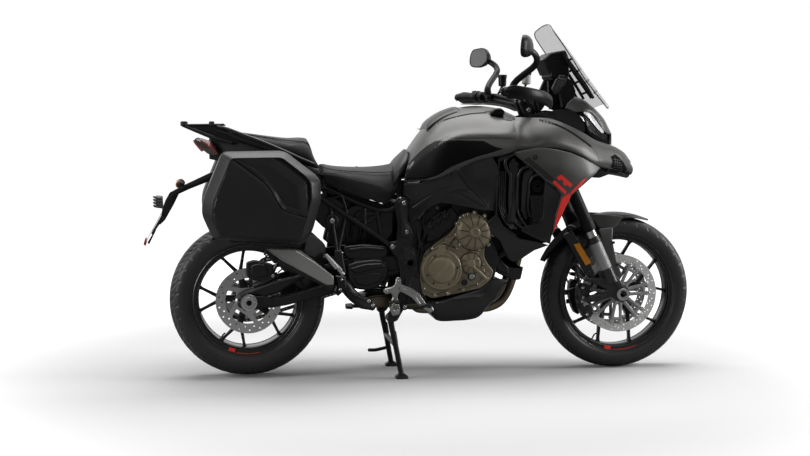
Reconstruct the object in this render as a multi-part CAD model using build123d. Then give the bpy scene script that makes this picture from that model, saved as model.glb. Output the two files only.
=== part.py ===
"""Adventure touring motorcycle standing on its centre stand, with hard panniers.

Millimetres. X points forward, Y to the rider's left, Z up. While a piece is modelled, x is measured
from the rear axle and z from the floor; write() then moves everything so that the origin lies on the
floor in the middle of the machine. The rear wheel hangs just clear of the floor, because the centre
stand carries that end.
"""

from build123d import *
from math import asin, atan2, cos, degrees, hypot, radians, sin, tan
import os

# ---------------------------------------------------------------- driving dimensions
WHEELBASE = 1567.0
MIDDLE_X = 738.0            # middle of the overall length, ahead of the rear axle
RAKE = 24.5                 # degrees from vertical
TRAIL = 102.5
STAND_LIFT = 8.0            # gap under the rear tyre on the centre stand

FRONT_TYRE_R = 325.3        # 120/70-19
FRONT_TYRE_HALF = 60.0
FRONT_BEAD_R = 241.3
REAR_TYRE_R = 317.9         # 170/60-17
REAR_TYRE_HALF = 85.0
REAR_BEAD_R = 215.9
TYRE_WALL = 11.0
RIM_DEPTH = 15.0

FRONT_DISC_R = 165.0
FRONT_DISC_Y = 68.0
REAR_DISC_R = 132.5
REAR_DISC_Y = -99.0
DISC_T = 5.0
DISC_GAP = 5.0              # from a disc to its caliper

AXLE_R = 15.0
AXLE_BORE_R = 10.0
RUNNING_GAP = 0.05          # radial, where a shaft turns in its hole
PANEL_T = 4.0               # moulded bodywork

FORK_Y = 107.0              # from the middle to a fork leg
FORK_AHEAD = 24.0           # from the steering axis to the fork legs' plane
STANCHION_R = 24.0
SLIDER_R = 22.5

PIVOT = (655.0, 471.0)      # swingarm spindle
PIVOT_R = 14.0
COUNTERSHAFT = (740.0, 480.0)
CHAIN_Y = 99.0
CHAIN_W = 14.0
CHAIN_H = 14.0
REAR_SPROCKET_R = 106.0     # pitch radius
FRONT_SPROCKET_R = 41.0
ARM_Y0, ARM_Y1 = 112.0, 148.0       # swingarm blades

STAND_PIVOT = (575.0, 252.0)
STAND_LEAN = 45.0           # how far the feet stand ahead of the stand's pivot
STAND_TUBE_R = 11.0

PANNIER_Y0 = 205.0          # inner face
PANNIER_SPLIT = 300.0       # where lid meets case
PANNIER_Y1 = 440.0          # outer face
PANNIER_WALL = 4.0

REAR_AXLE_Z = REAR_TYRE_R + STAND_LIFT
FRONT_AXLE = (WHEELBASE, FRONT_TYRE_R)
RAKE_SLOPE = tan(radians(RAKE))
STEER_FOOT_X = WHEELBASE + TRAIL


# ---------------------------------------------------------------- shape helpers
def outline(points, corner=0):
    """A flat polygon, facing up whichever way its points run, with every corner rounded by one radius."""
    points = list(points)
    turn = sum(xa * yb - xb * ya for (xa, ya), (xb, yb) in zip(points, points[1:] + points[:1]))
    sketch = Polygon(*(points if turn > 0 else points[::-1]), align=None)
    return fillet(sketch.vertices(), corner) if corner else sketch


def side_prism(points, y0, y1, corner=0):
    """A side-view outline of (x, z) points, pushed through from y0 to y1."""
    return extrude(Plane.XZ.offset(-y1) * outline(points, corner), y1 - y0)


def plan_prism(points, z0, z1, corner=0):
    """A plan-view outline of (x, y) points, pushed up from z0 to z1."""
    return extrude(Plane.XY.offset(z0) * outline(points, corner), z1 - z0)


def front_prism(points, x0, x1, corner=0):
    """A front-view outline of (y, z) points, pushed forward from x0 to x1."""
    return extrude(Plane.YZ.offset(x0) * outline(points, corner), x1 - x0)


def both_sides(shape):
    """A shape on the left and its mirror image on the right, as one list of solids."""
    return [shape, mirror(shape, about=Plane.XZ)]


def cross_rod(x, z, r, y0, y1):
    """A round bar across the machine."""
    return Pos(x, (y0 + y1) / 2, z) * Rot(90, 0, 0) * Cylinder(r, y1 - y0)


def rod(start, end, r):
    """A straight round bar between two points."""
    a, b = Vector(*start), Vector(*end)
    along = b - a
    plane = Plane(origin=(a + b) / 2, z_dir=along.normalized())
    return plane * Cylinder(r, along.length)


def bent_tube(points, r, bend):
    """A round bar along straight runs joined by bends."""
    path = FilletPolyline(*points, radius=bend)
    return sweep(Plane(origin=path @ 0, z_dir=path % 0) * Circle(r), path=path)


def wall_in_plan(points, thickness, z0, z1):
    """An upright wall of constant thickness. Its outer face runs through (x, y) points."""
    inner = offset_line(points, thickness)
    return plan_prism([*points, *reversed(inner)], z0, z1)


def offset_line(points, distance):
    """The open line moved to its right-hand side by distance, mitred at its corners."""
    normals = []
    for (xa, ya), (xb, yb) in zip(points, points[1:]):
        length = hypot(xb - xa, yb - ya)
        normals.append(((yb - ya) / length, -(xb - xa) / length))
    moved = []
    for i, (x, y) in enumerate(points):
        a = normals[max(i - 1, 0)]
        b = normals[min(i, len(normals) - 1)]
        mx, my = a[0] + b[0], a[1] + b[1]
        scale = 2 * distance / (mx * mx + my * my)
        moved.append((x + mx * scale, y + my * scale))
    return moved


def panel(side, plan, thickness=PANEL_T, corner=0):
    """A left-hand panel: the side outline cut from an upright wall that follows the plan line."""
    zs = [z for _, z in side]
    wall = wall_in_plan(plan, thickness, min(zs) - 1, max(zs) + 1)
    return wall & side_prism(side, 0, 500, corner)


def join(shapes):
    """One solid from shapes that overlap or touch."""
    whole = shapes[0]
    for shape in shapes[1:]:
        whole = whole + shape
    return whole


def steer_x(z):
    """x of the steering axis at height z."""
    return STEER_FOOT_X - z * RAKE_SLOPE


def fork_x(z):
    """x of the fork legs' axis at height z."""
    return steer_x(z) + FORK_AHEAD / cos(radians(RAKE))


def steer_plane(z):
    """A plane across the steering axis, where that axis is at height z. Its normal points up the axis."""
    return Plane(origin=(steer_x(z), 0, z), x_dir=(cos(radians(RAKE)), 0, sin(radians(RAKE))),
                 z_dir=(-sin(radians(RAKE)), 0, cos(radians(RAKE))))


def steer_rod(z0, z1, r):
    """A round bar along the steering axis from height z0 to z1."""
    return rod((steer_x(z0), 0, z0), (steer_x(z1), 0, z1), r)


def polar(x, z, r, angle):
    """The point at radius r and angle (degrees, up from forward) round (x, z)."""
    return (x + r * cos(radians(angle)), z + r * sin(radians(angle)))


PARTS = {}


def largest(shape):
    """The biggest solid of a shape, without the scraps that a cut can leave."""
    return shape.solids().sort_by(SortBy.VOLUME)[-1]


def write(name, shapes, cut_by=()):
    """Keeps one node's solids, each trimmed back to the faces of the nodes named in cut_by."""
    solids = [largest(shape) for shape in (shapes if isinstance(shapes, list) else [shapes])]
    for other in cut_by:
        solids = [largest(solid - PARTS[other]) for solid in solids]
    PARTS[name] = solids


# ---------------------------------------------------------------- wheels
def ring_profile(points):
    """Turns (radius, y) points round the Y axis."""
    return revolve(outline(points), Axis.Y)


def tyre(radius, half, bead, bead_half):
    """A tyre: an open carcass with a rounded crown."""
    def section(r, h, b, bh):
        side = (b + r) / 2
        points = [(b, bh), (side, h), (r - (r - side) * 0.45, h * 0.88), (r, 0)]
        crown = Spline(*points, *[(x, -y) for x, y in reversed(points[:-1])])
        return make_face(crown + Line(crown @ 1, crown @ 0))
    skin = revolve(section(radius, half, bead, bead_half), Axis.Y)
    hollow = revolve(section(radius - TYRE_WALL, half - TYRE_WALL, bead - 1, bead_half - TYRE_WALL), Axis.Y)
    return skin - hollow - rim_hoop(bead, bead_half)


def rim_hoop(bead, bead_half):
    """The rim's outer ring, with a flange each side that holds the tyre."""
    flange, lip = 7.0, 5.0
    barrel = bead - RIM_DEPTH
    return ring_profile([
        (bead + flange, bead_half + lip + 2), (bead + flange, bead_half + 2), (bead, bead_half),
        (bead, -bead_half), (bead + flange, -bead_half - 2), (bead + flange, -bead_half - lip - 2),
        (bead - 9, -bead_half - lip - 2), (barrel, -bead_half + 9), (barrel, bead_half - 9),
        (bead - 9, bead_half + lip + 2),
    ])


def spoke(start, end, start_half, end_half):
    """A straight blade between two points of the wheel's plane, wider where it starts."""
    along = atan2(end[1] - start[1], end[0] - start[0])
    nx, nz = -sin(along), cos(along)
    corners = ((start, start_half), (end, end_half), (end, -end_half), (start, -start_half))
    blade = [(x + nx * half, z + nz * half) for (x, z), half in corners]
    return side_prism(blade, -SPOKE_HALF, SPOKE_HALF)


def rim(bead, bead_half, hub_r, hub_half, twist, spread):
    """A cast rim with five Y-shaped spokes. twist turns them; spread is half the angle of a fork."""
    barrel = bead - RIM_DEPTH
    spokes = []
    for k in range(5):
        middle = twist + 72 * k
        fork_point = polar(0, 0, SPOKE_FORK_R, middle)
        spokes.append(spoke(polar(0, 0, hub_r - 6, middle), polar(0, 0, SPOKE_FORK_R + 8, middle), 13, 11))
        for side in (-1, 1):
            spokes.append(spoke(fork_point, polar(0, 0, barrel + 3, middle + side * spread), 9, 7.5))
    hub = Rot(90, 0, 0) * Cylinder(hub_r, 2 * hub_half)
    wheel = join([rim_hoop(bead, bead_half), hub, *spokes])
    return wheel - Rot(90, 0, 0) * Cylinder(AXLE_R + RUNNING_GAP, 4 * hub_half)


def disc_ring(radius, width, y, thickness):
    """A flat brake ring centred on y."""
    ring = Cylinder(radius, thickness) - Cylinder(radius - width, thickness + 2)
    return Pos(0, y, 0) * Rot(90, 0, 0) * ring


def spider(count, inner, outer, arm, y0, y1, turn=0):
    """Arms that carry a disc or sprocket ring from a round boss."""
    boss = Cylinder(inner + 12, y1 - y0)
    middle = Pos((inner + outer) / 2, 0, 0) * Box(outer - inner, arm, y1 - y0)
    arms = [Rot(0, 0, turn + 360 / count * k) * middle for k in range(count)]
    plate = join([boss, *arms]) - Cylinder(inner, 60)
    return Pos(0, (y0 + y1) / 2, 0) * Rot(90, 0, 0) * plate


SPOKE_FORK_R = 112.0        # where a spoke divides
SPOKE_HALF = 17.0           # half its thickness across the wheel
FRONT_BEAD_HALF = 38.0
FRONT_HUB_HALF = 58.0
FRONT_HUB_R = 34.0
REAR_BEAD_HALF = 66.0
REAR_HUB_HALF = 75.0
REAR_HUB_R = 48.0


def front_wheel():
    place = Pos(FRONT_AXLE[0], 0, FRONT_AXLE[1])
    write("front_tyre", place * tyre(FRONT_TYRE_R, FRONT_TYRE_HALF, FRONT_BEAD_R, FRONT_BEAD_HALF))
    write("front_rim", place * rim(FRONT_BEAD_R, FRONT_BEAD_HALF, FRONT_HUB_R, FRONT_HUB_HALF, 18, 18))
    face = FRONT_DISC_Y - DISC_T / 2
    disc = join([disc_ring(FRONT_DISC_R, 34, FRONT_DISC_Y, DISC_T),
                 spider(9, 24, FRONT_DISC_R - 28, 9, FRONT_HUB_HALF, face + 1.5)])
    write("front_brake_discs", [place * d for d in both_sides(disc)])


def rear_wheel():
    place = Pos(0, 0, REAR_AXLE_Z)
    write("rear_tyre", place * tyre(REAR_TYRE_R, REAR_TYRE_HALF, REAR_BEAD_R, REAR_BEAD_HALF))
    write("rear_rim", place * rim(REAR_BEAD_R, REAR_BEAD_HALF, REAR_HUB_R, REAR_HUB_HALF, 36, 14))
    inner_face = REAR_DISC_Y + DISC_T / 2
    carrier = Pos(0, (inner_face - REAR_HUB_HALF) / 2, 0) * Rot(90, 0, 0) * (
        Cylinder(44, -inner_face - REAR_HUB_HALF) - Cylinder(AXLE_R + 9, 60))
    disc = join([disc_ring(REAR_DISC_R, 38, REAR_DISC_Y, DISC_T),
                 spider(5, AXLE_R + 9, REAR_DISC_R - 30, 22, REAR_DISC_Y - DISC_T / 2, inner_face, turn=20),
                 carrier])
    write("rear_brake_disc", place * disc)
    root_r = REAR_SPROCKET_R - CHAIN_H / 2 - 5
    toothed = Cylinder(root_r, 8) - Cylinder(root_r - 20, 10)
    cush = Cylinder(70, CHAIN_Y - 4 - REAR_HUB_HALF) - Cylinder(AXLE_R + 9, 60)
    sprocket = join([
        Pos(0, CHAIN_Y, 0) * Rot(90, 0, 0) * toothed,
        spider(5, AXLE_R + 9, root_r - 15, 30, CHAIN_Y - 4, CHAIN_Y + 4),
        Pos(0, (CHAIN_Y - 4 + REAR_HUB_HALF) / 2, 0) * Rot(90, 0, 0) * cush,
    ])
    write("rear_sprocket", place * sprocket)


# ---------------------------------------------------------------- front end, which steers
HEAD_LOW_Z, HEAD_HIGH_Z = 885.0, 1030.0
YOKE_T = 28.0
HEAD_GAP = 1.5
STEM_R = 15.0
STEM_GAP = 0.05
HEAD_TUBE_R = 33.0


def leg_axis(z):
    return (fork_x(z), FORK_Y, z)


def yoke_z(low):
    """Height at which a yoke's middle meets the steering axis."""
    half = YOKE_T / 2 / cos(radians(RAKE)) + HEAD_GAP
    return HEAD_LOW_Z - half if low else HEAD_HIGH_Z + half


def yoke(low):
    """One yoke, drawn across the steering axis: a block with a hole for each leg."""
    z = yoke_z(low)
    block = outline([(-30, -34), (-30, 34), (-8, FORK_Y + 34), (FORK_AHEAD + 32, FORK_Y + 34),
                     (FORK_AHEAD + 20, 30), (FORK_AHEAD + 20, -30), (FORK_AHEAD + 32, -FORK_Y - 34),
                     (-8, -FORK_Y - 34)], 9)
    plate = steer_plane(z) * Pos(0, 0, -YOKE_T / 2) * extrude(block, YOKE_T)
    for side in (1, -1):
        plate = plate - steer_plane(z) * Pos(FORK_AHEAD, side * FORK_Y, 0) * Cylinder(STANCHION_R, 3 * YOKE_T)
    return plate


FORK_TOP_Z = 1075.0
FORK_JOINT_Z = 575.0        # where the chromed inner tube enters the outer tube
FOOT_TOP_Z = 395.0


def fork():
    """Legs: dark outer tubes, bright inner tubes, and cast feet that clamp the axle."""
    outer = rod(leg_axis(FORK_JOINT_Z), leg_axis(FORK_TOP_Z), STANCHION_R)
    write("fork_outer_tubes", both_sides(outer))
    inner = rod(leg_axis(FOOT_TOP_Z), leg_axis(FORK_JOINT_Z), SLIDER_R)
    half = 22.0
    ax, az = FRONT_AXLE
    fx = fork_x(FOOT_TOP_Z)
    body = side_prism([(fx - 30, FOOT_TOP_Z - 14), (fx + 26, FOOT_TOP_Z + 12), (ax + 26, az + 14),
                       (ax + 26, az - 16), (ax + 8, az - 28), (ax - 22, az - 26), (ax - 150, az - 22),
                       (ax - 158, az + 4), (ax - 60, az + 24)], FORK_Y - half, FORK_Y + 14, 5)
    body = body - cross_rod(ax, az, AXLE_R + 0.2, 0, 200)
    write("fork_lower_legs", both_sides(join([inner, body])))


def front_axle():
    """Hollow spindle with its spacers and end caps."""
    ax, az = FRONT_AXLE
    inner = FORK_Y - 22
    shaft = cross_rod(ax, az, AXLE_R, -FORK_Y - 14, FORK_Y + 14)
    spacer = cross_rod(ax, az, 21, FRONT_HUB_HALF + 0.5, inner)
    cap = cross_rod(ax, az, 23, FORK_Y + 14, FORK_Y + 20)
    bar = join([shaft, *both_sides(spacer), *both_sides(cap)])
    write("front_axle", bar - cross_rod(ax, az, AXLE_BORE_R, -300, 300))


def front_calipers():
    """A radial caliper behind each leg, open round its disc, on the foot's rear arm."""
    ax, az = FRONT_AXLE
    block = side_prism([(ax - 182, az - 40), (ax - 182, az + 62), (ax - 128, az + 74), (ax - 108, az + 30),
                        (ax - 108, az - 34), (ax - 128, az - 48)], FRONT_DISC_Y - 26, FRONT_DISC_Y + 30, 7)
    slot = cross_rod(ax, az, FRONT_DISC_R + DISC_GAP, FRONT_DISC_Y - DISC_T / 2 - DISC_GAP,
                     FRONT_DISC_Y + DISC_T / 2 + DISC_GAP)
    well = cross_rod(ax, az, FRONT_DISC_R - 20, 0, FRONT_DISC_Y + DISC_T / 2 + DISC_GAP)
    write("front_calipers", both_sides(block - slot - well), cut_by=["fork_lower_legs"])


GUARD_GAP = 11.0


def front_mudguard():
    """A hoop over the tyre with side cheeks that reach the fork legs."""
    ax, az = FRONT_AXLE
    r0 = FRONT_TYRE_R + GUARD_GAP
    half = 72.0
    hoop = cross_rod(ax, az, r0 + PANEL_T, -half, half) - cross_rod(ax, az, r0, -half - 1, half + 1)
    wedge = side_prism([(ax, az), polar(ax, az, 520, 61.5), polar(ax, az, 520, 110),
                        polar(ax, az, 520, 158)], -half - 1, half + 1)
    side = cross_rod(ax, az, r0 + PANEL_T, half - PANEL_T, half) - cross_rod(ax, az, r0 - 42, 0, half + 1)
    cheek = side & side_prism([(ax, az), polar(ax, az, 520, 88), polar(ax, az, 520, 128)], 0, half + 1)
    fx = fork_x(606)
    arm = side_prism([(fx + 16, 588), (fx + 16, 606), (fx + 108, 606), (fork_x(420) + 84, 416),
                      (fork_x(420) + 40, 412)], FORK_Y - 15, FORK_Y - 9, 5)
    link = side_prism([(fx + 24, 588), (fx + 24, 606), (fx + 84, 606), (fx + 84, 588)], half - PANEL_T,
                      FORK_Y - 9)
    leg = rod(leg_axis(340), leg_axis(700), STANCHION_R)
    write("front_mudguard", join([hoop & wedge, *both_sides(cheek), *both_sides(join([arm, link]) - leg)]))


BAR_CLAMP = (steer_x(1135.0) + 5.75, 1135.0)
BAR_R = 14.0
GRIP_R = 17.0
BAR_END = (-180.0, 452.0, 30.0)     # left end, measured from the middle of the clamp


def from_clamp(*points):
    """Points (x, y, z) or (x, z) measured from the middle of the bar's clamp, placed on the machine."""
    return [(p[0] + BAR_CLAMP[0], *p[1:-1], p[-1] + BAR_CLAMP[1]) for p in points]


def bar_points():
    """The bar's middle line from the edge of its clamp to the left end."""
    return from_clamp((0, 60, 0), (-2, 120, 8), (-62, 236, 30), (-123, 322, 30), BAR_END)


def handlebar():
    """Yokes, stem and bar clamps, the bar, its grips and everything carried on it."""
    stem = steer_rod(HEAD_LOW_Z - 20, HEAD_HIGH_Z + 20, STEM_R)
    cx, cz = BAR_CLAMP
    path = bar_points()
    left = bent_tube(path, 11.0, 30)
    middle = cross_rod(cx, cz, BAR_R, -62, 62)
    bar = join([middle, left, mirror(left, about=Plane.XZ)])
    rise = (cz - yoke_z(False)) / cos(radians(RAKE)) + 20
    base = steer_plane(yoke_z(False)) * Pos(6 * cos(radians(RAKE)), 0, rise / 2)
    clamps = [base * Pos(0, side * 42, 0) * Box(36, 28, rise) - cross_rod(cx, cz, BAR_R, -90, 90)
              for side in (1, -1)]
    write("fork_yokes", join([yoke(True), yoke(False), stem, *clamps]))
    grip_in, grip_out = Vector(*path[3]), Vector(*path[4])
    way = (grip_out - grip_in).normalized()
    start = grip_in + way * 30
    sleeve = rod(start, grip_out, GRIP_R)
    weight = rod(grip_out - way * 2, grip_out + way * 22, 15)
    write("handlebar", join([bar, *both_sides(join([sleeve, weight]))]))
    pod = rod(grip_in - way * 8, start - way, 25)
    perch = from_clamp((-76, 11), (-76, 31), (-94, 37), (-102, 31), (-102, 15))
    lever = join([side_prism(perch, 262, 300, 3), rod(*from_clamp((-92, 290, 23), (-100, 430, 15)), 6.0)])
    hand = {}
    for side, x, z in ((1, -46, 115), (-1, -26, 127)):
        (pot_at,) = from_clamp((x, 215, z))
        pot = Pos(*pot_at) * Cylinder(21, 46)
        stalk = rod(*from_clamp((-88, 276, 25), (x, 222, z - 22)), 6)
        piece = join([pod, lever, pot, stalk])
        hand[side] = piece if side > 0 else mirror(piece, about=Plane.XZ)
    write("hand_controls", list(hand.values()), cut_by=["handlebar"])


def mirrors():
    """A bent stem each side on the lever's perch, with an angular head turned outwards."""
    stem = bent_tube(from_clamp((-106, 296, 43), (-102, 304, 77), (-30, 362, 153), (-36, 384, 187),
                                (-60, 398, 199)), 8.0, 14)
    head = front_prism([(-78, -38), (-70, 32), (-44, 46), (48, 44), (74, 22), (66, -28), (34, -46),
                        (-52, -48)], -14, 14, 12)
    (middle,) = from_clamp((-76, 420, 211))
    head = Pos(*middle) * Rot(0, 0, 22) * head
    write("mirrors", both_sides(join([stem, head])), cut_by=["hand_controls"])


def hand_guards():
    """A shell that wraps the front of each grip, from the bar end to an arm near the clamp."""
    tip_x, tip_y, tip_z = BAR_END
    cx = BAR_CLAMP[0]
    plan = [(cx + x, y) for x, y in
            ((tip_x - 4, 486), (-98, 478), (-18, 440), (32, 372), (46, 300), (38, 262))]
    side = from_clamp((tip_x - 4, 15), (-128, 5), (-8, -13), (57, -7), (57, 25), (-28, 47), (-128, 57),
                      (tip_x - 4, 47))
    shell = panel(side, plan, 5.0)
    bridge = rod(*from_clamp((tip_x + 4, tip_y + 23.5, tip_z), (tip_x + 4, 484, tip_z)), 9)
    inner_arm = rod(*from_clamp((38, 264, 15), (-60, 246, 29)), 7)
    write("hand_guards", both_sides(join([shell, bridge, inner_arm])),
          cut_by=["handlebar", "hand_controls"])


# ---------------------------------------------------------------- chassis
SPAR_Y0, SPAR_Y1 = 44.0, 62.0
STAY_HALF = 20.0
PLATE_Y0, PLATE_Y1 = 152.0, 164.0


def main_frame():
    """A front monocoque: steering head, box neck and a spar each side down to the cylinder heads."""
    head = steer_rod(HEAD_LOW_Z, HEAD_HIGH_Z, HEAD_TUBE_R)
    back = 20.0
    neck = side_prism([(steer_x(900) - back, 900), (steer_x(1010) - back, 1010), (1110, 950),
                       (1060, 880), (1080, 820), (1130, 800)], -SPAR_Y1, SPAR_Y1)
    hollow = side_prism([(1180, 890), (1150, 945), (1110, 930), (1070, 870), (1090, 830), (1130, 815)],
                        -SPAR_Y0, SPAR_Y0)
    spar = side_prism([(1100, 930), (1060, 900), (880, 812), (880, 900), (846, 884), (840, 790),
                       (790, 775), (778, 736), (812, 730), (880, 742), (1000, 760), (1046, 706),
                       (1100, 698), (1130, 800)], SPAR_Y0, SPAR_Y1)
    nose_stay = side_prism([(1236, 930), (1228, 975), (1300, 1000), (1372, 1082), (1412, 1104),
                            (1412, 1062), (1330, 975), (1290, 935)], -STAY_HALF, STAY_HALF)
    outriggers = [cross_rod(900, 800, 8, -228, 228), cross_rod(1080, 880, 8, -238, 238)]
    frame = join([head, neck - hollow, *both_sides(spar), nose_stay, *outriggers])
    stem = steer_rod(800, 1100, STEM_R + STEM_GAP)
    write("main_frame", frame - stem, cut_by=["engine", "fuel_tank", "headlight", "nose_fairing",
                                              "knee_panels", "radiator_shrouds"])


def pivot_plates(stand_bracket):
    """Cast plates each side behind the engine, joined by the swingarm spindle and a tie above it."""
    px, pz = PIVOT
    sx, sz = STAND_PIVOT
    plate = side_prism([(590, 735), (642, 742), (664, 712), (650, 640), (664, 600), (662, 570), (706, 500),
                        (704, 430), (716, 322), (640, 312), (sx + 20, sz - 16), (sx - 2, sz - 24),
                        (sx - 20, sz - 6), (sx - 12, sz + 20), (606, 326), (616, 420), (598, 500),
                        (574, 528), (572, 552), (596, 566), (600, 640)], PLATE_Y0, PLATE_Y1, 6)
    spindle = cross_rod(px, pz, PIVOT_R, -PLATE_Y0, PLATE_Y0)
    cap = cross_rod(px, pz, 21, PLATE_Y1, PLATE_Y1 + 5)
    tie = cross_rod(625, 715, 10, -PLATE_Y0, PLATE_Y0)
    stand_pin = cross_rod(sx, sz, 8, PLATE_Y0 - 30, PLATE_Y0)
    write("pivot_plates", join([spindle, tie, *both_sides(join([plate, cap, stand_pin])), stand_bracket]))


def subframe():
    """Rear trellis: two rails a side with braces, and cross tubes."""
    y = 128.0
    r = 10.0
    upper = bent_tube([(632, y + 10, 700), (540, y, 684), (350, y, 756), (60, y - 26, 850),
                       (-60, y - 46, 890)], r, 40)
    lower = rod((586, y + 8, 548), (196, y - 12, 804), r)
    brace_a = rod((398, y, 670), (352, y, 755), 7)
    brace_b = rod((398, y, 670), (470, y, 711), 7)
    case_mounts = [rod((x, y0, z), (x, PANNIER_Y0, z), 9)
                   for x, y0, z in ((236, 112, 778), (200, 112, 806), (0, 90, 870))]
    side = join([upper, lower, brace_a, brace_b, *case_mounts])
    lug_low = side_prism([(566, 528), (606, 528), (606, 566), (566, 566)], y - 4, PLATE_Y0 - 0.5, 8)
    lug_top = side_prism([(612, 682), (648, 682), (648, 712), (612, 712)], y - 4, PLATE_Y0 - 0.5, 8)
    tie = cross_rod(625, 715, 10.5, -PLATE_Y0, PLATE_Y0)
    cross = [cross_rod(x, z, 9, -half, half)
             for x, z, half in ((350, 756, y), (60, 850, y - 26), (-56, 889, y - 46))]
    post = Pos(60, 0, 896) * Box(30, 60, 106)
    seat_rest = Pos(450, y, 742) * Box(36, 14, 56)
    rails = both_sides(join([side, lug_low, lug_top, seat_rest]) - tie)
    write("subframe", join([*rails, *cross, post]), cut_by=["tail_unit", "rider_seat"])


ENGINE_HALF = 148.0


def engine():
    """Crankcase with a bank of cylinders leaning forward and one leaning back."""
    case = side_prism([(704, 345), (960, 345), (1012, 400), (1030, 520), (990, 600), (905, 640), (780, 610),
                       (722, 545), (722, 420)], -ENGINE_HALF, ENGINE_HALF, 14)
    sump = side_prism([(730, 302), (930, 302), (955, 345), (712, 345)], -90, 90)
    spindle = cross_rod(*PIVOT, 40, -200, 200)
    front = side_prism([(960, 560), (1010, 500), (1150, 585), (1160, 640), (1120, 705), (1060, 712),
                        (940, 640)], -128, 128, 8)
    rear = side_prism([(740, 540), (800, 580), (880, 620), (868, 700), (800, 742), (745, 730),
                       (690, 640), (700, 585)], -136, 136, 8)
    chain_bay = side_prism([(660, 412), (790, 412), (790, 552), (660, 552)], CHAIN_Y - CHAIN_W / 2 - 12,
                           200)
    write("engine", join([case, sump, front, rear]) - spindle - chain_bay)


CLUTCH = (776.0, 460.0)
CAM_DRIVE = (912.0, 604.0)
PUMP = (898.0, 469.0)


def engine_covers():
    """Bronze covers bolted to the crankcase: clutch side on the right, alternator side on the left."""
    y0 = ENGINE_HALF
    right = join([
        side_prism([(712, 352), (945, 352), (1000, 410), (985, 500), (972, 600), (960, 650), (915, 682),
                    (868, 650), (790, 596), (736, 540), (716, 470)], y0, y0 + 26, 16),
        cross_rod(*CLUTCH, 87, y0 + 26, y0 + 62),
        cross_rod(*CLUTCH, 52, y0 + 62, y0 + 72),
        cross_rod(*CAM_DRIVE, 62, y0 + 26, y0 + 44),
        cross_rod(*PUMP, 40, y0 + 26, y0 + 46),
    ])
    left = join([
        side_prism([(804, 352), (945, 352), (1000, 410), (985, 500), (930, 590), (850, 590), (804, 545)],
                   y0, y0 + 22, 16),
        cross_rod(868, 462, 62, y0 + 22, y0 + 52),
        cross_rod(868, 462, 46, y0 + 52, y0 + 60),
    ])
    sprocket = side_prism([(724, 402), (802, 402), (802, 562), (744, 562)], y0, y0 + 34, 10)
    write("engine_covers", [mirror(right, about=Plane.XZ), left, sprocket])


def drive():
    """Chain loop and front sprocket. The loop stays still; the sprocket inside it has no joint."""
    (ax, az), (bx, bz) = (0.0, REAR_AXLE_Z), COUNTERSHAFT
    reach = hypot(bx - ax, bz - az)
    lean = degrees(atan2(bz - az, bx - ax))
    spread = degrees(asin((REAR_SPROCKET_R - FRONT_SPROCKET_R) / reach))

    def loop(grow):
        ra, rb = REAR_SPROCKET_R + grow, FRONT_SPROCKET_R + grow
        top_a, top_b = polar(ax, az, ra, lean + 90 - spread), polar(bx, bz, rb, lean + 90 - spread)
        low_a, low_b = polar(ax, az, ra, lean - 90 + spread), polar(bx, bz, rb, lean - 90 + spread)
        back, front = polar(ax, az, ra, lean + 180), polar(bx, bz, rb, lean)
        edge = [Line(top_a, top_b), ThreePointArc(top_b, front, low_b), Line(low_b, low_a),
                ThreePointArc(low_a, back, top_a)]
        return make_face(Curve() + edge)
    half = CHAIN_W / 2
    plane = Plane.XZ.offset(-(CHAIN_Y + half))
    band = extrude(plane * loop(CHAIN_H / 2), CHAIN_W) - extrude(plane * loop(-CHAIN_H / 2), CHAIN_W)
    pinion = cross_rod(bx, bz, FRONT_SPROCKET_R - CHAIN_H / 2 + 1, CHAIN_Y - 4, CHAIN_Y + 4)
    shaft = cross_rod(bx, bz, 12, CHAIN_Y - CHAIN_W / 2 - 12, CHAIN_Y + 6)
    write("drive_chain", join([band, pinion, shaft]))


def swingarm():
    """Two blades joined ahead of the tyre and by the pivot tube; the right one is open like a truss."""
    px, pz = PIVOT
    blade = [(-40, 302), (-46, 340), (-20, 368), (190, 430), (420, 500), (560, 512), (640, 508), (688, 490),
             (690, 452), (640, 432), (560, 408), (330, 338), (60, 296), (-14, 290)]
    window = [(120, 352), (190, 398), (300, 432), (404, 452), (400, 428), (300, 386), (160, 346)]
    left = side_prism(blade, ARM_Y0, ARM_Y1, 8)
    right = mirror(left, about=Plane.XZ) - side_prism(window, -ARM_Y1 - 1, -ARM_Y0 + 1, 6)
    bridge = side_prism([(400, 392), (420, 448), (505, 450), (505, 398)], -ARM_Y0 - 1, ARM_Y0 + 1, 6)
    tube = cross_rod(px, pz, 27, -ARM_Y1, ARM_Y1)
    arm = join([left, right, bridge, tube])
    arm = arm - cross_rod(px, pz, PIVOT_R + 0.3, -300, 300)
    arm = arm - cross_rod(0, REAR_AXLE_Z, AXLE_R + 0.2, -300, 300)
    write("swingarm", arm)


def rear_axle():
    """Hollow axle with a nut each end and the spacers that centre the wheel."""
    z = REAR_AXLE_Z
    shaft = cross_rod(0, z, AXLE_R, -ARM_Y1 - 16, ARM_Y1 + 16)
    spacers = [cross_rod(0, z, 21, REAR_HUB_HALF + 1, ARM_Y0),
               cross_rod(0, z, 21, -ARM_Y0, -REAR_HUB_HALF - 1)]
    flanges = [cross_rod(0, z, 33, ARM_Y1, ARM_Y1 + 5), cross_rod(0, z, 33, -ARM_Y1 - 5, -ARM_Y1)]
    nuts = [cross_rod(0, z, 24, ARM_Y1 + 5, ARM_Y1 + 16), cross_rod(0, z, 24, -ARM_Y1 - 16, -ARM_Y1 - 5)]
    bar = join([shaft, *spacers, *flanges, *nuts])
    write("rear_axle", bar - cross_rod(0, z, AXLE_BORE_R, -300, 300))


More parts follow.
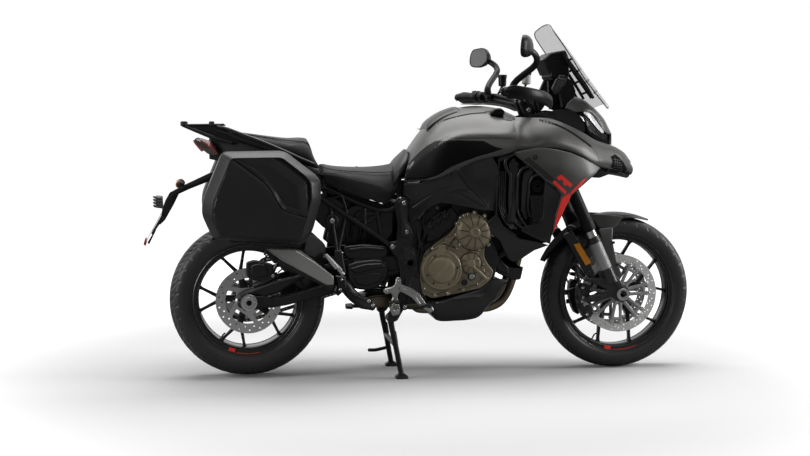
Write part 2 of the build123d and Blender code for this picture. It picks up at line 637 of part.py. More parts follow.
def rear_caliper():
    """Caliper above the disc on a bracket that hangs from the swingarm."""
    z = REAR_AXLE_Z
    block = side_prism([(8, z + 84), (8, z + 146), (84, z + 146), (100, z + 112), (84, z + 84)],
                       REAR_DISC_Y - 24, REAR_DISC_Y + 20, 7)
    slot = cross_rod(0, z, REAR_DISC_R + DISC_GAP, REAR_DISC_Y - DISC_T / 2 - DISC_GAP,
                     REAR_DISC_Y + DISC_T / 2 + DISC_GAP)
    hanger = side_prism([(10, 368), (10, 425), (80, 425), (80, 384)], -ARM_Y0 - 11, -ARM_Y0)
    write("rear_caliper", join([block - slot, hanger]), cut_by=["swingarm"])


def shock():
    """Rear suspension unit between the swingarm and the pivot plates."""
    low, high = (470.0, 462.0), (560.0, 690.0)
    body = rod((low[0] + 12, 0, low[1] + 30), (high[0] - 12, 0, high[1] - 30), 30)
    eye_low = rod((low[0] - 4, 0, low[1] - 11.6), (low[0] + 13, 0, low[1] + 32), 12)
    eye_top = rod((high[0] - 13, 0, high[1] - 32), (620, 0, 712), 12)
    write("rear_shock", join([body, eye_low, eye_top]), cut_by=["swingarm", "pivot_plates"])


def hugger():
    """Mudguard close to the rear tyre, with cheeks and a chain guard on the left blade."""
    z = REAR_AXLE_Z
    r0, half = REAR_TYRE_R + 13, 96.0
    wedge = [(0, z), polar(0, z, 600, 18), polar(0, z, 600, 50), polar(0, z, 600, 82)]
    hoop = cross_rod(0, z, r0 + PANEL_T, -half, half - 7) - cross_rod(0, z, r0, -half - 1, half + 1)
    hoop = hoop & side_prism(wedge, -half - 1, half + 1)
    side = cross_rod(0, z, r0 + PANEL_T, half - PANEL_T, half) - cross_rod(0, z, r0 - 60, 0, half + 1)
    cheek = side & side_prism([(0, z), polar(0, z, 600, 22), polar(0, z, 600, 56)], 0, half + 1)
    right = mirror(cheek, about=Plane.XZ)
    stay = side_prism([(205, 424), (292, 424), (300, 470), (205, 500)], -ARM_Y1 + 20, -half + PANEL_T)
    y0, y1 = REAR_TYRE_HALF + 6, ARM_Y1 - 18
    cover = side_prism([(20, 452), (20, 460), (330, 520), (420, 530), (420, 520)], y0, y1)
    leg = side_prism([(330, 466), (380, 470), (380, 520), (330, 514)], ARM_Y0 + 4, y1)
    write("rear_mudguard", [join([hoop, right, stay]), join([cover, leg])], cut_by=["swingarm"])


def side_shields():
    """Black moulded shields over the swingarm's root, one a side in two steps."""
    upper = side_prism([(378, 548), (556, 548), (560, 500), (400, 495)], ARM_Y1, ARM_Y1 + 8, 6)
    lower = side_prism([(392, 470), (540, 492), (560, 470), (556, 400), (520, 372), (430, 372), (396, 420)],
                       ARM_Y1, ARM_Y1 + 12, 8)
    link = side_prism([(420, 460), (540, 480), (540, 505), (420, 500)], ARM_Y1, ARM_Y1 + 6)
    write("side_shields", both_sides(join([upper, lower, link])), cut_by=["subframe"])


# ---------------------------------------------------------------- tank, seats and tail
def fuel_tank():
    """Solid in the space between seat and steering head, wide at the knees' front."""
    side = side_prism([(648, 936), (742, 1056), (815, 1103), (925, 1120), (1010, 1112), (1094, 1066),
                       (1086, 1000), (1055, 940), (911, 908), (803, 858), (707, 814), (634, 812),
                       (622, 840)], -300, 300, 8)
    plan = plan_prism([(620, -86), (700, -112), (800, -176), (900, -226), (1000, -244), (1100, -236),
                       (1100, 236), (1000, 244), (900, 226), (800, 176), (700, 112), (620, 86)], 700, 1200)
    front = front_prism([(-250, 700), (-250, 960), (-214, 1040), (-130, 1096), (-50, 1121), (50, 1121),
                         (130, 1096), (214, 1040), (250, 960), (250, 700)], 600, 1200)
    rear_round = plan_prism([(600, -60), (700, -100), (1110, -300), (1110, 300), (700, 100), (600, 60)],
                            700, 1300)
    head = steer_rod(800, 1200, HEAD_TUBE_R + 60)
    tank = (side & plan & front & rear_round) - head
    pad = side_prism([(728, 1040), (742, 1070), (815, 1114), (925, 1129), (1000, 1123), (1052, 1102),
                      (1052, 1060), (925, 1080), (815, 1060), (742, 1020)], -52, 52)
    write("fuel_tank", join([tank, pad]))


def rider_seat():
    """Broad stepped cushion that narrows to the tank."""
    side = side_prism([(292, 872), (330, 866), (399, 860), (500, 858), (577, 868), (640, 930),
                       (656, 926), (630, 840), (622, 800), (596, 754), (546, 716), (450, 752),
                       (372, 782), (318, 818)], -260, 260, 6)
    plan = plan_prism([(280, -168), (420, -172), (520, -140), (600, -92), (670, -62), (670, 62), (600, 92),
                       (520, 140), (420, 172), (280, 168)], 600, 1000, 10)
    crown = front_prism([(-172, 690), (-172, 800), (-150, 850), (-110, 869), (-96, 940), (96, 940),
                         (110, 869), (150, 850), (172, 800), (172, 690)], 200, 700)
    write("rider_seat", side & plan & crown, cut_by=["fuel_tank", "tail_unit"])


def passenger_seat():
    """Raised cushion ahead of the rack."""
    side = side_prism([(-60, 1003), (62, 994), (175, 986), (232, 990), (250, 978), (286, 872), (200, 900),
                       (100, 936), (-24, 972)], -260, 260, 5)
    plan = plan_prism([(-70, -96), (100, -138), (240, -150), (300, -140), (300, 140), (240, 150),
                       (100, 138), (-70, 96)], 800, 1100, 10)
    write("passenger_seat", side & plan, cut_by=["tail_unit"])


def tail_unit():
    """Hollow tail cowl between the seats and the lamp, open below."""
    outer = [(-118, 988), (-30, 980), (100, 940), (200, 904), (284, 868), (288, 836), (240, 820), (60, 880),
             (-60, 912), (-100, 920)]
    side = side_prism(outer, -260, 260, 4)
    plan = plan_prism([(-130, -70), (0, -112), (150, -142), (300, -150), (300, 150), (150, 142), (0, 112),
                       (-130, 70)], 700, 1100)
    inner = plan_prism([(-100, -60), (0, -104), (150, -134), (290, -142), (290, 142), (150, 134), (0, 104),
                        (-100, 60)], 700, 1100)
    under = side_prism([(-90, 976), (-30, 970), (100, 930), (200, 894), (280, 860), (300, 700),
                        (-100, 700)], -260, 260)
    write("tail_unit", (side & plan) - (inner & under))


RACK_Z = 1040.0
RACK_X0, RACK_X1 = -262.0, -92.0
RACK_T = 8.0
RACK_HOLE_R = 3.3
RACK_PITCH_X, RACK_PITCH_Y = 110.0, 130.0


def rear_rack():
    """Flat luggage plate with grab rails running forward beside the passenger seat."""
    plate = plan_prism([(RACK_X0, -62), (RACK_X0 + 8, -98), (RACK_X1, -112), (RACK_X1, 112),
                        (RACK_X0 + 8, 98), (RACK_X0, 62)], RACK_Z - RACK_T, RACK_Z, 6)
    middle = (RACK_X0 + RACK_X1) / 2
    window = plan_prism([(middle - 34, -38), (middle + 34, -46), (middle + 34, 46), (middle - 34, 38)],
                        RACK_Z - 20, RACK_Z + 5, 8)
    holes = [Pos(middle + sx * RACK_PITCH_X / 2, sy * RACK_PITCH_Y / 2, RACK_Z) * Cylinder(RACK_HOLE_R, 60)
             for sx in (-1, 1) for sy in (-1, 1)]
    hook = join([Pos(RACK_X0 + 12, 90, RACK_Z + 4) * Cylinder(9, 10),
                 Pos(RACK_X1 - 26, 100, RACK_Z + 3) * Cylinder(8, 8)])
    rail = side_prism([(RACK_X1 - 40, RACK_Z - RACK_T), (RACK_X1, RACK_Z), (-20, 1006), (60, 980),
                       (200, 930), (262, 896), (262, 878), (200, 908), (60, 958), (-20, 984),
                       (RACK_X1 - 20, 1000)], 0, 400)
    run = plan_prism([(RACK_X1 - 40, 96), (-20, 112), (100, 152), (300, 164), (300, 152), (100, 140),
                      (-20, 98), (RACK_X1 - 40, 82)], 800, 1100)
    web = side_prism([(RACK_X0 + 14, RACK_Z - RACK_T), (RACK_X1, RACK_Z - RACK_T), (-40, 972),
                      (-104, 972)], 56, 62)
    plate = plate - window
    for hole in holes:
        plate = plate - hole
    rack = join([plate, *both_sides(join([hook, (rail & run)])), *both_sides(web)])
    write("rear_rack", rack, cut_by=["tail_unit", "passenger_seat"])


def tail_light():
    """Lamp across the end of the tail, under the rack."""
    lens = side_prism([(-206, 984), (-110, 984), (-92, 917), (-150, 930), (-212, 972)], -74, 74, 5)
    cowl = side_prism([(-118, 988), (-100, 920), (0, 900), (0, 988)], -100, 100)
    write("tail_light", lens - cowl, cut_by=["rear_rack"])


def plate_holder():
    """Arm behind the wheel with a blank number plate, its lamp, indicators and a reflector."""
    arm = side_prism([(-100, 858), (-92, 812), (-180, 800), (-296, 748), (-352, 650), (-372, 652),
                      (-318, 772), (-190, 830)], -26, 26, 4)
    hanger = side_prism([(-112, 812), (-92, 812), (-20, 870), (0, 884), (-30, 904), (-112, 852)], -26, 26)
    shelf = side_prism([(-318, 774), (-310, 780), (-394, 604), (-404, 604)], -90, 90)
    foot = side_prism([(-392, 616), (-406, 612), (-414, 560), (-402, 558)], -42, 42)
    link = side_prism([(-362, 682), (-350, 690), (-394, 600), (-408, 600)], -8, 8)
    lamp = side_prism([(-330, 742), (-346, 712), (-372, 724), (-358, 752)], -30, 30)
    stalk = rod((-262, 20, 786), (-262, 96, 800), 7)
    blinker = Pos(-262, 122, 802) * Box(44, 64, 22)
    holder = join([arm, hanger, shelf, foot, link, lamp, *both_sides(join([stalk, blinker]))])
    write("plate_holder", holder, cut_by=["subframe", "tail_unit"])


# ---------------------------------------------------------------- bodywork at the front
def fairing_panels():
    """Side bodywork, left and right: shoulder, wing, duct, knee panel, chin and deflector."""
    shoulder_side = [(1060, 914), (1100, 927), (1200, 933), (1300, 905), (1418, 852), (1430, 868),
                     (1420, 894), (1330, 958), (1230, 1040), (1200, 1062), (1104, 1058), (1092, 1000)]
    shoulder_plan = [(1056, 246), (1150, 252), (1260, 238), (1360, 206), (1440, 168)]
    wing_side = [(1064, 930), (1100, 946), (1200, 951), (1300, 922), (1428, 862), (1340, 780), (1302, 738),
                 (1236, 604), (1228, 608), (1262, 720), (1250, 780), (1180, 840)]
    wing_plan = [(1056, 254), (1150, 260), (1260, 250), (1360, 216), (1440, 176)]
    duct_side = [(1012, 880), (1060, 915), (1110, 915), (1200, 850), (1270, 790), (1276, 716),
                 (1236, 612), (1196, 590), (1080, 616), (1020, 672), (1004, 760)]
    duct_plan = [(1000, 236), (1080, 240), (1180, 226), (1260, 204)]
    knee_side = [(630, 804), (707, 806), (803, 850), (911, 900), (1004, 916), (996, 760), (976, 700),
                 (950, 706), (862, 724), (790, 748), (752, 722), (700, 640), (672, 640),
                 (668, 720), (640, 748)]
    knee_plan = [(620, 176), (720, 186), (820, 214), (920, 232), (1010, 238)]
    chin_side = [(980, 716), (1012, 690), (1076, 642), (1196, 612), (1230, 620), (1218, 552), (1160, 540),
                 (1136, 520), (1112, 482), (1064, 512), (1000, 580), (978, 640)]
    chin_plan = [(970, 226), (1080, 222), (1160, 196), (1240, 150)]
    duct = join([panel(duct_side, duct_plan), rod((1070, 212, 800), (1070, 238, 800), 8)])
    chin = join([panel(chin_side, chin_plan), rod((1080, 220, 628), (1080, 238, 628), 6)])
    chins = [lower - upper for lower, upper in zip(both_sides(chin), both_sides(duct))]
    write("radiator_shrouds", [*both_sides(duct), *chins], cut_by=["radiators"])
    shoulder = join([panel(shoulder_side, shoulder_plan), rod((1380, 160, 900), (1380, 198, 900), 7),
                     rod((1075, 222, 1000), (1075, 246, 1000), 7)])
    wing = join([panel(wing_side, wing_plan), rod((1230, 204, 812), (1230, 252, 812), 7),
                 rod((1150, 246, 938), (1150, 258, 938), 6), rod((1300, 220, 912), (1300, 236, 912), 6)])
    write("side_fairings", both_sides(shoulder), cut_by=["nose_fairing", "fuel_tank"])
    write("wing_panels", both_sides(wing), cut_by=["radiator_shrouds", "side_fairings"])
    write("knee_panels", both_sides(panel(knee_side, knee_plan)))


def radiators():
    """One radiator behind each duct, and the oil cooler between them ahead of the engine."""
    core = side_prism([(1050, 640), (1060, 850), (1088, 850), (1078, 640)], 128, 216)
    cooler = side_prism([(1176, 560), (1186, 640), (1206, 640), (1196, 560)], -100, 100)
    strut = side_prism([(1140, 600), (1140, 620), (1190, 620), (1190, 600)], -15, 15)
    write("radiators", [*both_sides(core), join([cooler, strut])], cut_by=["engine"])


def nose_fairing():
    """Beak and headlight cowl, hollow where the fork turns."""
    side = [(1216, 1062), (1330, 960), (1432, 870), (1500, 848), (1560, 842), (1640, 838), (1640, 862),
            (1604, 924), (1552, 958), (1500, 962), (1448, 1010), (1400, 1056), (1330, 1062),
            (1296, 1100), (1240, 1098)]
    body = side_prism(side, -300, 300)
    plan_out = [(1200, -196), (1330, -186), (1440, -160), (1560, -100), (1640, -34), (1648, 0), (1640, 34),
                (1560, 100), (1440, 160), (1330, 186), (1200, 196)]
    plan_in = [(1190, -192), (1330, -181), (1438, -155), (1555, -94), (1622, -32), (1630, 0),
               (1622, 32), (1555, 94), (1438, 155), (1330, 181), (1190, 192)]
    tube_space = side_prism([(1180, 1200), (1210, 1062), (1330, 950), (1440, 868), (1500, 843), (1600, 830),
                             (1626, 862), (1592, 918), (1540, 950), (1492, 955), (1440, 1004), (1396, 1049),
                             (1326, 1056), (1290, 1200)], -300, 300)
    shell = (body & plan_prism(plan_out, 700, 1300)) - (tube_space & plan_prism(plan_in, 700, 1300))
    write("nose_fairing", shell)


def headlight():
    """Lens that fills the gap between the cowl and the screen."""
    lens = side_prism([(1398, 1052), (1444, 1006), (1496, 958), (1552, 954), (1534, 1012), (1450, 1092),
                       (1410, 1106)], -300, 300, 4)
    plan = plan_prism([(1396, -120), (1470, -100), (1560, -34), (1560, 34), (1470, 100), (1396, 120)],
                      900, 1200)
    write("headlight", lens & plan, cut_by=["nose_fairing"])


def cockpit():
    """Screen stay, dashboard and the tall screen."""
    stay = side_prism([(1340, 1104), (1420, 1094), (1400, 1160), (1348, 1250), (1326, 1330), (1306, 1330),
                       (1318, 1240), (1342, 1150)], 70, 82, 5)
    ties = [cross_rod(1330, 1250, 8, -72, 72), cross_rod(1372, 1120, 9, -72, 72)]
    dash = side_prism([(1236, 1316), (1262, 1342), (1294, 1318), (1300, 1264), (1282, 1256)], -96, 96, 6)
    lug = side_prism([(1280, 1270), (1280, 1286), (1336, 1262), (1330, 1246)], -60, 60)
    write("dashboard", join([*both_sides(stay), *ties, dash, lug]), cut_by=["windscreen", "headlight"])


SCREEN_LOW, SCREEN_TOP = (1488.0, 1106.0), (1236.0, 1456.0)
SCREEN_T = 4.0
SCREEN_BEND_R = 330.0


def windscreen():
    """Part of a cylinder whose axis leans back with the screen, cut to a shield outline."""
    (lx, lz), (tx, tz) = SCREEN_LOW, SCREEN_TOP
    length = hypot(tx - lx, tz - lz)
    plane = Plane(origin=(lx, 0, lz), x_dir=(0, 1, 0), z_dir=((tx - lx) / length, 0, (tz - lz) / length))
    back = (SCREEN_BEND_R, SCREEN_BEND_R - SCREEN_T)
    tube = Cylinder(back[0], length + 60) - Cylinder(back[1], length + 80)
    ahead = -SCREEN_BEND_R if plane.y_dir.X > 0 else SCREEN_BEND_R
    tube = plane * Pos(0, ahead, length / 2) * tube
    shape = outline([(-112, 0), (-172, 60), (-178, 190), (-150, 360), (-124, 424), (-96, length),
                     (96, length), (124, 424), (150, 360), (178, 190), (172, 60), (112, 0)], 14)
    face = Plane(origin=(lx, 0, lz), x_dir=(0, 1, 0), z_dir=(plane.z_dir.Z, 0, -plane.z_dir.X))
    reach = extrude(face * shape, 400, both=True)
    front_half = face.offset(-150) * Box(900, 1600, 400, align=(Align.CENTER, Align.CENTER, Align.MIN))
    write("windscreen", tube & reach & front_half)


def belly_pan():
    """Tray under the engine with raised cheeks."""
    side = [(726, 278), (734, 312), (820, 322), (960, 340), (1032, 350), (1030, 322), (934, 240),
            (776, 234)]
    outer = side_prism(side, -186, 186, 5)
    front = front_prism([(-186, 400), (-186, 300), (-150, 234), (150, 234), (186, 300), (186, 400)],
                        700, 1100)
    room = side_prism([(700, 290), (700, 400), (1100, 400), (1040, 330), (930, 250), (778, 244)],
                      -300, 300)
    room = room & front_prism([(-181, 400), (-181, 302), (-147, 240), (147, 240), (181, 302), (181, 400)],
                              690, 1110)
    mouths = [Pos(1000, 0, 300) * Box(170, 220, 240), Pos(745, 0, 300) * Box(90, 220, 240)]
    tabs = [Pos(860, side * 150, 332) * Box(40, 70, 30) for side in (1, -1)]
    write("belly_pan", join([(outer & front) - room - mouths, *tabs]), cut_by=["engine"])


# ---------------------------------------------------------------- exhaust
def exhaust():
    """Header pipes, collector box, link pipe and a slab-sided silencer on the right."""
    pipes = []
    for y in (-52, 52):
        pipes.append(bent_tube([(1120, y, 590), (1158, y, 490), (1128, y, 350), (1050, y, 276),
                                (960, y, 271), (722, y, 271), (660, y, 310)], 19, 26))
    box = side_prism([(440, 292), (440, 330), (520, 346), (690, 336), (718, 300), (700, 284),
                      (520, 284)], -86, 86, 8)
    write("exhaust_headers", join([*pipes, box]), cut_by=["engine"])
    link = bent_tube([(470, -86, 316), (470, -130, 322), (440, -178, 334), (392, -186, 380),
                      (352, -188, 400)], 21, 22)
    can = side_prism([(66, 532), (78, 550), (203, 541), (300, 470), (338, 432), (352, 392), (338, 376),
                      (300, 384), (202, 438), (103, 490)], -228, -ARM_Y1 - 6, 8)
    write("silencer", join([link, can]), cut_by=["exhaust_headers", "swingarm"])


# ---------------------------------------------------------------- footrests and stands
def footrests():
    """Pegs and foot levers for the rider, folding pegs on hangers for the passenger."""
    bracket = side_prism([(548, 352), (560, 372), (594, 384), (600, 422), (612, 422), (614, 384),
                          (660, 372), (690, 345), (702, 322), (676, 322), (650, 346), (600, 352), (592, 304),
                          (566, 304), (570, 340)], PLATE_Y1 + 5.2, PLATE_Y1 + 16, 3)
    peg = rod((580, PLATE_Y1 + 14, 318), (568, PLATE_Y1 + 98, 320), 13)
    boss = cross_rod(582, 312, 9, PLATE_Y1, PLATE_Y1 + 8)
    boss_front = cross_rod(668, 350, 8, PLATE_Y1, PLATE_Y1 + 8)
    lever = bent_tube([(626, PLATE_Y1 + 22, 300), (668, PLATE_Y1 + 26, 296), (716, PLATE_Y1 + 40, 308)],
                      6, 20)
    pad = rod((716, PLATE_Y1 + 34, 308), (720, PLATE_Y1 + 76, 310), 9)
    hub = cross_rod(626, 300, 10, PLATE_Y1, PLATE_Y1 + 26)
    write("rider_footrests", [*both_sides(join([bracket, peg, boss, boss_front])),
                              *both_sides(join([lever, pad, hub]))])
    hanger = join([rod((392, 140, 668), (356, 168, 520), 8), rod((330, 140, 708), (356, 168, 520), 8),
                   Pos(356, 172, 520) * Box(30, 22, 34)])
    peg2 = rod((360, 196, 512), (312, 206, 588), 11)
    hinge = rod((358, 182, 516), (360, 198, 512), 9)
    write("passenger_footrests", both_sides(join([hanger, peg2, hinge])), cut_by=["subframe"])


def centre_stand():
    """Two legs on one pivot line with wide feet, a cross tube and a tread for the boot."""
    sx, sz = STAND_PIVOT
    fx = sx + STAND_LEAN
    y = 134.0
    leg = bent_tube([(sx, y, sz), (sx + 16, y + 2, sz - 90), (fx, 150, 14)], STAND_TUBE_R, 60)
    eye = cross_rod(sx, sz, 17, y - 14, y + 14)
    foot = plan_prism([(fx - 26, 128), (fx + 26, 128), (fx + 26, 172), (fx - 26, 172)], 0, 14, 6)
    cross = cross_rod(sx + 20, sz - 112, 10, -y - 2, y + 2)
    tread = bent_tube([(sx + 30, y + 8, sz - 170), (sx - 20, y + 44, sz - 186),
                       (sx - 44, y + 70, sz - 190)], 7, 14)
    hole = cross_rod(sx, sz, 8 + RUNNING_GAP, -400, 400)
    stand = join([*both_sides(join([leg, eye, foot])), cross, tread]) - hole
    write("centre_stand", stand)


SIDE_STAND_PIVOT = (668.0, 176.0, 262.0)
SIDE_STAND_SPLAY = 28.0     # degrees by which its pin is tipped up at the outside
SIDE_STAND_LEG = 230.0


def side_stand():
    """Folded leg under the left footrest. Returns the bracket, which belongs to the frame."""
    tip = radians(SIDE_STAND_SPLAY)
    at = Plane(origin=SIDE_STAND_PIVOT, x_dir=(-1, 0, 0), z_dir=(0, cos(tip), sin(tip)))
    pin_r = 6.0
    leg = at * rod((0, 0, 0), (SIDE_STAND_LEG, 0, 0), 8)
    eye = at * Cylinder(15, 18)
    foot = at * Pos(SIDE_STAND_LEG - 2, -2, 0) * Box(30, 14, 34)
    write("side_stand", join([leg, eye, foot]) - at * Cylinder(pin_r + RUNNING_GAP, 100))
    ears = [at * Pos(-4, 0, side * 13.5) * Box(44, 30, 7) for side in (1, -1)]
    web = at * Pos(-30, 0, 0) * Box(16, 30, 34)
    pin = at * Cylinder(pin_r, 34)
    lug = side_prism([(688, 256), (688, 332), (710, 332), (710, 256)], PLATE_Y0, PLATE_Y1 + 4.5)
    return join([*ears, web, pin, lug])


# ---------------------------------------------------------------- panniers
PANNIER_SIDE = [(-105, 934), (133, 937), (251, 845), (270, 822), (273, 749), (238, 626), (204, 576),
                (-142, 600), (-184, 696), (-180, 752)]
PANNIER_CORNER = 16.0
LID_TAPER = 18.0            # degrees
SEAL_GAP = 0.4
HINGE_DROP = 9.0            # pin below the bottom edge
HINGE_BORE = 3.0
KNUCKLE_R = 6.5


def panniers():
    """Hollow cases left and right. Each lid swings outwards on a pin along its lower edge."""
    wall = PANNIER_WALL
    face = outline(PANNIER_SIDE, PANNIER_CORNER)
    room = offset(face, amount=-wall)
    out = (0, 1, 0)
    case = extrude(Plane.XZ.offset(-PANNIER_Y0) * face, PANNIER_SPLIT - PANNIER_Y0, dir=out)
    case = case - extrude(Plane.XZ.offset(-PANNIER_Y0 - wall) * room, PANNIER_SPLIT - PANNIER_Y0, dir=out)
    start = PANNIER_SPLIT + SEAL_GAP
    drop = (PANNIER_Y1 - start) * tan(radians(LID_TAPER))
    crown = loft([Plane.XZ.offset(-start) * face,
                  Plane.XZ.offset(-PANNIER_Y1) * offset(face, amount=-drop)])
    hollow = loft([Plane.XZ.offset(-start + 1) * room,
                   Plane.XZ.offset(-PANNIER_Y1 + wall) * offset(face, amount=-drop - wall)])
    (xf, zf), (xr, zr) = PANNIER_SIDE[6], PANNIER_SIDE[7]
    along = Vector(xr - xf, 0, zr - zf).normalized()
    pin_y = PANNIER_SPLIT + SEAL_GAP / 2
    foot = Vector(xf, pin_y, zf - HINGE_DROP)

    def barrel(start_at, end_at, r):
        return rod(tuple(foot + along * start_at), tuple(foot + along * end_at), r)

    def tab(start_at, end_at, side):
        """A web from a knuckle up to the shell on the case side (-1) or the lid side (1)."""
        a, b = foot + along * start_at, foot + along * end_at
        y0, y1 = (pin_y - 14, pin_y - SEAL_GAP / 2) if side < 0 else (pin_y + SEAL_GAP / 2, pin_y + 14)
        return side_prism([(a.X, a.Z), (b.X, b.Z), (b.X, b.Z + HINGE_DROP + 3),
                           (a.X, a.Z + HINGE_DROP + 3)], y0, y1)
    lid = crown - hollow
    pin = barrel(60, 290, HINGE_BORE)
    for start_at in (70, 230):
        own = join([barrel(start_at, start_at + 50, KNUCKLE_R), tab(start_at, start_at + 50, -1)])
        case = case + own
        for side_at in (start_at - 9, start_at + 51):
            ear = join([barrel(side_at, side_at + 8, KNUCKLE_R), tab(side_at, side_at + 8, 1)])
            lid = lid + (ear - barrel(0, 340, HINGE_BORE + RUNNING_GAP))
    sweep_room = [barrel(start_at + off, start_at + off + 10, KNUCKLE_R + 2) for start_at in (70, 230)
                  for off in (-10, 50)]
    case = case - sweep_room + pin
    lid = lid - [barrel(start_at - 0.8, start_at + 50.8, KNUCKLE_R + 2) for start_at in (70, 230)]
    write("pannier_cases", both_sides(case))
    write("pannier_lid_left", lid)
    write("pannier_lid_right", mirror(lid, about=Plane.XZ))


def everything():
    """Pieces that others rest against come first."""
    front_wheel()
    rear_wheel()
    engine()
    engine_covers()
    fuel_tank()
    tail_unit()
    nose_fairing()
    headlight()
    radiators()
    fairing_panels()
    main_frame()
    rider_seat()
    pivot_plates(side_stand())
    subframe()
    swingarm()
    drive()
    rear_axle()
    rear_caliper()
    shock()
    hugger()
    side_shields()
    passenger_seat()
    rear_rack()
    tail_light()
    plate_holder()
    windscreen()
    cockpit()
    belly_pan()
    exhaust()
    footrests()
    centre_stand()
    fork()
    front_axle()
    front_calipers()
    front_mudguard()
    handlebar()
    mirrors()
    hand_guards()
    panniers()


everything()
os.makedirs("parts", exist_ok=True)
for name, solids in PARTS.items():
    export_step(Pos(-MIDDLE_X, 0, 0) * Compound(children=solids), f"parts/{name}.step")
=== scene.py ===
"""Looks of an adventure touring motorcycle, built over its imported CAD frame."""
import math

import bmesh
import bpy
import numpy as np
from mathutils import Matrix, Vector
from mathutils.bvhtree import BVHTree
from mathutils.geometry import delaunay_2d_cdt


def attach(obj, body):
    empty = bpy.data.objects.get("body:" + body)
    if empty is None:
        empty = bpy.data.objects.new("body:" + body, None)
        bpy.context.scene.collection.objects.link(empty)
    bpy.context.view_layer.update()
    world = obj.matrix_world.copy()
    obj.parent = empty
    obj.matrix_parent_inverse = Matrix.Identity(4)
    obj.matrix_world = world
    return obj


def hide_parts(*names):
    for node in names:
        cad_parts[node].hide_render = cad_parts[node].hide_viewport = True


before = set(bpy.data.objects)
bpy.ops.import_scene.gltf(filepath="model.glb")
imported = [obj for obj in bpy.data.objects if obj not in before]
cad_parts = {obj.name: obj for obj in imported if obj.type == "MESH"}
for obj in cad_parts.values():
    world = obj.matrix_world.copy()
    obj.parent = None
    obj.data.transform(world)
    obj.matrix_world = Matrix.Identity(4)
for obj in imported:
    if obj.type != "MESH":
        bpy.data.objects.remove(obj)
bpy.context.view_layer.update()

MIDDLE_X = 738.0  # the frame's origin, ahead of the rear axle in mm
scene = bpy.context.scene


# ---------------------------------------------------------------- materials
def node(tree, kind, **values):
    """A new shader node with its settings and input values."""
    made = tree.nodes.new(kind)
    for key, value in values.items():
        if key in made.inputs:
            made.inputs[key].default_value = value
        else:
            setattr(made, key, value)
    return made


def remap(tree, value, source=(0.0, 1.0), target=(0.0, 1.0), smooth=False):
    """A socket whose value runs over the target range while the given one runs over the source range."""
    made = node(tree, "ShaderNodeMapRange")
    if smooth:
        made.interpolation_type = "SMOOTHSTEP"
    made.inputs["From Min"].default_value, made.inputs["From Max"].default_value = source
    made.inputs["To Min"].default_value, made.inputs["To Max"].default_value = target
    tree.links.new(value, made.inputs["Value"])
    return made.outputs["Result"]


def flaked(tree, place, colour, flakes):
    """The colour with metal flakes that are brighter or darker by the given share."""
    link = tree.links.new
    sparkle = node(tree, "ShaderNodeTexVoronoi", Scale=2600.0)
    link(place.outputs["Object"], sparkle.inputs["Vector"])
    glint = remap(tree, sparkle.outputs["Color"], target=(1 - flakes, 1 + flakes))
    bright = node(tree, "ShaderNodeMix", data_type="RGBA", blend_type="MULTIPLY")
    bright.inputs["Factor"].default_value = 1.0
    link(colour, bright.inputs["A"])
    link(glint, bright.inputs["B"])
    return bright.outputs["Result"]


def worn_edges(tree, clouds, colour, wear, wear_colour):
    """The colour rubbed through in patches along the edges."""
    link = tree.links.new
    edges = node(tree, "ShaderNodeNewGeometry")
    rub = remap(tree, edges.outputs["Pointiness"], source=(0.53, 0.62))
    patch = node(tree, "ShaderNodeMath", operation="MULTIPLY")
    link(rub, patch.inputs[0])
    link(clouds.outputs["Fac"], patch.inputs[1])
    amount = node(tree, "ShaderNodeMath", operation="MULTIPLY")
    amount.inputs[1].default_value = wear * 2
    link(patch.outputs["Value"], amount.inputs[0])
    worn = node(tree, "ShaderNodeMix", data_type="RGBA")
    worn.inputs["B"].default_value = list(wear_colour) + [1]
    link(colour, worn.inputs["A"])
    link(amount.outputs["Value"], worn.inputs["Factor"])
    return worn.outputs["Result"]


def material(name, colour, rough, metal=0.0, mottle=0.12, grain=900.0, bump=0.05, coat=0.0,
             coat_rough=0.1, specular=0.5, rough_range=0.08, wear=0.0, wear_colour=(0.3, 0.3, 0.3),
             stretch=(1, 1, 1), sheen=0.0, flakes=0.0):
    """A mottled, fine-grained, unevenly shiny material, with flakes or worn edges where asked for."""
    made = bpy.data.materials.new(name)
    made.use_nodes = True
    tree = made.node_tree
    link = tree.links.new
    shader = tree.nodes["Principled BSDF"]
    for setting, value in (("Metallic", metal), ("Specular IOR Level", specular), ("Coat Weight", coat),
                           ("Coat Roughness", coat_rough), ("Sheen Weight", sheen)):
        shader.inputs[setting].default_value = value
    place = node(tree, "ShaderNodeTexCoord")
    scaled = node(tree, "ShaderNodeMapping", Scale=stretch)
    link(place.outputs["Object"], scaled.inputs["Vector"])
    clouds = node(tree, "ShaderNodeTexNoise", Scale=7.0, Detail=4.0, Roughness=0.6)
    link(scaled.outputs["Vector"], clouds.inputs["Vector"])
    tint = node(tree, "ShaderNodeMix", data_type="RGBA")
    tint.inputs["A"].default_value = [c * (1 - mottle) for c in colour] + [1]
    tint.inputs["B"].default_value = [c * (1 + mottle) for c in colour] + [1]
    link(clouds.outputs["Fac"], tint.inputs["Factor"])
    shade = tint.outputs["Result"]
    fine = node(tree, "ShaderNodeTexNoise", Scale=grain, Detail=2.0)
    link(scaled.outputs["Vector"], fine.inputs["Vector"])
    if flakes:
        shade = flaked(tree, place, shade, flakes)
    if wear:
        shade = worn_edges(tree, clouds, shade, wear, wear_colour)
    link(shade, shader.inputs["Base Color"])
    shine = remap(tree, clouds.outputs["Fac"], target=(rough - rough_range, rough + rough_range))
    link(shine, shader.inputs["Roughness"])
    relief = node(tree, "ShaderNodeBump", Strength=bump, Distance=0.001)
    link(fine.outputs["Fac"], relief.inputs["Height"])
    link(relief.outputs["Normal"], shader.inputs["Normal"])
    return made


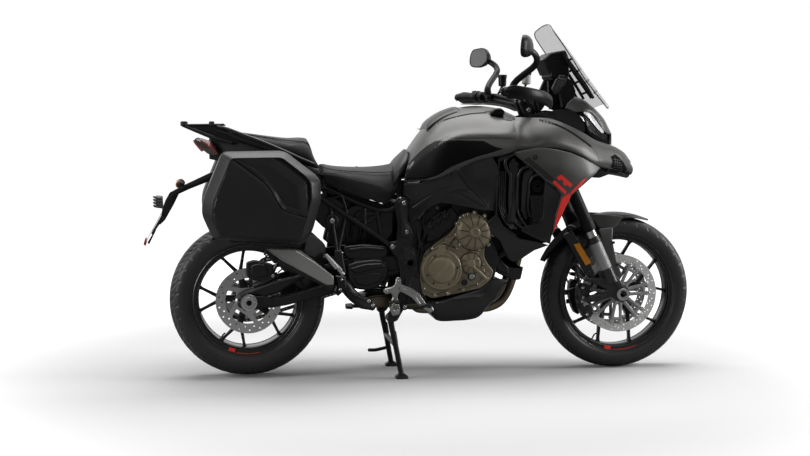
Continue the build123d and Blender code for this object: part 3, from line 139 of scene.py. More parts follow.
PAINT = material("graphite_paint", (0.066, 0.065, 0.062), 0.38, metal=0.4, mottle=0.04, grain=1500,
                 bump=0.012, coat=0.12, coat_rough=0.25, specular=0.4, rough_range=0.03, flakes=0.14)
PAINT_DIM = material("dark_graphite_paint", (0.030, 0.030, 0.029), 0.38, metal=0.45, mottle=0.04,
                     grain=1500, bump=0.012, specular=0.4, rough_range=0.03, flakes=0.14)
PLASTIC = material("black_plastic", (0.009, 0.009, 0.009), 0.46, grain=1300, bump=0.12,
                   specular=0.34, wear=0.05, wear_colour=(0.06, 0.06, 0.06))
SMOOTH_PLASTIC = material("smooth_black_plastic", (0.008, 0.008, 0.008), 0.33, grain=700, bump=0.03,
                          specular=0.5)
RUBBER = material("black_rubber", (0.013, 0.013, 0.013), 0.62, grain=1100, bump=0.12, specular=0.3)
SEAT = material("seat_cover", (0.014, 0.014, 0.0135), 0.55, grain=520, bump=0.25, specular=0.25,
                sheen=0.06)
BLACK_METAL = material("black_metal", (0.008, 0.008, 0.008), 0.40, grain=1600, bump=0.06,
                       specular=0.3, wear=0.08)
COCKPIT_BLACK = material("cockpit_black", (0.0034, 0.0034, 0.0034), 0.36, grain=1200, bump=0.04,
                         specular=0.22)
BLACK_ALLOY = material("black_alloy", (0.012, 0.012, 0.012), 0.32, metal=0.15, grain=1400, bump=0.06,
                       specular=0.5, wear=0.10)
CAST = material("cast_alloy", (0.20, 0.20, 0.195), 0.42, metal=0.8, grain=700, bump=0.22,
                mottle=0.2, wear=0.3, wear_colour=(0.6, 0.6, 0.6))
INSERT_PLASTIC = material("insert_plastic", (0.0022, 0.0022, 0.0022), 0.45, grain=1300, bump=0.1,
                          specular=0.10)
INSERT_GLOSS = material("insert_gloss", (0.0024, 0.0024, 0.0024), 0.30, grain=900, bump=0.02, specular=0.16)
TRIM_GREY = material("trim_grey", (0.10, 0.10, 0.10), 0.34, metal=0.5, grain=900, bump=0.03)
CAST_DARK = material("dark_casting", (0.022, 0.022, 0.022), 0.45, metal=0.4, grain=800, bump=0.25,
                     mottle=0.2, wear=0.15)
BRONZE = material("bronze_cover", (0.225, 0.190, 0.125), 0.44, metal=0.35, grain=900, bump=0.10,
                  mottle=0.10, wear=0.15, wear_colour=(0.5, 0.46, 0.36))
DISC_STEEL = material("disc_steel", (0.62, 0.62, 0.61), 0.42, metal=0.35, grain=500, bump=0.03,
                      stretch=(1, 8, 1))
STEEL = material("bright_steel", (0.56, 0.56, 0.56), 0.26, metal=1.0, grain=400, bump=0.04,
                 stretch=(1, 8, 1))
SATIN_GREY = material("satin_grey_alloy", (0.30, 0.30, 0.30), 0.50, metal=0.3, grain=900, bump=0.04,
                      specular=0.3)
TYRE = material("tyre_rubber", (0.024, 0.024, 0.024), 0.42, grain=600, bump=0.10, specular=0.45,
                mottle=0.2)
# near-black: for panel gaps and black parts, and as painted shade in openings, hollows and under steps
DARK = material("dark_inside", (0.004, 0.004, 0.004), 0.8, grain=600, bump=0.05, specular=0.1)
RED = material("red_stripe", (0.80, 0.024, 0.017), 0.38, mottle=0.05, grain=1500, bump=0.01,
               coat=0.3, specular=0.4)
SILENCER = material("dark_steel_casing", (0.035, 0.035, 0.035), 0.36, metal=0.6, grain=500, bump=0.05,
                    stretch=(1, 1, 12))


def clear(name, colour, rough=0.05, alpha=0.3, transmission=0.0, ior=1.45, specular=0.5):
    """A see-through material."""
    made = material(name, colour, rough, grain=300, bump=0.004, mottle=0.03, rough_range=0.02,
                    specular=specular)
    shader = made.node_tree.nodes["Principled BSDF"]
    shader.inputs["Alpha"].default_value = alpha
    shader.inputs["Transmission Weight"].default_value = transmission
    shader.inputs["IOR"].default_value = ior
    return made


SCREEN = clear("tinted_screen", (0.22, 0.22, 0.22), alpha=0.30)
LENS = clear("clear_lens", (0.012, 0.012, 0.013), rough=0.3, alpha=0.75, specular=0.08)
RED_LENS = clear("red_lens", (0.30, 0.012, 0.012), alpha=0.9)
AMBER = clear("amber_lens", (0.55, 0.20, 0.015), alpha=0.95)
CALIPER_SILVER = material("caliper_silver", (0.42, 0.42, 0.41), 0.4, metal=0.4, grain=900, bump=0.06)
CASE_PLASTIC = material("satin_case_plastic", (0.018, 0.018, 0.018), 0.38, grain=1500, bump=0.05,
                        specular=0.28, coat=0.04, coat_rough=0.3, rough_range=0.05)
CAST_LIGHT = material("silver_casting", (0.42, 0.42, 0.41), 0.36, metal=0.8, grain=700, bump=0.15,
                      mottle=0.12)
CHAIN = material("chain_steel", (0.09, 0.08, 0.06), 0.4, metal=0.9, grain=600, bump=0.1, mottle=0.2)
# dark brown for the painted shadow lines along the engine covers' grooves and folds
SHADOW_LINE_PAINT = material("cover_shadow_lines", (0.035, 0.029, 0.018), 0.6, grain=900, bump=0.05, specular=0.2)
DRL = material("white_light_bar", (0.75, 0.76, 0.77), 0.22, grain=300, bump=0.01, mottle=0.03)
FOOT_GREY = material("dark_grey_casting", (0.035, 0.035, 0.035), 0.36, metal=0.5, grain=900, bump=0.12,
                     specular=0.5)
FORK_BLACK = material("fork_anodising", (0.006, 0.006, 0.006), 0.5, grain=1400, bump=0.03, specular=0.2)
FRAME_GREY = material("frame_casting", (0.026, 0.026, 0.026), 0.4, metal=0.4, grain=1100, bump=0.18,
                      specular=0.4)
GUARD_GREY = material("exhaust_guard_grey", (0.085, 0.085, 0.083), 0.5, grain=1200, bump=0.05,
                      specular=0.25)
# flat grey, not metallic: a painted reflection standing in for what the mirror glass shows
MIRROR_REFLECTION_GREY = material("mirror_glass", (0.12, 0.12, 0.122), 0.45, metal=0.0, grain=900, bump=0.004, mottle=0.03)
MUDGUARD = material("mudguard_paint", (0.034, 0.0335, 0.032), 0.42, metal=0.3, grain=1500, bump=0.012,
                    specular=0.25)
PEG_ALLOY = material("peg_alloy", (0.50, 0.50, 0.49), 0.34, metal=0.4, grain=900, bump=0.05)
PIPE = material("header_steel", (0.17, 0.14, 0.10), 0.3, metal=0.9, mottle=0.25, grain=120, bump=0.04)
PIVOT_GREY = material("pivot_casting", (0.030, 0.030, 0.029), 0.4, metal=0.2, grain=1100, bump=0.15,
                      specular=0.35)
PLATE = material("blank_plate_white", (0.62, 0.62, 0.60), 0.4, mottle=0.04, grain=500, bump=0.02)
POT = material("cloudy_pot", (0.42, 0.41, 0.38), 0.35, grain=300, bump=0.02, mottle=0.08)
RED_LAMP = material("red_lamp_bar", (0.16, 0.008, 0.008), 0.3, mottle=0.1, grain=500, bump=0.06, coat=0.3,
                    coat_rough=0.1)
RIM_BLACK = material("rim_black", (0.010, 0.010, 0.010), 0.24, metal=0.2, grain=1400, bump=0.02,
                     specular=0.6)
# pale metal for the painted highlight lines along the rims' lips
RIM_HIGHLIGHT = material("rim_painted_highlight", (0.20, 0.20, 0.20), 0.3, metal=0.8, grain=900, bump=0.02)
SILENCER_LIGHT = material("brushed_shield", (0.30, 0.30, 0.29), 0.40, metal=0.3, grain=500, bump=0.05)
SMOKED = clear("smoked_lens", (0.06, 0.045, 0.042), alpha=0.92)
SWING_BLACK = material("swingarm_black", (0.016, 0.016, 0.016), 0.42, metal=0.2, grain=900, bump=0.15,
                       specular=0.35)


def paint_cad(stuff, *names):
    """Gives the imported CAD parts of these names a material."""
    for name in names:
        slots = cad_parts[name].data.materials
        if not slots:
            slots.append(stuff)
        for i in range(len(slots)):
            slots[i] = stuff


paint_cad(PAINT, "fuel_tank", "nose_fairing", "side_fairings", "wing_panels", "front_mudguard",
          "pannier_lid_left", "pannier_lid_right")
paint_cad(PLASTIC, "tail_unit", "radiator_shrouds", "knee_panels", "rear_mudguard", "side_shields",
          "plate_holder", "dashboard", "belly_pan", "pannier_cases", "hand_controls", "mirrors",
          "hand_guards")
paint_cad(BLACK_ALLOY, "radiators", "main_frame", "pivot_plates", "swingarm", "rear_shock",
          "rear_rack", "exhaust_headers", "fork_yokes", "handlebar", "fork_outer_tubes",
          "front_rim", "rear_rim")
paint_cad(BLACK_METAL, "subframe", "centre_stand", "side_stand")
paint_cad(SEAT, "rider_seat", "passenger_seat")
paint_cad(CAST, "front_calipers", "rear_caliper", "rider_footrests", "passenger_footrests")
paint_cad(CAST_DARK, "engine")
paint_cad(BRONZE, "engine_covers")
paint_cad(STEEL, "drive_chain", "rear_axle", "front_axle", "front_brake_discs", "rear_brake_disc",
          "rear_sprocket")
paint_cad(SATIN_GREY, "fork_lower_legs")
paint_cad(SILENCER, "silencer")
paint_cad(TYRE, "front_tyre", "rear_tyre")
paint_cad(SCREEN, "windscreen")
paint_cad(LENS, "headlight")
paint_cad(RED_LENS, "tail_light")


# ---------------------------------------------------------------- driving dimensions in mm
WHEELBASE = 1567.0
RAKE = math.radians(24.5)
AXIS_AHEAD = 102.5  # the steering axis meets the ground this far ahead of the front axle
FORK_OFFSET = 24  # the fork legs stand ahead of the steering axis
FORK_HALF = 107  # from the middle to a fork leg's axis
STEER_AXIS = (-0.415, 0, 0.91)  # up along the steering axis
FRONT = (WHEELBASE, 325.3)  # the front axle in side view
REAR = (0.0, 325.9)  # the rear axle in side view
FRONT_BEAD, REAR_BEAD = 241.3, 215.9  # the radii of 19 and 17 inch rims
STAND_PIVOT = (668, 176, 262)  # the side stand's pin
STAND_TIP = math.radians(28)  # how far that pin tips up to the left
OUTSIDE = 900  # beyond every piece, where rays start
SPLINE_UNIT = 100.0  # keeps the spline's numbers near one


# ---------------------------------------------------------------- shapes in mm
def sub(a, b):
    """The vector from b to a."""
    return tuple(p - q for p, q in zip(a, b))


def curve_through(points, steps, closed=False):
    """Catmull-Rom points through the given ones."""
    pts = np.array(points, float)
    count = len(pts)
    out = []
    last = count if closed else count - 1
    for i in range(last):
        if closed:
            a, b, c, d = (pts[(i + k) % count] for k in (-1, 0, 1, 2))
        else:
            b, c = pts[i], pts[i + 1]
            a = pts[i - 1] if i else 2 * b - c
            d = pts[i + 2] if i + 2 < count else 2 * c - b
        for s in range(steps):
            t = s / steps
            out.append(0.5 * ((2 * b) + (c - a) * t + (2 * a - 5 * b + 4 * c - d) * t * t
                              + (3 * b - a - 3 * c + d) * t ** 3))
    if not closed:
        out.append(pts[-1])
    return [tuple(float(v) for v in p) for p in out]


def signed_area(outline):
    """The area inside an outline, positive when it runs anticlockwise."""
    return sum(a[0] * b[1] - b[0] * a[1] for a, b in zip(outline, outline[1:] + outline[:1])) / 2


def inset(outline, distance):
    """The outline moved inwards; it runs anticlockwise."""
    out = []
    count = len(outline)
    for i in range(count):
        a, b, c = (np.array(outline[(i + k) % count], float) for k in (-1, 0, 1))
        d1, d2 = b - a, c - b
        d1 /= max(np.linalg.norm(d1), 1e-9)
        d2 /= max(np.linalg.norm(d2), 1e-9)
        n1, n2 = np.array((-d1[1], d1[0])), np.array((-d2[1], d2[0]))
        middle = n1 + n2
        size = max(np.dot(middle, middle) / 2, 0.35)
        out.append(tuple(b + middle / size * distance))
    return out


def anticlockwise(outline):
    """The outline as floats, turned round where it runs clockwise."""
    outline = [tuple(float(v) for v in p) for p in outline]
    return outline if signed_area(outline) > 0 else outline[::-1]


def rounded(outline, radius, steps=4):
    """The outline with each corner turned into a short curve."""
    out = []
    count = len(outline)
    for i in range(count):
        a, b, c = (np.array(outline[(i + k) % count], float) for k in (-1, 0, 1))
        la, lc = np.linalg.norm(a - b), np.linalg.norm(c - b)
        cut = min(radius, la * 0.45, lc * 0.45)
        p, q = b + (a - b) / la * cut, b + (c - b) / lc * cut
        for s in range(steps + 1):
            t = s / steps
            out.append(tuple((1 - t) ** 2 * p + 2 * t * (1 - t) * b + t * t * q))
    return out


class Shape:
    """Loose geometry in mm, gathered before it becomes one piece. x runs from the rear axle."""

    def __init__(self):
        self.verts = []
        self.faces = []

    def add(self, verts, faces):
        """Adds loose points and faces."""
        start = len(self.verts)
        self.verts += [tuple(float(c) for c in v) for v in verts]
        self.faces += [tuple(start + i for i in f) for f in faces]
        return self

    def loft(self, rows, closed=True, ends=True, wrap=False):
        """Skin over rows of points; closed joins each row's ends, wrap joins the last row to the first."""
        n, m = len(rows), len(rows[0])
        faces = []
        for i in range(n if wrap else n - 1):
            j = (i + 1) % n
            for k in range(m if closed else m - 1):
                q = (k + 1) % m
                faces.append((i * m + k, i * m + q, j * m + q, j * m + k))
        if ends and not wrap:
            faces.append(tuple(range(m))[::-1])
            faces.append(tuple((n - 1) * m + k for k in range(m)))
        return self.add([p for row in rows for p in row], faces)

    def lathe(self, profile, centre, axis=(0, 1, 0), sides=32, ends=True):
        """Profile points are (along the axis, radius)."""
        axis = Vector(axis).normalized()
        across = axis.orthogonal().normalized()
        other = axis.cross(across)
        rows = []
        for along, radius in profile:
            middle = Vector(centre) + axis * along
            rows.append([tuple(middle + (across * math.cos(t) + other * math.sin(t)) * max(radius, 0.02))
                         for t in (2 * math.pi * s / sides for s in range(sides))])
        return self.loft(rows, ends=ends)

    def rod(self, start, end, radius, far=None, sides=24, chamfer=1.0):
        """A straight bar between two points."""
        length = (Vector(end) - Vector(start)).length
        far = radius if far is None else far
        return self.lathe([(0, radius - chamfer), (chamfer, radius), (length - chamfer, far),
                           (length, far - chamfer)], start, sub(end, start), sides)

    def tube(self, points, radius, sides=14, steps=6):
        """A bent bar through points."""
        line = curve_through(points, steps) if len(points) > 2 else list(points)
        radii = radius if isinstance(radius, (list, tuple)) else [radius] * len(points)
        rows = []
        across = None
        for i, p in enumerate(line):
            ahead = Vector(line[min(i + 1, len(line) - 1)]) - Vector(line[max(i - 1, 0)])
            ahead.normalize()
            across = ahead.orthogonal() if across is None else across - ahead * across.dot(ahead)
            across.normalize()
            other = ahead.cross(across)
            t = i / (len(line) - 1) * (len(radii) - 1)
            low = min(int(t), len(radii) - 2)
            r = radii[low] + (radii[low + 1] - radii[low]) * (t - low)
            rows.append([tuple(Vector(p) + (across * math.cos(a) + other * math.sin(a)) * r)
                         for a in (2 * math.pi * s / sides for s in range(sides))])
        return self.loft(rows)

    def prism(self, outline, y0, y1, chamfer=1.5, corner=0.0):
        """A side-view outline of (x, z) points given thickness from y0 to y1, with chamfered edges."""
        outline = anticlockwise(rounded(outline, corner) if corner else outline)
        small = inset(outline, chamfer)
        y0, y1 = min(y0, y1), max(y0, y1)
        rows = [[(x, y, z) for x, z in ring] for ring, y in
                ((small, y0), (outline, y0 + chamfer), (outline, y1 - chamfer), (small, y1))]
        return self.loft(rows)

    def bolt(self, place, axis, radius=6.0, height=5.0):
        """A cap screw with a hexagonal socket."""
        return self.lathe([(0, radius), (height - 1, radius), (height, radius - 1), (height, radius * 0.55),
                           (height * 0.45, radius * 0.5), (height * 0.45, 0)], place, axis, 12)

    def reflected(self):
        """A copy on the other side of the middle."""
        return Shape().add([(x, -y, z) for x, y, z in self.verts], [f[::-1] for f in self.faces])

    def mirrored(self):
        """This shape and its reflection over the middle."""
        return self.join(self.reflected())

    def join(self, other):
        """Adds another shape's geometry."""
        return self.add(other.verts, other.faces)

    def piece(self, name, stuff, body, slot, replaces=(), sharp=32, solid=0.0, bevel=0.0):
        """Turns the shape into one scene piece."""
        mesh = bpy.data.meshes.new(name)
        mesh.from_pydata([((x - MIDDLE_X) / 1000, y / 1000, z / 1000) for x, y, z in self.verts], [],
                         self.faces)
        work = bmesh.new()
        work.from_mesh(mesh)
        bmesh.ops.remove_doubles(work, verts=work.verts, dist=1e-6)
        bmesh.ops.recalc_face_normals(work, faces=work.faces)
        work.to_mesh(mesh)
        work.free()
        made = bpy.data.objects.new(name, mesh)
        scene.collection.objects.link(made)
        if solid:
            shell = made.modifiers.new("thickness", "SOLIDIFY")
            shell.thickness = solid / 1000
            shell.offset = -1
        if bevel:
            edge = made.modifiers.new("edges", "BEVEL")
            edge.width = bevel / 1000
            edge.segments = 2
            edge.limit_method = "ANGLE"
            edge.angle_limit = math.radians(38)
        if sharp:
            mesh.polygons.foreach_set("use_smooth", [True] * len(mesh.polygons))
            mesh.set_sharp_from_angle(angle=math.radians(sharp))
        mesh.materials.append(stuff)
        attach(made, body)
        if replaces:
            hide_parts(*replaces)
        return made


def shapes(count):
    """Several empty shapes."""
    return [Shape() for _ in range(count)]


def inside(outline, x, z):
    """Which of the points lie inside the outline."""
    pts = np.array(outline)
    nxt = np.roll(pts, -1, axis=0)
    hit = np.zeros(len(x), bool)
    for (x0, z0), (x1, z1) in zip(pts, nxt):
        cross = ((z0 > z) != (z1 > z)) & (x < (x1 - x0) * (z - z0) / (z1 - z0 + 1e-12) + x0)
        hit ^= cross
    return hit


def edge_distance(outline, x, z):
    """How far the points lie from the outline."""
    pts = np.array(outline)
    nxt = np.roll(pts, -1, axis=0)
    best = np.full(len(x), 1e9)
    for a, b in zip(pts, nxt):
        d = b - a
        t = np.clip(((x - a[0]) * d[0] + (z - a[1]) * d[1]) / max(d @ d, 1e-9), 0, 1)
        best = np.minimum(best, np.hypot(x - a[0] - t * d[0], z - a[1] - t * d[1]))
    return best


def walked(outline, spacing):
    """Points along a closed outline, its corners kept."""
    out = []
    for a, b in zip(outline, outline[1:] + outline[:1]):
        a, b = np.array(a, float), np.array(b, float)
        steps = max(1, int(round(np.linalg.norm(b - a) / spacing)))
        out += [tuple(a + (b - a) * s / steps) for s in range(steps)]
    return out


def flat_mesh(outline, spacing, rings=()):
    """Triangles that fill a side-view outline: points, faces and how deep each point is inside."""
    border = walked(outline, spacing)
    loops = [border] + [inset(border, r) for r in rings]
    reach = max(rings) if rings else 0
    pts = np.array(border)
    low, high = pts.min(0), pts.max(0)
    xs = np.arange(low[0], high[0], spacing)
    zs = np.arange(low[1], high[1], spacing * 0.87)
    gx, gz = np.meshgrid(xs, zs)
    gx = gx + (np.arange(len(zs)) % 2)[:, None] * spacing / 2
    gx, gz = gx.ravel(), gz.ravel()
    keep = inside(border, gx, gz)
    gx, gz = gx[keep], gz[keep]
    keep = edge_distance(border, gx, gz) > reach + spacing * 0.55
    points = [Vector(p) for loop in loops for p in loop] + [Vector(p) for p in zip(gx[keep], gz[keep])]
    count = len(border)
    edges = [(i, (i + 1) % count) for i in range(count)]
    made = delaunay_2d_cdt(points, edges, [], 1, 1e-4)
    flat = [tuple(p) for p in made[0]]
    x, z = np.array(flat).T
    return flat, [tuple(f) for f in made[2]], edge_distance(border, x, z), border


def relief(shape, outline, height, spacing=9.0, edge=3.0, depth=6.0, corner=0.0, side=-1):
    """A skin over a side-view outline at y = height(x, z), rolled over at its edge and turned in
    by depth."""
    outline = anticlockwise(rounded(outline, corner) if corner else outline)
    flat, faces, deep, border = flat_mesh(outline, spacing, (edge * 0.35, edge) if edge else ())
    x, z = np.array(flat).T
    y = np.array(height(x, z), float)
    if edge:
        t = np.clip(1 - deep / edge, 0, 1)
        y = y - edge * (1 - np.sqrt(np.clip(1 - t * t, 0, 1)))
    shape.add([(a, side * b, c) for a, b, c in zip(x, y, z)], faces)
    bx, bz = np.array(border).T
    by = np.array(height(bx, bz), float) - (edge or 0)
    outer = [(a, side * b, c) for a, b, c in zip(bx, by, bz)]
    inner = [(a, side * (b - depth), c) for a, b, c in zip(bx, by, bz)]
    return shape.loft([outer, inner], ends=False)


def surface(points):
    """The smoothest height through (x, z, height) points, as a function of x and z."""
    pts = np.array(points, float)
    p = pts[:, :2] / SPLINE_UNIT

    def kernel(r2):
        """The spline's weight at a squared distance."""
        return np.where(r2 > 1e-12, r2 * np.log(np.maximum(r2, 1e-12)) * 0.5, 0.0)

    n = len(p)
    gap = ((p[:, None] - p[None]) ** 2).sum(-1)
    top = np.hstack([kernel(gap), np.ones((n, 1)), p])
    low = np.hstack([np.vstack([np.ones(n), p.T]), np.zeros((3, 3))])
    weights = np.linalg.solve(np.vstack([top, low]), np.concatenate([pts[:, 2], np.zeros(3)]))

    def height(x, z):
        """The height at side-view points."""
        q = np.stack([np.asarray(x, float), np.asarray(z, float)], -1) / SPLINE_UNIT
        r2 = ((q[:, None] - p[None]) ** 2).sum(-1)
        return kernel(r2) @ weights[:n] + weights[n] + q @ weights[n + 1:]

    return height


def out_at(height, x, z):
    """One value of a height function."""
    return float(height([x], [z])[0])


def draped(shape, target, outline, lift=0.5, spacing=6.0, corner=0.0, side=-1, edge=0.0):
    """A thin skin laid on the outer side of a piece, from its side-view outline."""
    outline = anticlockwise(rounded(outline, corner) if corner else outline)
    flat, faces, deep, _ = flat_mesh(outline, spacing, (edge,) if edge else ())
    tree = BVHTree.FromPolygons([Vector(v) for v in target.verts], target.faces)
    verts = []
    last = None
    for (x, z), d in zip(flat, deep):
        hit = tree.ray_cast(Vector((x, side * OUTSIDE, z)), Vector((0, -side, 0)))[0]
        if hit is None:
            hit = tree.find_nearest(Vector((x, last.y if last else side * 200, z)))[0]
            hit = Vector((x, hit.y, z))
        last = hit
        sink = lift if not edge else lift * min(d / edge, 1.0) - 0.2
        verts.append((x, hit.y + side * sink, z))
    return shape.add(verts, faces)


def seam(shape, target, line, width=2.6, lift=0.35, side=-1, steps=6):
    """A thin strip along a side-view line on a piece: a panel gap or a trim line."""
    path = curve_through(line, steps) if len(line) > 2 else list(line)
    left, right = [], []
    for i, p in enumerate(path):
        a, b = path[max(i - 1, 0)], path[min(i + 1, len(path) - 1)]
        dx, dz = b[0] - a[0], b[1] - a[1]
        size = math.hypot(dx, dz) or 1.0
        nx, nz = -dz / size * width / 2, dx / size * width / 2
        left.append((p[0] + nx, p[1] + nz))
        right.append((p[0] - nx, p[1] - nz))
    tree = BVHTree.FromPolygons([Vector(v) for v in target.verts], target.faces)

    def on(point):
        """The place on the target beside a side-view point."""
        x, z = point
        hit = tree.ray_cast(Vector((x, side * OUTSIDE, z)), Vector((0, -side, 0)))[0]
        if hit is None:
            hit = tree.find_nearest(Vector((x, side * 200, z)))[0]
        return (x, hit.y + side * lift, z)

    return shape.loft([[on(p) for p in left], [on(p) for p in right]], closed=False, ends=False)


def steer_x(z):
    """How far ahead of the rear axle the steering axis stands at height z."""
    return WHEELBASE + AXIS_AHEAD - z * math.tan(RAKE)


def fork_x(z):
    """How far ahead of the rear axle the fork legs' axes stand at height z."""
    return steer_x(z) + FORK_OFFSET / math.cos(RAKE)


def ring(radius, degrees, centre):
    """A point on a circle in side view, as (x, z)."""
    return (centre[0] + radius * math.cos(math.radians(degrees)),
            centre[1] + radius * math.sin(math.radians(degrees)))


def spot(radius, degrees, centre, y):
    """A point on a circle in side view, at y."""
    x, z = ring(radius, degrees, centre)
    return (x, y, z)


def sheet(rows, steps=5, across=5):
    """Rows of (x, y, z) points smoothed both ways, as a grid."""
    wide = [curve_through(row, across) for row in rows]
    columns = [curve_through([row[k] for row in wide], steps) for k in range(len(wide[0]))]
    return [[column[i] for column in columns] for i in range(len(columns[0]))]


def both_ways(half):
    """A row given from the right edge to the middle, completed to the left edge."""
    return [(x, -y, z) for x, y, z in half] + [(x, y, z) for x, y, z in half[-2::-1]]


# ---------------------------------------------------------------- wheels
def perforated(shape, border, holes, y0, y1):
    """A flat plate between y0 and y1 with holes through it; outlines are (x, z) points."""
    border = anticlockwise(border)
    points = [Vector(p) for p in border]
    edges = [(i, (i + 1) % len(border)) for i in range(len(border))]
    for hole in holes:
        start = len(points)
        points += [Vector(p) for p in hole]
        edges += [(start + i, start + (i + 1) % len(hole)) for i in range(len(hole))]
    made = delaunay_2d_cdt(points, edges, [], 0, 1e-4)
    flat = [tuple(p) for p in made[0]]
    x, z = np.array(flat).T
    faces = [tuple(f) for f in made[2]]
    cx = np.array([x[list(f)].mean() for f in faces])
    cz = np.array([z[list(f)].mean() for f in faces])
    keep = inside(border, cx, cz)
    for hole in holes:
        keep &= ~inside(list(hole), cx, cz)
    faces = [f for f, k in zip(faces, keep) if k]
    for y in (y0, y1):
        shape.add([(a, y, b) for a, b in flat], faces)
    for loop in [border] + [list(h) for h in holes]:
        shape.loft([[(a, y0, b) for a, b in loop], [(a, y1, b) for a, b in loop]], ends=False)
    return shape


def disc_of(radius, sides, centre=(0, 0)):
    """A circle as an outline."""
    return [ring(radius, 360 * i / sides, centre) for i in range(sides)]


LONG_GROOVE, SHORT_GROOVE = 3.6, 3.0  # how deep the tread is cut


def tyre(name, centre, radius, half, bead, bead_half, body, node_name, pitch_count=36):
    """A tyre from bead to crown, with slanted grooves cut into its tread."""
    side = (bead + radius) / 2
    key = [(bead_half - 2, bead - 1), (bead_half, bead + 2), (half * 0.93, bead + (side - bead) * 0.45),
           (half, side), (half * 0.88, radius - (radius - side) * 0.45), (half * 0.6, radius - half * 0.17),
           (half * 0.3, radius - half * 0.035), (0, radius)]
    key += [(-y, r) for y, r in reversed(key[:-1])]
    profile = curve_through(key, 5)
    around = pitch_count * 30
    rows = []
    for i in range(around):
        turn = 2 * math.pi * i / around
        row = []
        for y, r in profile:
            reach = abs(y) / half
            depth = 0.0
            if r > side:
                shift = 0.0 if y > 0 else 0.5
                where = (turn + 0.22 * reach ** 1.2) / (2 * math.pi) * pitch_count + shift
                gap = abs(where - round(where)) * 2 * math.pi * radius / pitch_count
                if 0.10 < reach < 0.97:
                    depth = max(0.0, 1 - (gap / 6.5) ** 2) * LONG_GROOVE
                where += 0.5
                gap = abs(where - round(where)) * 2 * math.pi * radius / pitch_count
                if 0.42 < reach < 0.80:
                    depth = max(depth, max(0.0, 1 - (gap / 5.5) ** 2) * SHORT_GROOVE)
            elif bead + 12 < r < bead + 17 or side - 9 < r < side - 6:
                depth = -0.9
            row.append((centre[0] + (r - depth) * math.cos(turn), y,
                        centre[1] + (r - depth) * math.sin(turn)))
        rows.append(row)
    shape = Shape().loft(rows, closed=False, wrap=True, ends=False)
    return shape.piece(name, TYRE, body, "tyre", (node_name,), sharp=50)


def spoke(shape, centre, inner, outer, widths, depths):
    """An arm between two (radius, degrees) places, widest at its outer foot."""
    a, b = (Vector(ring(r, d, centre)) for r, d in (inner, outer))
    along = (b - a).normalized()
    across = Vector((-along.y, along.x))
    rows = []
    for t, flare in ((0, 1.5), (0.1, 1.1), (0.25, 1.0), (0.6, 1.0), (0.84, 1.05), (0.94, 1.4), (1, 2.2)):
        p = a.lerp(b, t)
        w = (widths[0] + (widths[1] - widths[0]) * t) * flare
        d = depths[0] + (depths[1] - depths[0]) * t
        ring_points = [(w, d * 0.55), (w * 0.55, d), (-w * 0.55, d), (-w, d * 0.55),
                       (-w, -d * 0.55), (-w * 0.55, -d), (w * 0.55, -d), (w, -d * 0.55)]
        rows.append([(p.x + across.x * s, y, p.y + across.y * s) for s, y in ring_points])
    return shape.loft(rows)


def rim(name, centre, bead, bead_half, hub, hub_half, twist, spread, body, node_name, red_at):
    """A cast wheel: hoop, hub, five forked spokes, valve, pale lines painted along the rim's lips as
    highlights, and red marks.
    """
    barrel = bead - 15
    hoop = [(-bead_half - 7, bead + 6), (-bead_half - 6, bead + 7), (-bead_half - 2, bead + 6.5),
            (-bead_half, bead - 1), (bead_half, bead - 1), (bead_half + 2, bead + 6.5),
            (bead_half + 6, bead + 7), (bead_half + 7, bead + 6), (bead_half + 6.5, bead - 8),
            (bead_half + 1, bead - 10), (bead_half - 5, barrel + 1), (0, barrel - 2),
            (-bead_half + 5, barrel + 1), (-bead_half - 1, bead - 10), (-bead_half - 6.5, bead - 8)]
    middle = (centre[0], 0, centre[1])
    shape = Shape()
    shape.loft([[spot(r, 3 * s, centre, y) for s in range(120)] for y, r in hoop], wrap=True, ends=False)
    shape.lathe([(-hub_half, 18), (-hub_half, hub - 8), (-hub_half + 6, hub - 5),
                 (-hub_half * 0.55, hub - 2), (-20, hub + 3), (20, hub + 3), (hub_half * 0.55, hub - 2),
                 (hub_half - 6, hub - 5), (hub_half, hub - 8), (hub_half, 18)], middle, sides=48,
                ends=False)
    for k in range(5):
        at = twist + 72 * k
        spoke(shape, centre, (hub - 6, at), (118, at), (15, 12), (24, 15))
        for way in (-1, 1):
            spoke(shape, centre, (110, at + way * 2), (barrel + 1, at + way * spread), (8, 5.0), (13, 13))
    valve_at = red_at - 12
    shape.tube([spot(barrel - sunk, valve_at, centre, y) for sunk, y in ((0, 0), (22, -6), (30, -24))],
               3.4, 8)
    # thin raised beads in pale metal: painted highlights along the flange and barrel edges
    lines = Shape()
    for way in (-1, 1):
        for y, r in ((bead_half + 6.8, bead + 6.4), (bead_half + 4.5, bead - 9.4),
                     (bead_half - 5, barrel + 0.6)):
            lines.lathe([(way * y, r - 1.0), (way * (y + 0.7), r), (way * y, r + 1.0)], middle, sides=120,
                        ends=False)
    lines.piece(name + "_edges", RIM_HIGHLIGHT, body, "black_alloy", sharp=0)
    made = shape.piece(name, RIM_BLACK, body, "black_alloy", (node_name,), bevel=0.8)
    marks = Shape()
    for start, stop, r0, r1 in ((red_at, red_at + 7, bead - 10, bead + 5),
                                (red_at + 9, red_at + 34, bead + 3, bead + 5)):
        for way in (-1, 1):
            y0 = way * (bead_half + 7.4)
            y1 = way * (bead_half + 7.0)
            arc = [start + (stop - start) * i / 12 for i in range(13)]
            rows = [[spot(r, d, centre, y) for d in arc] for r, y in ((r0, y1), (r1, y0))]
            marks.loft(rows, closed=False, ends=False)
    marks.piece(name + "_marks", RED, body, "red_lamp")
    return made


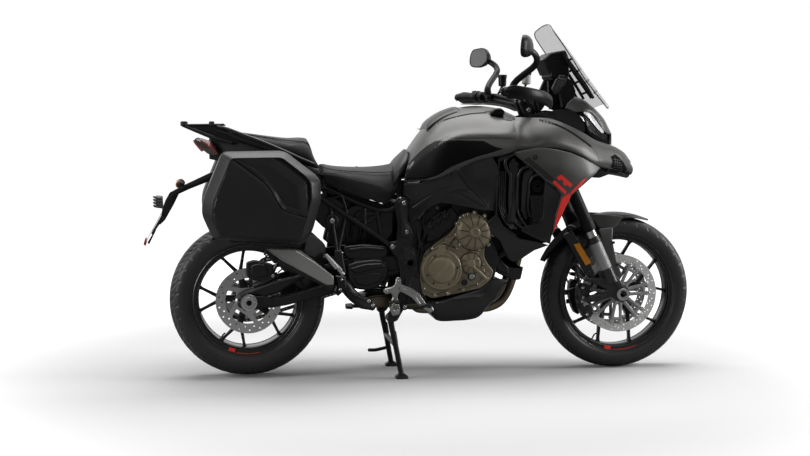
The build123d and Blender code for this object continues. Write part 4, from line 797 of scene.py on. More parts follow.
tyre("front_tyre_treaded", FRONT, radius=325.0, half=60, bead=FRONT_BEAD, bead_half=38, body="front_wheel",
     node_name="front_tyre")
tyre("rear_tyre_treaded", REAR, radius=317.6, half=85, bead=REAR_BEAD, bead_half=66, body="rear_wheel",
     node_name="rear_tyre")
rim("front_wheel_cast", FRONT, bead=FRONT_BEAD, bead_half=38, hub=34, hub_half=58, twist=18, spread=18,
    body="front_wheel", node_name="front_rim", red_at=257)
rim("rear_wheel_cast", REAR, bead=REAR_BEAD, bead_half=66, hub=48, hub_half=75, twist=36, spread=14,
    body="rear_wheel", node_name="rear_rim", red_at=248)


DISC_Y = -68  # the right front disc's middle plane


def front_disc():
    """The pair of drilled front discs with their carriers, buttons and bolts."""
    band, carrier, buttons = shapes(3)
    holes = [disc_of(3.0, 8, ring(137 + 6.5 * (i % 4), i * 5.0 + 4 * (i % 4 == 3),
                                  FRONT)) for i in range(72)]
    perforated(band, disc_of(165, 96, FRONT), [disc_of(131, 96, FRONT)[::-1]] + holes, DISC_Y - 2.5,
               DISC_Y + 2.5)
    for k in range(7):
        at = 360 / 7 * k + 8
        for way in (-1, 1):
            spoke(carrier, FRONT, (38, at + way * 16), (126, at + way * 9), (8.0, 6.0), (4.0, 3.4))
            x, z = ring(129, at + way * 9, FRONT)
            buttons.lathe([(-72.5, 0), (-72.5, 5), (-71, 8), (-64, 8), (-63, 5), (-63, 0)], (x, 0, z),
                          sides=14)
        spoke(carrier, FRONT, (112, at - 10), (112, at + 10), (7.0, 7.0), (3.4, 3.4))
    carrier.verts = [(x, y + DISC_Y, z) for x, y, z in carrier.verts]
    carrier.lathe([(-72, 25), (-72, 36), (-70, 41), (-60, 43), (-58, 41), (-58, 25)],
                  (FRONT[0], 0, FRONT[1]), sides=48)
    for i in range(6):
        x, z = ring(32, 60 * i + 10, FRONT)
        buttons.bolt((x, -72, z), (0, -1, 0), 4.5, 3.5)
    band.mirrored().piece("front_discs_drilled", DISC_STEEL, "front_wheel", "bright_steel",
                          ("front_brake_discs",))
    carrier.mirrored().piece("front_disc_carriers", SATIN_GREY, "front_wheel", "bright_steel", bevel=0.5)
    buttons.mirrored().piece("front_disc_buttons", STEEL, "front_wheel", "bright_steel")


def rear_disc():
    """The drilled rear disc with its windows and bolts."""
    band, bolts = shapes(2)
    holes = [disc_of(3.4, 8, ring(106 + 14 * (i % 2), i * 10.0 + 2, REAR)) for i in range(36)]
    windows = []
    for k in range(5):
        at = 72 * k + 4
        outer = [ring(93, at + 4 + 60 * i / 10, REAR) for i in range(11)]
        inner = [ring(58 - 4 * math.sin(math.pi * i / 6), at - 6 + 46 * i / 6, REAR) for i in range(7)]
        windows.append(rounded(anticlockwise(outer + inner[::-1]), 6))
    perforated(band, disc_of(132.5, 96, REAR), [disc_of(30, 48, REAR)[::-1]] + windows + holes, -101.4,
               -96.6)
    band.lathe([(-99, 24), (-99, 44), (-77, 46), (-77, 24)], (0, 0, REAR[1]), sides=48, ends=False)
    for i in range(5):
        x, z = ring(38, 72 * i + 30, REAR)
        bolts.bolt((x, -101.4, z), (0, -1, 0), 6, 4)
    band.piece("rear_disc_drilled", STEEL, "rear_wheel", "bright_steel", ("rear_brake_disc",))
    bolts.piece("rear_disc_bolts", BLACK_METAL, "rear_wheel", "black_metal")


front_disc()
rear_disc()


# ---------------------------------------------------------------- bodywork
def full_skin(shape, rows):
    """A smooth skin over rows of (x, y, z) points from the middle down one side, and its mirror."""
    grid = sheet(rows, 6)
    for side in (-1, 1):
        shape.loft([[(x, side * max(y, 0.0), z) for x, y, z in row] for row in grid], closed=False,
                   ends=False)


TANK_ROWS = [
    [(655, 0, 914), (655, 60, 910), (655, 104, 896), (649, 134, 878), (640, 156, 856), (628, 166, 815),
     (628, 150, 803)],
    [(700, 0, 980), (699, 60, 974), (697, 108, 956), (694, 150, 922), (698, 182, 890), (704, 204, 824),
     (704, 194, 810)],
    [(736, 0, 1026), (734, 64, 1018), (732, 122, 994), (740, 174, 956), (748, 208, 926), (756, 225, 834),
     (756, 212, 822)],
    [(785, 0, 1074), (783, 72, 1064), (782, 136, 1034), (790, 186, 994), (800, 226, 966), (822, 238, 866),
     (822, 224, 852)],
    [(850, 0, 1104), (848, 76, 1094), (850, 146, 1062), (855, 200, 1020), (866, 240, 984),
     (900, 250, 902), (900, 234, 888)],
    [(945, 0, 1118), (945, 72, 1109), (945, 150, 1072), (945, 206, 1026), (950, 243, 988),
     (964, 253, 918), (964, 238, 904)],
    [(1035, 0, 1111), (1035, 74, 1101), (1030, 148, 1064), (1025, 206, 1022), (1022, 243, 986),
     (1024, 256, 929), (1024, 240, 914)],
    [(1080, 0, 1092), (1082, 74, 1087), (1084, 148, 1064), (1080, 204, 1023), (1075, 239, 986),
     (1072, 252, 942), (1072, 238, 928)],
    [(1116, 0, 1070), (1120, 60, 1070), (1126, 136, 1060), (1126, 194, 1026), (1120, 232, 984),
     (1116, 244, 944), (1116, 232, 932)],
]
NOSE_ROWS = [
    [(1040, 130, 1058), (1040, 170, 1035), (1040, 206, 1006), (1040, 233, 976), (1040, 246, 942),
     (1040, 234, 930)],
    [(1096, 138, 1069), (1096, 184, 1044), (1096, 218, 1014), (1096, 244, 985), (1096, 258, 949),
     (1096, 244, 935)],
    [(1149, 152, 1068), (1146, 191, 1042), (1142, 222, 1010), (1138, 245, 979), (1134, 258, 951),
     (1134, 244, 938)],
    [(1219, 170, 1066), (1210, 206, 1038), (1196, 238, 1000), (1190, 252, 974), (1186, 253, 950),
     (1186, 240, 938)],
    [(1271, 174, 1052), (1264, 204, 1022), (1254, 230, 988), (1246, 242, 964), (1240, 240, 947),
     (1238, 226, 936)],
    [(1325, 166, 1031), (1318, 194, 1000), (1312, 214, 968), (1308, 223, 948), (1304, 222, 933),
     (1302, 208, 924)],
    [(1387, 148, 1003), (1384, 172, 974), (1380, 190, 946), (1374, 200, 926), (1370, 202, 907),
     (1368, 188, 900)],
    [(1447, 118, 974), (1450, 138, 950), (1448, 154, 920), (1444, 164, 896), (1436, 166, 874),
     (1434, 152, 868)],
    [(1530, 68, 951), (1534, 84, 930), (1532, 96, 900), (1526, 102, 876), (1518, 100, 856),
     (1516, 88, 850)],
    [(1570, 46, 935), (1575, 60, 914), (1573, 70, 888), (1567, 74, 866), (1560, 70, 848),
     (1558, 60, 844)],
    [(1604, 24, 914), (1610, 34, 892), (1610, 42, 870), (1606, 45, 854), (1600, 42, 840),
     (1598, 34, 836)],
    [(1632, 4, 878), (1640, 10, 862), (1642, 14, 850), (1640, 15, 840), (1636, 13, 830), (1632, 8, 828)],
]


def tank():
    """The tank with its inserts, gaps, edge trim, top covers and pad."""
    skin, insert, lines, cap, cover = shapes(5)
    full_skin(skin, TANK_ROWS)
    skin.piece("tank_painted", PAINT, "chassis", "graphite_paint", ("fuel_tank",), sharp=60)
    outline = [(628, 812), (640, 862), (660, 893), (690, 925), (724, 955), (757, 975), (826, 977),
               (938, 975), (984, 951), (1024, 942), (964, 924), (924, 911), (862, 892), (804, 867),
               (753, 832), (706, 818)]
    edge_line = [(632, 806), (687, 810), (753, 832), (824, 868), (904, 904), (964, 921), (1025, 936),
                 (1066, 946)]
    for side in (-1, 1):
        draped(insert, skin, outline, lift=0.9, spacing=8, side=side, corner=10, edge=4)
        seam(lines, skin, [(733, 1020), (762, 1042), (822, 1064), (889, 1080), (936, 1086), (976, 1088)],
             4.5, side=side)
        seam(lines, skin, [(799, 986), (885, 984), (997, 986), (1060, 982)], 1.6, side=side)
        seam(cap, skin, edge_line, 5.0, lift=1.0, side=side)
        draped(cover, skin, [(968, 1096), (1020, 1098), (1052, 1092), (1080, 1078), (1096, 1060),
                             (1064, 1052), (1023, 1062), (983, 1080)],
               lift=2.2, spacing=6, side=side, corner=8, edge=3)
    cover.piece("tank_top_covers", INSERT_GLOSS, "chassis", "black_plastic", sharp=50)
    tank_top_pad()
    insert.piece("tank_side_inserts", INSERT_PLASTIC, "chassis", "black_plastic", sharp=50)
    lines.piece("tank_panel_gaps", DARK, "chassis", "black_plastic", sharp=0)
    cap.piece("tank_edge_trim", TRIM_GREY, "chassis", "cast_alloy", sharp=50)


def tank_top_pad():
    """The raised pad on top of the tank."""
    raised = Shape()
    deck = []
    for x, z, half in ((733, 1026, 84), (738, 1046, 92), (761, 1068, 97), (802, 1093, 99),
                       (846, 1110, 99), (868, 1113, 96), (876, 1108, 92)):
        deck.append([(x - 2, half, z - 29), (x - 1, half - 3, z - 20), (x, half * 0.72, z - 7),
                     (x, half * 0.4, z - 1), (x, 0, z + 1)])
    raised.loft(sheet([both_ways(row) for row in deck]), closed=False, ends=False)
    raised.piece("tank_top_pad", PAINT_DIM, "chassis", "black_plastic", sharp=50)


def fuel_cap():
    """The filler cap with its ring of screws."""
    filler = Shape()
    filler.lathe([(0, 50), (1.5, 52), (2.5, 50), (2.5, 34), (3.5, 33), (4, 30), (4, 12), (3, 11), (3, 0)],
                 (945, 0, 1124.5), (0.0, 0, 1), 48)
    for i in range(8):
        x, y = ring(42, 45 * i + 20, (945, 0))
        filler.bolt((x, y, 1126.5), (0, 0, 1), 4, 2)
    filler.piece("fuel_cap", BLACK_ALLOY, "chassis", "black_alloy")


def tank_rear_pad():
    """The pad between the tank and the rider's seat."""
    pad = Shape()
    rows = []
    for x, half, z in ((586, 122, 842), (600, 132, 868), (620, 133, 894), (642, 116, 916), (656, 88, 930)):
        rows.append([(x, -half - 14, z - 52), (x + 2, -half, z - 20), (x, -half * 0.6, z + 3),
                     (x, 0, z + 8), (x, half * 0.6, z + 3), (x + 2, half, z - 20),
                     (x, half + 14, z - 52)])
    pad.loft(sheet(rows, 4, 4), closed=False, ends=False)
    pad.piece("tank_rear_pad", PLASTIC, "chassis", "black_plastic", solid=5, sharp=50)


def nose():
    """The pointed front body with its vents and panel gaps."""
    skin, lines = shapes(2)
    full_skin(skin, NOSE_ROWS)
    top = []
    for row, lift in zip(NOSE_ROWS[7:], (2, 4, 3, 2, 1)):
        x, y, z = row[0]
        top.append([(x, -y, z), (x + 4, -y * 0.5, z + lift * 0.8), (x + 6, 0, z + lift),
                    (x + 4, y * 0.5, z + lift * 0.8), (x, y, z)])
    skin.loft(sheet(top, 5, 3), closed=False, ends=False)
    skin.piece("nose_painted", PAINT, "chassis", "graphite_paint", ("nose_fairing",), sharp=60)
    # near-black patches on the skin: painted shade in the vent openings between the slats, and the black
    # strip along the nose's lower edge
    vents, slats = shapes(2)
    for side in (-1, 1):
        draped(vents, skin, [(1512, 906), (1538, 916), (1558, 904), (1588, 876), (1606, 850), (1600, 840),
                             (1566, 844), (1512, 862), (1522, 886)],
               lift=0.6, spacing=6, side=side, corner=3)
        draped(vents, skin, [(1466, 856), (1524, 860), (1585, 851), (1628, 838), (1634, 826), (1560, 834),
                             (1500, 838), (1436, 858)],
               lift=0.5, spacing=6, side=side, corner=2)
        for k in range(4):
            x, z = 1534 + 12 * k, 902 - 9 * k
            draped(slats, skin, [(x, z), (x + 3, z - 1), (x + 7, z - 30), (x + 4, z - 30)], lift=1.6,
                   spacing=5, side=side)
        for k in range(4):
            z = 896 - 11 * k
            draped(slats, skin, [(1528, z), (1528, z - 2.5), (1566 + 4 * k, z - 7.5),
                                 (1566 + 4 * k, z - 5)], lift=2.0, spacing=5, side=side)
        seam(lines, skin, [(1186, 1058), (1260, 1036), (1325, 1004), (1372, 974), (1410, 948)], 9.0,
             side=side)
        seam(lines, skin, [(1410, 948), (1438, 918), (1448, 880)], 1.6, side=side)
    vents.piece("nose_vents", DARK, "chassis", "black_plastic", sharp=0)
    slats.piece("nose_vent_slats", PLASTIC, "chassis", "black_plastic", sharp=0)
    lines.piece("nose_panel_gaps", DARK, "chassis", "black_plastic", sharp=0)


def nose_underside():
    """The plastic below the nose."""
    under = Shape()
    for side in (-1, 1):
        rows = []
        for row in NOSE_ROWS[6:]:
            x, y, z = row[5]
            rows.append([(x, side * (y + 1), z + 6), (x - 4, side * (y - 4), z - 9),
                         (x - 14, side * y * 0.55, z - 16), (x - 16, 0, z - 12)])
        under.loft(rows, closed=False, ends=False)
    under.piece("nose_underside", SMOOTH_PLASTIC, "chassis", "black_plastic", sharp=40)


def nose_insides():
    """The inner panels beside the dashboard and the keel below the lamps."""
    inner = Shape()
    height = surface([(1149, 1074, 146), (1192, 1087, 150), (1247, 1093, 146), (1312, 1102, 128),
                      (1380, 1088, 118), (1417, 1014, 118), (1325, 1030, 158), (1271, 1052, 168),
                      (1219, 1064, 166), (1240, 1075, 152)])
    keel = surface([(1422, 823, 96), (1465, 862, 120), (1511, 830, 84), (1590, 822, 44), (1575, 838, 52),
                    (1451, 818, 84), (1380, 850, 130)])
    hull = Shape()
    for side in (-1, 1):
        relief(inner, [(1149, 1073), (1192, 1087), (1243, 1095), (1290, 1103), (1330, 1098), (1376, 1076),
                       (1390, 1056), (1396, 1014), (1387, 1005), (1325, 1030), (1271, 1052),
                       (1219, 1066)], height, 9, 2, 8, 6, side)
        relief(hull, [(1480, 858), (1440, 872), (1392, 856), (1422, 823), (1451, 817), (1474, 816),
                      (1494, 823), (1511, 830), (1547, 826), (1600, 822), (1590, 836), (1518, 852)], keel,
               8, 3, 26, 3, side)
    inner.piece("nose_inner_panels", DARK, "chassis", "black_plastic", sharp=45)
    hull.piece("nose_keel", SMOOTH_PLASTIC, "chassis", "black_plastic", sharp=45)


WING_STRIPES = (
    ([(1264, 742), (1296, 762), (1303, 748), (1282, 706), (1258, 654), (1233, 598), (1244, 672)], 7),
    ([(1300, 764), (1352, 812), (1376, 826), (1352, 795), (1318, 766), (1306, 753)], 7),
    ([(1220, 806), (1229, 815), (1284, 767), (1276, 757)], 6),
    ([(1237, 825), (1256, 838), (1308, 796), (1297, 784), (1256, 818), (1248, 812)], 6),
)


def wings():
    """The painted side wings with their red stripes."""
    outline = [(1062, 927), (1105, 940), (1150, 946), (1189, 946), (1243, 938), (1303, 925), (1362, 903),
               (1421, 875), (1446, 861), (1417, 835), (1378, 807), (1342, 780), (1307, 751), (1287, 711),
               (1262, 658), (1230, 590), (1240, 672), (1262, 754), (1238, 783), (1190, 815), (1127, 872),
               (1078, 909)]
    height = surface([(1062, 927, 254), (1150, 946, 258), (1243, 938, 248), (1303, 925, 236),
                      (1362, 903, 222), (1421, 875, 198), (1446, 861, 184), (1378, 807, 226),
                      (1307, 751, 244), (1262, 658, 244), (1230, 590, 236), (1190, 815, 262),
                      (1127, 872, 262), (1250, 860, 266), (1320, 830, 250), (1262, 754, 252),
                      (1390, 850, 222)])
    skin, red, bolt, dim = shapes(4)
    for side in (-1, 1):
        relief(skin, outline, height, 9, 3.5, 9, 0, side)
    skin.piece("wings_painted", PAINT, "chassis", "graphite_paint", ("wing_panels",), sharp=50)
    for side in (-1, 1):
        for stripe, spacing in WING_STRIPES:
            draped(red, skin, stripe, 0.6, spacing, 0, side)
        draped(red, skin, [(1264, 801), (1271, 807), (1282, 797), (1275, 791)], 0.7, 6, 0, side)
        draped(dim, skin, [(1096, 892), (1120, 908), (1190, 852), (1232, 818), (1222, 806), (1180, 826),
                           (1130, 864)], 0.3, 7, 0, side)
        bolt.lathe([(-2, 12), (1.5, 12), (2.5, 11), (2.5, 9.5), (1.5, 9), (1.5, 6), (-1, 5), (-1, 0)],
                   (1148, side * out_at(height, 1148, 909), 909), (0, side, 0), 24)
    red.piece("wing_red_stripes", RED, "chassis", "red_lamp", sharp=0)
    dim.piece("wing_dark_bands", PAINT_DIM, "chassis", "graphite_paint", sharp=0)
    bolt.piece("wing_screws", SMOOTH_PLASTIC, "chassis", "black_plastic")


def knee_panels():
    """The moulded panels below the tank."""
    outline = [(628, 800), (687, 803), (753, 822), (824, 858), (904, 894), (973, 913), (997, 878),
               (1010, 815), (1010, 754), (998, 687), (961, 691), (944, 691), (891, 704), (830, 716),
               (773, 725), (729, 705), (690, 668), (656, 640), (645, 674), (651, 734), (628, 754)]
    base = [(628, 800, 164), (687, 803, 203), (753, 822, 222), (824, 858, 234), (904, 894, 244),
            (973, 913, 248), (1010, 815, 226), (1005, 720, 206), (944, 691, 212), (830, 716, 208),
            (773, 725, 204), (690, 668, 184), (650, 640, 172), (628, 754, 162), (845, 820, 236),
            (880, 776, 230), (930, 728, 222), (740, 760, 206), (700, 735, 190), (800, 790, 218),
            (930, 820, 226), (960, 860, 234), (860, 745, 214)]
    height = surface(base)

    def creased(x, z):
        """The panels' surface with a raised slanting ridge."""
        ridge = np.interp(x, [824, 845, 880, 956], [865, 824, 776, 706])
        off = np.abs(z - ridge) * 0.55
        return height(x, z) + np.clip(5 - off * 0.35, 0, 5) * ((x > 815) & (x < 965))

    skin, lines, bolts, highlight_facets = shapes(4)
    for side in (-1, 1):
        relief(skin, outline, creased, 8, 3, 10, 4, side)
    skin.piece("knee_panels_moulded", SMOOTH_PLASTIC, "chassis", "black_plastic", ("knee_panels",),
               sharp=45)
    for side in (-1, 1):
        seam(lines, skin, [(834, 858), (847, 834), (881, 784), (892, 776), (958, 712)], 3.4, side=side)
        # raised facets in lighter paint on the black panels: painted highlights where the facets catch the
        # light
        draped(highlight_facets, skin, [(824, 767), (874, 772), (890, 775), (956, 714), (946, 704), (864, 751)],
               5.0, 6, 0, side, 4)
        draped(highlight_facets, skin, [(652, 700), (708, 742), (790, 792), (742, 752), (704, 716), (672, 690)],
               5.0, 6, 0, side, 4)
        seam(lines, skin, [(652, 706), (700, 742), (752, 770), (804, 789)], 1.6, side=side)
        seam(lines, skin, [(806, 764), (850, 776), (880, 772)], 1.8, side=side)
        bolts.bolt((806, side * (out_at(height, 806, 838) - 1), 838), (0, side, 0), 6.5, 3)
    highlight_facets.piece("knee_panel_highlight_facets", PAINT_DIM, "chassis", "black_plastic", sharp=30)
    lines.piece("knee_panel_gaps", DARK, "chassis", "black_plastic", sharp=0)
    bolts.piece("knee_panel_screws", BLACK_METAL, "chassis", "black_metal")


DUCT_FRAMES = (
    [(1066, 922), (1040, 906), (1031, 885), (1036, 862), (1050, 843), (1055, 817), (1055, 752),
     (1058, 695), (1069, 665), (1089, 634), (1116, 616)],
    [(1128, 872), (1101, 862), (1087, 838), (1084, 816), (1085, 751), (1088, 695), (1103, 658),
     (1126, 628)],
    [(1172, 838), (1149, 832), (1136, 813), (1132, 790), (1133, 700), (1144, 662)],
)


def side_ducts():
    """The shrouds beside the radiators, with their slots, and the lower air guides."""
    face, dark, frame_bars, mesh, low, seams = shapes(6)
    height = surface([(1008, 904, 238), (1055, 917, 246), (1129, 864, 252), (1192, 811, 250),
                      (1257, 758, 244), (1242, 672, 236), (1223, 560, 222), (1140, 545, 212),
                      (1077, 566, 210), (1027, 624, 212), (1002, 673, 214), (1008, 775, 226),
                      (1100, 700, 214), (1150, 700, 218)])
    for side in (-1, 1):
        # a near-black sheet set deep behind the slots: painted shade inside the ducts
        relief(dark, [(1006, 900), (1055, 915), (1129, 864), (1192, 811), (1250, 762), (1238, 672),
                      (1221, 556), (1140, 545), (1077, 568), (1027, 626), (1002, 673), (1005, 775)],
               lambda x, z: height(x, z) - 26, 12, 0, 40, 0, side)
        relief(face, [(1194, 814), (1262, 760), (1262, 740), (1246, 672), (1224, 552), (1196, 562),
                      (1150, 582), (1104, 606), (1120, 626), (1176, 640), (1192, 664), (1192, 740)],
               height, 8, 3, 22, 3, side)
        relief(face, [(1000, 904), (1044, 916), (1052, 908), (1010, 890), (1004, 800), (1004, 672),
                      (1030, 628), (1084, 592), (1076, 566), (1022, 618), (996, 668), (998, 775)], height,
               7, 3, 22, 2, side)
        for path, r in zip(DUCT_FRAMES, (7, 6, 5)):
            line = [(x, side * (out_at(height, x, z) - 6), z) for x, z in path]
            frame_bars.tube(line, r, 12, 6)
        for x in (1010, 1018, 1026, 1034):
            line = [(x + dx, side * (out_at(height, x + dx, z) - 5), z) for dx, z in ((0, 850), (0, 760),
                    (4, 700), (22, 652), (54, 614))]
            frame_bars.tube(line, 2.4, 8, 5)
        relief(frame_bars, [(1062, 905), (1072, 900), (1088, 860), (1074, 812), (1074, 700), (1086, 664),
                            (1112, 636), (1100, 626), (1066, 662), (1058, 700), (1058, 812), (1052, 850),
                            (1044, 878)], lambda x, z: height(x, z) - 10, 7, 2, 14, 2, side)
        relief(frame_bars, [(1136, 862), (1150, 846), (1136, 806), (1128, 700), (1136, 660), (1124, 650),
                            (1106, 690), (1104, 800), (1108, 846)],
               lambda x, z: height(x, z) - 15, 7, 2, 14, 2, side)
        middle = out_at(height, 1169, 796)
        for r in (24, 17, 10):
            mesh.lathe([(0, r), (3, r - 1), (3, r - 3), (0, r - 4)], (1169, side * (middle - 18), 790),
                       (0, side, 0), 32)
        for k in range(11):
            x0 = 1140 + 5 * k
            mesh.tube([(x0, side * (middle - 20), 752), (x0 + 14 - k, side * (middle - 24), 640)], 1.3, 6,
                      1)
        for k in range(10):
            z0 = 750 - 12 * k
            mesh.tube([(1138, side * (middle - 20), z0), (1166, side * (middle - 20), z0 - 8),
                       (1194, side * (middle - 20), z0)], 1.3, 6, 2)
        seam(seams, face, [(1195, 812), (1193, 760), (1192, 695)], 2.0, side=side)
        lower = surface([(994, 673, 214), (1036, 619, 216), (1098, 578, 216), (1183, 560, 212),
                         (1222, 547, 208), (1166, 526, 196), (1127, 497, 184), (1075, 476, 176),
                         (1018, 570, 200), (976, 603, 202), (968, 644, 206), (1090, 540, 204)])
        relief(low, [(996, 672), (1036, 617), (1098, 576), (1183, 558), (1224, 546), (1166, 524),
                     (1127, 497), (1112, 484), (1080, 474), (1056, 492), (1018, 566), (976, 601),
                     (966, 644)], lower, 8, 4, 14, 5, side)
    dark.piece("duct_inside_shade", DARK, "chassis", "black_plastic", sharp=0)
    face.piece("duct_faces", SMOOTH_PLASTIC, "chassis", "black_plastic", ("side_fairings",), sharp=45)
    frame_bars.piece("duct_bars", SMOOTH_PLASTIC, "chassis", "black_plastic", ("radiator_shrouds",),
                     sharp=45)
    mesh.piece("duct_mesh", BLACK_METAL, "chassis", "black_metal")
    seams.piece("duct_panel_gaps", DARK, "chassis", "black_plastic", sharp=0)
    low.piece("lower_air_guides", SMOOTH_PLASTIC, "chassis", "black_plastic", sharp=45)


tank()
fuel_cap()
tank_rear_pad()
nose()
nose_underside()
nose_insides()
wings()
knee_panels()
side_ducts()


# ---------------------------------------------------------------- cowl, headlight and screen
def cowl():
    """The painted cowl round the headlight."""
    skin = Shape()
    rows = [[(1312, 121, 1107), (1326, 114, 1132), (1350, 98, 1152), (1364, 52, 1159), (1368, 0, 1161)],
            [(1352, 124, 1092), (1372, 114, 1120), (1394, 92, 1140), (1408, 48, 1146), (1412, 0, 1147)],
            [(1392, 119, 1095), (1412, 107, 1108), (1428, 86, 1118), (1442, 44, 1122), (1446, 0, 1123)],
            [(1421, 104, 1086), (1440, 95, 1091), (1456, 74, 1096), (1472, 40, 1098), (1477, 0, 1098)],
            [(1460, 80, 1055), (1476, 72, 1060), (1492, 56, 1062), (1507, 30, 1062), (1512, 0, 1062)],
            [(1502, 54, 1011), (1511, 47, 1019), (1520, 35, 1022), (1531, 18, 1023), (1536, 0, 1023)],
            [(1534, 28, 996), (1539, 24, 999), (1544, 16, 1000), (1547, 9, 1000), (1548, 0, 1000)]]
    skin.loft(sheet([both_ways(row) for row in rows]), closed=False, ends=False)
    skin.piece("front_cowl", PAINT, "chassis", "graphite_paint", solid=3, sharp=60)


def lamp_units():
    """Both headlight units, each with a bowl, light bars, a lens and two reflectors."""
    lens, white, dark, glow, grey = shapes(5)
    shape = surface([(1380, 1088, 122), (1421, 1088, 103), (1458, 1056, 80), (1499, 1012, 54),
                     (1530, 996, 30), (1522, 966, 44), (1456, 990, 98), (1417, 1020, 116),
                     (1388, 1060, 126), (1450, 1026, 92)])
    for side in (-1, 1):
        relief(dark, [(1376, 1088), (1421, 1090), (1458, 1057), (1499, 1013), (1530, 998), (1528, 958),
                      (1492, 962), (1447, 982), (1412, 1004), (1390, 1040)], lambda x, z: shape(x, z) - 7,
               9, 1, 10, 3, side)
        relief(white, [(1390, 1098), (1414, 1096), (1436, 1077), (1466, 1046), (1497, 1014), (1497, 1004),
                       (1481, 1005), (1437, 1045), (1411, 1071), (1392, 1085)], lambda x,
               z: shape(x, z) + 1.0, 5, 2, 6, 2, side)
        relief(white, [(1371, 1076), (1382, 1073), (1394, 1053), (1388, 1052)], lambda x,
               z: shape(x, z) + 1.0, 5, 1, 4, 1, side)
        relief(grey, [(1400, 1058), (1410, 1052), (1420, 1040), (1412, 1030), (1404, 1040)],
               lambda x, z: shape(x, z) + 1.0, 6, 1, 4, 2, side)
        relief(lens, [(1384, 1083), (1410, 1068), (1437, 1043), (1480, 1002), (1516, 1000), (1514, 972),
                      (1492, 974), (1454, 994), (1416, 1012), (1404, 1030), (1392, 1060)], shape, 7, 2, 3,
               3, side)
        for x, z in ((1438, 1020), (1470, 998)):
            y = out_at(shape, x, z)
            glow.lathe([(0, 12), (2, 12), (2, 9), (-2, 6), (-2, 0)], (x, side * (y - 12), z),
                       (0.25, side, 0.1), 20)
    dark.piece("headlight_bowls", DARK, "chassis", "black_plastic", ("headlight",), sharp=40)
    grey.piece("headlight_side_units", PAINT_DIM, "chassis", "cast_alloy", sharp=40)
    white.piece("running_light_bars", DRL, "chassis", "lamp", sharp=40)
    lens.piece("headlight_lenses", LENS, "chassis", "lamp", sharp=40)
    glow.piece("headlight_reflectors", INSERT_GLOSS, "chassis", "bright_steel")


def chin_panel():
    """The panel below the lamps."""
    chin = Shape()
    rows = [[(1536, 34, 1000), (1547, 0, 999)], [(1536, 42, 975), (1547, 0, 976)],
            [(1530, 56, 952), (1546, 0, 955)]]
    chin.loft(sheet([both_ways(row) for row in rows]), closed=False, ends=False)
    chin.piece("headlight_chin", SMOOTH_PLASTIC, "chassis", "black_plastic", sharp=50)


def screen_x(z):
    """Where the screen's middle line stands at height z."""
    return float(np.interp(z, (1128, 1195, 1360, 1460), (1520, 1468, 1343, 1254)))


def screen():
    """The tinted screen, its edge and its holder."""
    rows = []
    for t, half in ((0.0, 130), (0.02, 144), (0.2, 152), (0.4, 158), (0.6, 162), (0.8, 164), (0.94, 160),
                    (0.985, 150), (1.0, 134)):
        z = 1128 + 330 * t
        x = screen_x(z)
        bend = 1 / 620 * (1 - max(0.0, t - 0.4) * 1.1)
        row = []
        for k in range(7):
            y = half * (1 - k / 6)
            row.append((x - y * y * bend, y, z - y * y / 900))
        rows.append(both_ways(row))
    pane = Shape().loft(sheet(rows, 4, 2), closed=False, ends=False)
    pane.piece("screen_pane", SCREEN, "chassis", "clear_screen", ("windscreen",), solid=3.5, sharp=50)
    rim_line = [row[0] for row in rows] + rows[-1][1:] + [row[-1] for row in rows[-2::-1]]
    edge = Shape().tube(rim_line, 2.2, 6, 3)
    edge.piece("screen_edge", SMOOTH_PLASTIC, "chassis", "clear_screen")
    holder = Shape()
    for way in (-1, 1):
        holder.tube([(1306, way * 78, 1340), (1346, way * 90, 1272), (1392, way * 102, 1204),
                     (1428, way * 108, 1150)], [8, 8, 9, 7], 10)
        holder.tube([(1316, way * 62, 1340), (1364, way * 66, 1272), (1412, way * 70, 1204),
                     (1446, way * 72, 1150)], [6, 7, 7, 6], 10)
        for z in (1318, 1272, 1226, 1180):
            x = screen_x(z)
            holder.rod((x - 36, way * 96, z - 8), (x - 20, way * 66, z), 5, sides=12)
    holder.rod((1314, -86, 1338), (1314, 86, 1338), 7)
    holder.piece("screen_holder", COCKPIT_BLACK, "chassis", "black_plastic")


def dashboard():
    """The dashboard and the walls beside it."""
    case, face, wall, gauge = shapes(4)
    case.prism([(1230, 1312), (1258, 1338), (1276, 1342), (1322, 1350), (1334, 1326), (1338, 1282),
                (1340, 1240), (1318, 1228), (1270, 1226), (1260, 1236), (1258, 1254), (1250, 1272)], -78,
               78, 5, 7)
    for k in range(6):
        case.prism([(1262 + 5 * k, 1330 - 15 * k), (1266 + 5 * k, 1334 - 15 * k),
                    (1318 + 3 * k, 1338 - 16 * k), (1316 + 3 * k, 1334 - 16 * k)],
                   -81, 81, 0.6)
    case.piece("dash_case", COCKPIT_BLACK, "chassis", "black_plastic", ("dashboard",), bevel=1.0)
    face.prism([(1224, 1308), (1230, 1314), (1258, 1252), (1252, 1248)], -74, 74, 1)
    face.piece("dash_screen", SMOOTH_PLASTIC, "chassis", "black_plastic")
    for way in (-1, 1):
        wall.prism([(1286, 1246), (1318, 1244), (1346, 1216), (1362, 1178), (1352, 1146), (1322, 1112),
                    (1300, 1104), (1296, 1140), (1290, 1176)], way * 84, way * 104, 5, 8)
        gauge.prism([(1256, 1188), (1276, 1232), (1308, 1234), (1322, 1222), (1290, 1176), (1270, 1162)],
                    way * 96, way * 110, 3, 5)
        for k in range(5):
            gauge.prism([(1268 + 9 * k, 1180 + 5 * k), (1272 + 9 * k, 1178 + 5 * k),
                         (1288 + 8 * k, 1222 + 2 * k), (1284 + 8 * k, 1224 + 2 * k)],
                        way * 108, way * 113, 0.6)
    gauge.piece("cockpit_side_blocks", CAST_DARK, "chassis", "black_alloy", bevel=0.6)
    wall.piece("cockpit_walls", COCKPIT_BLACK, "chassis", "black_plastic", bevel=1.0)


cowl()
lamp_units()
chin_panel()
screen()
dashboard()


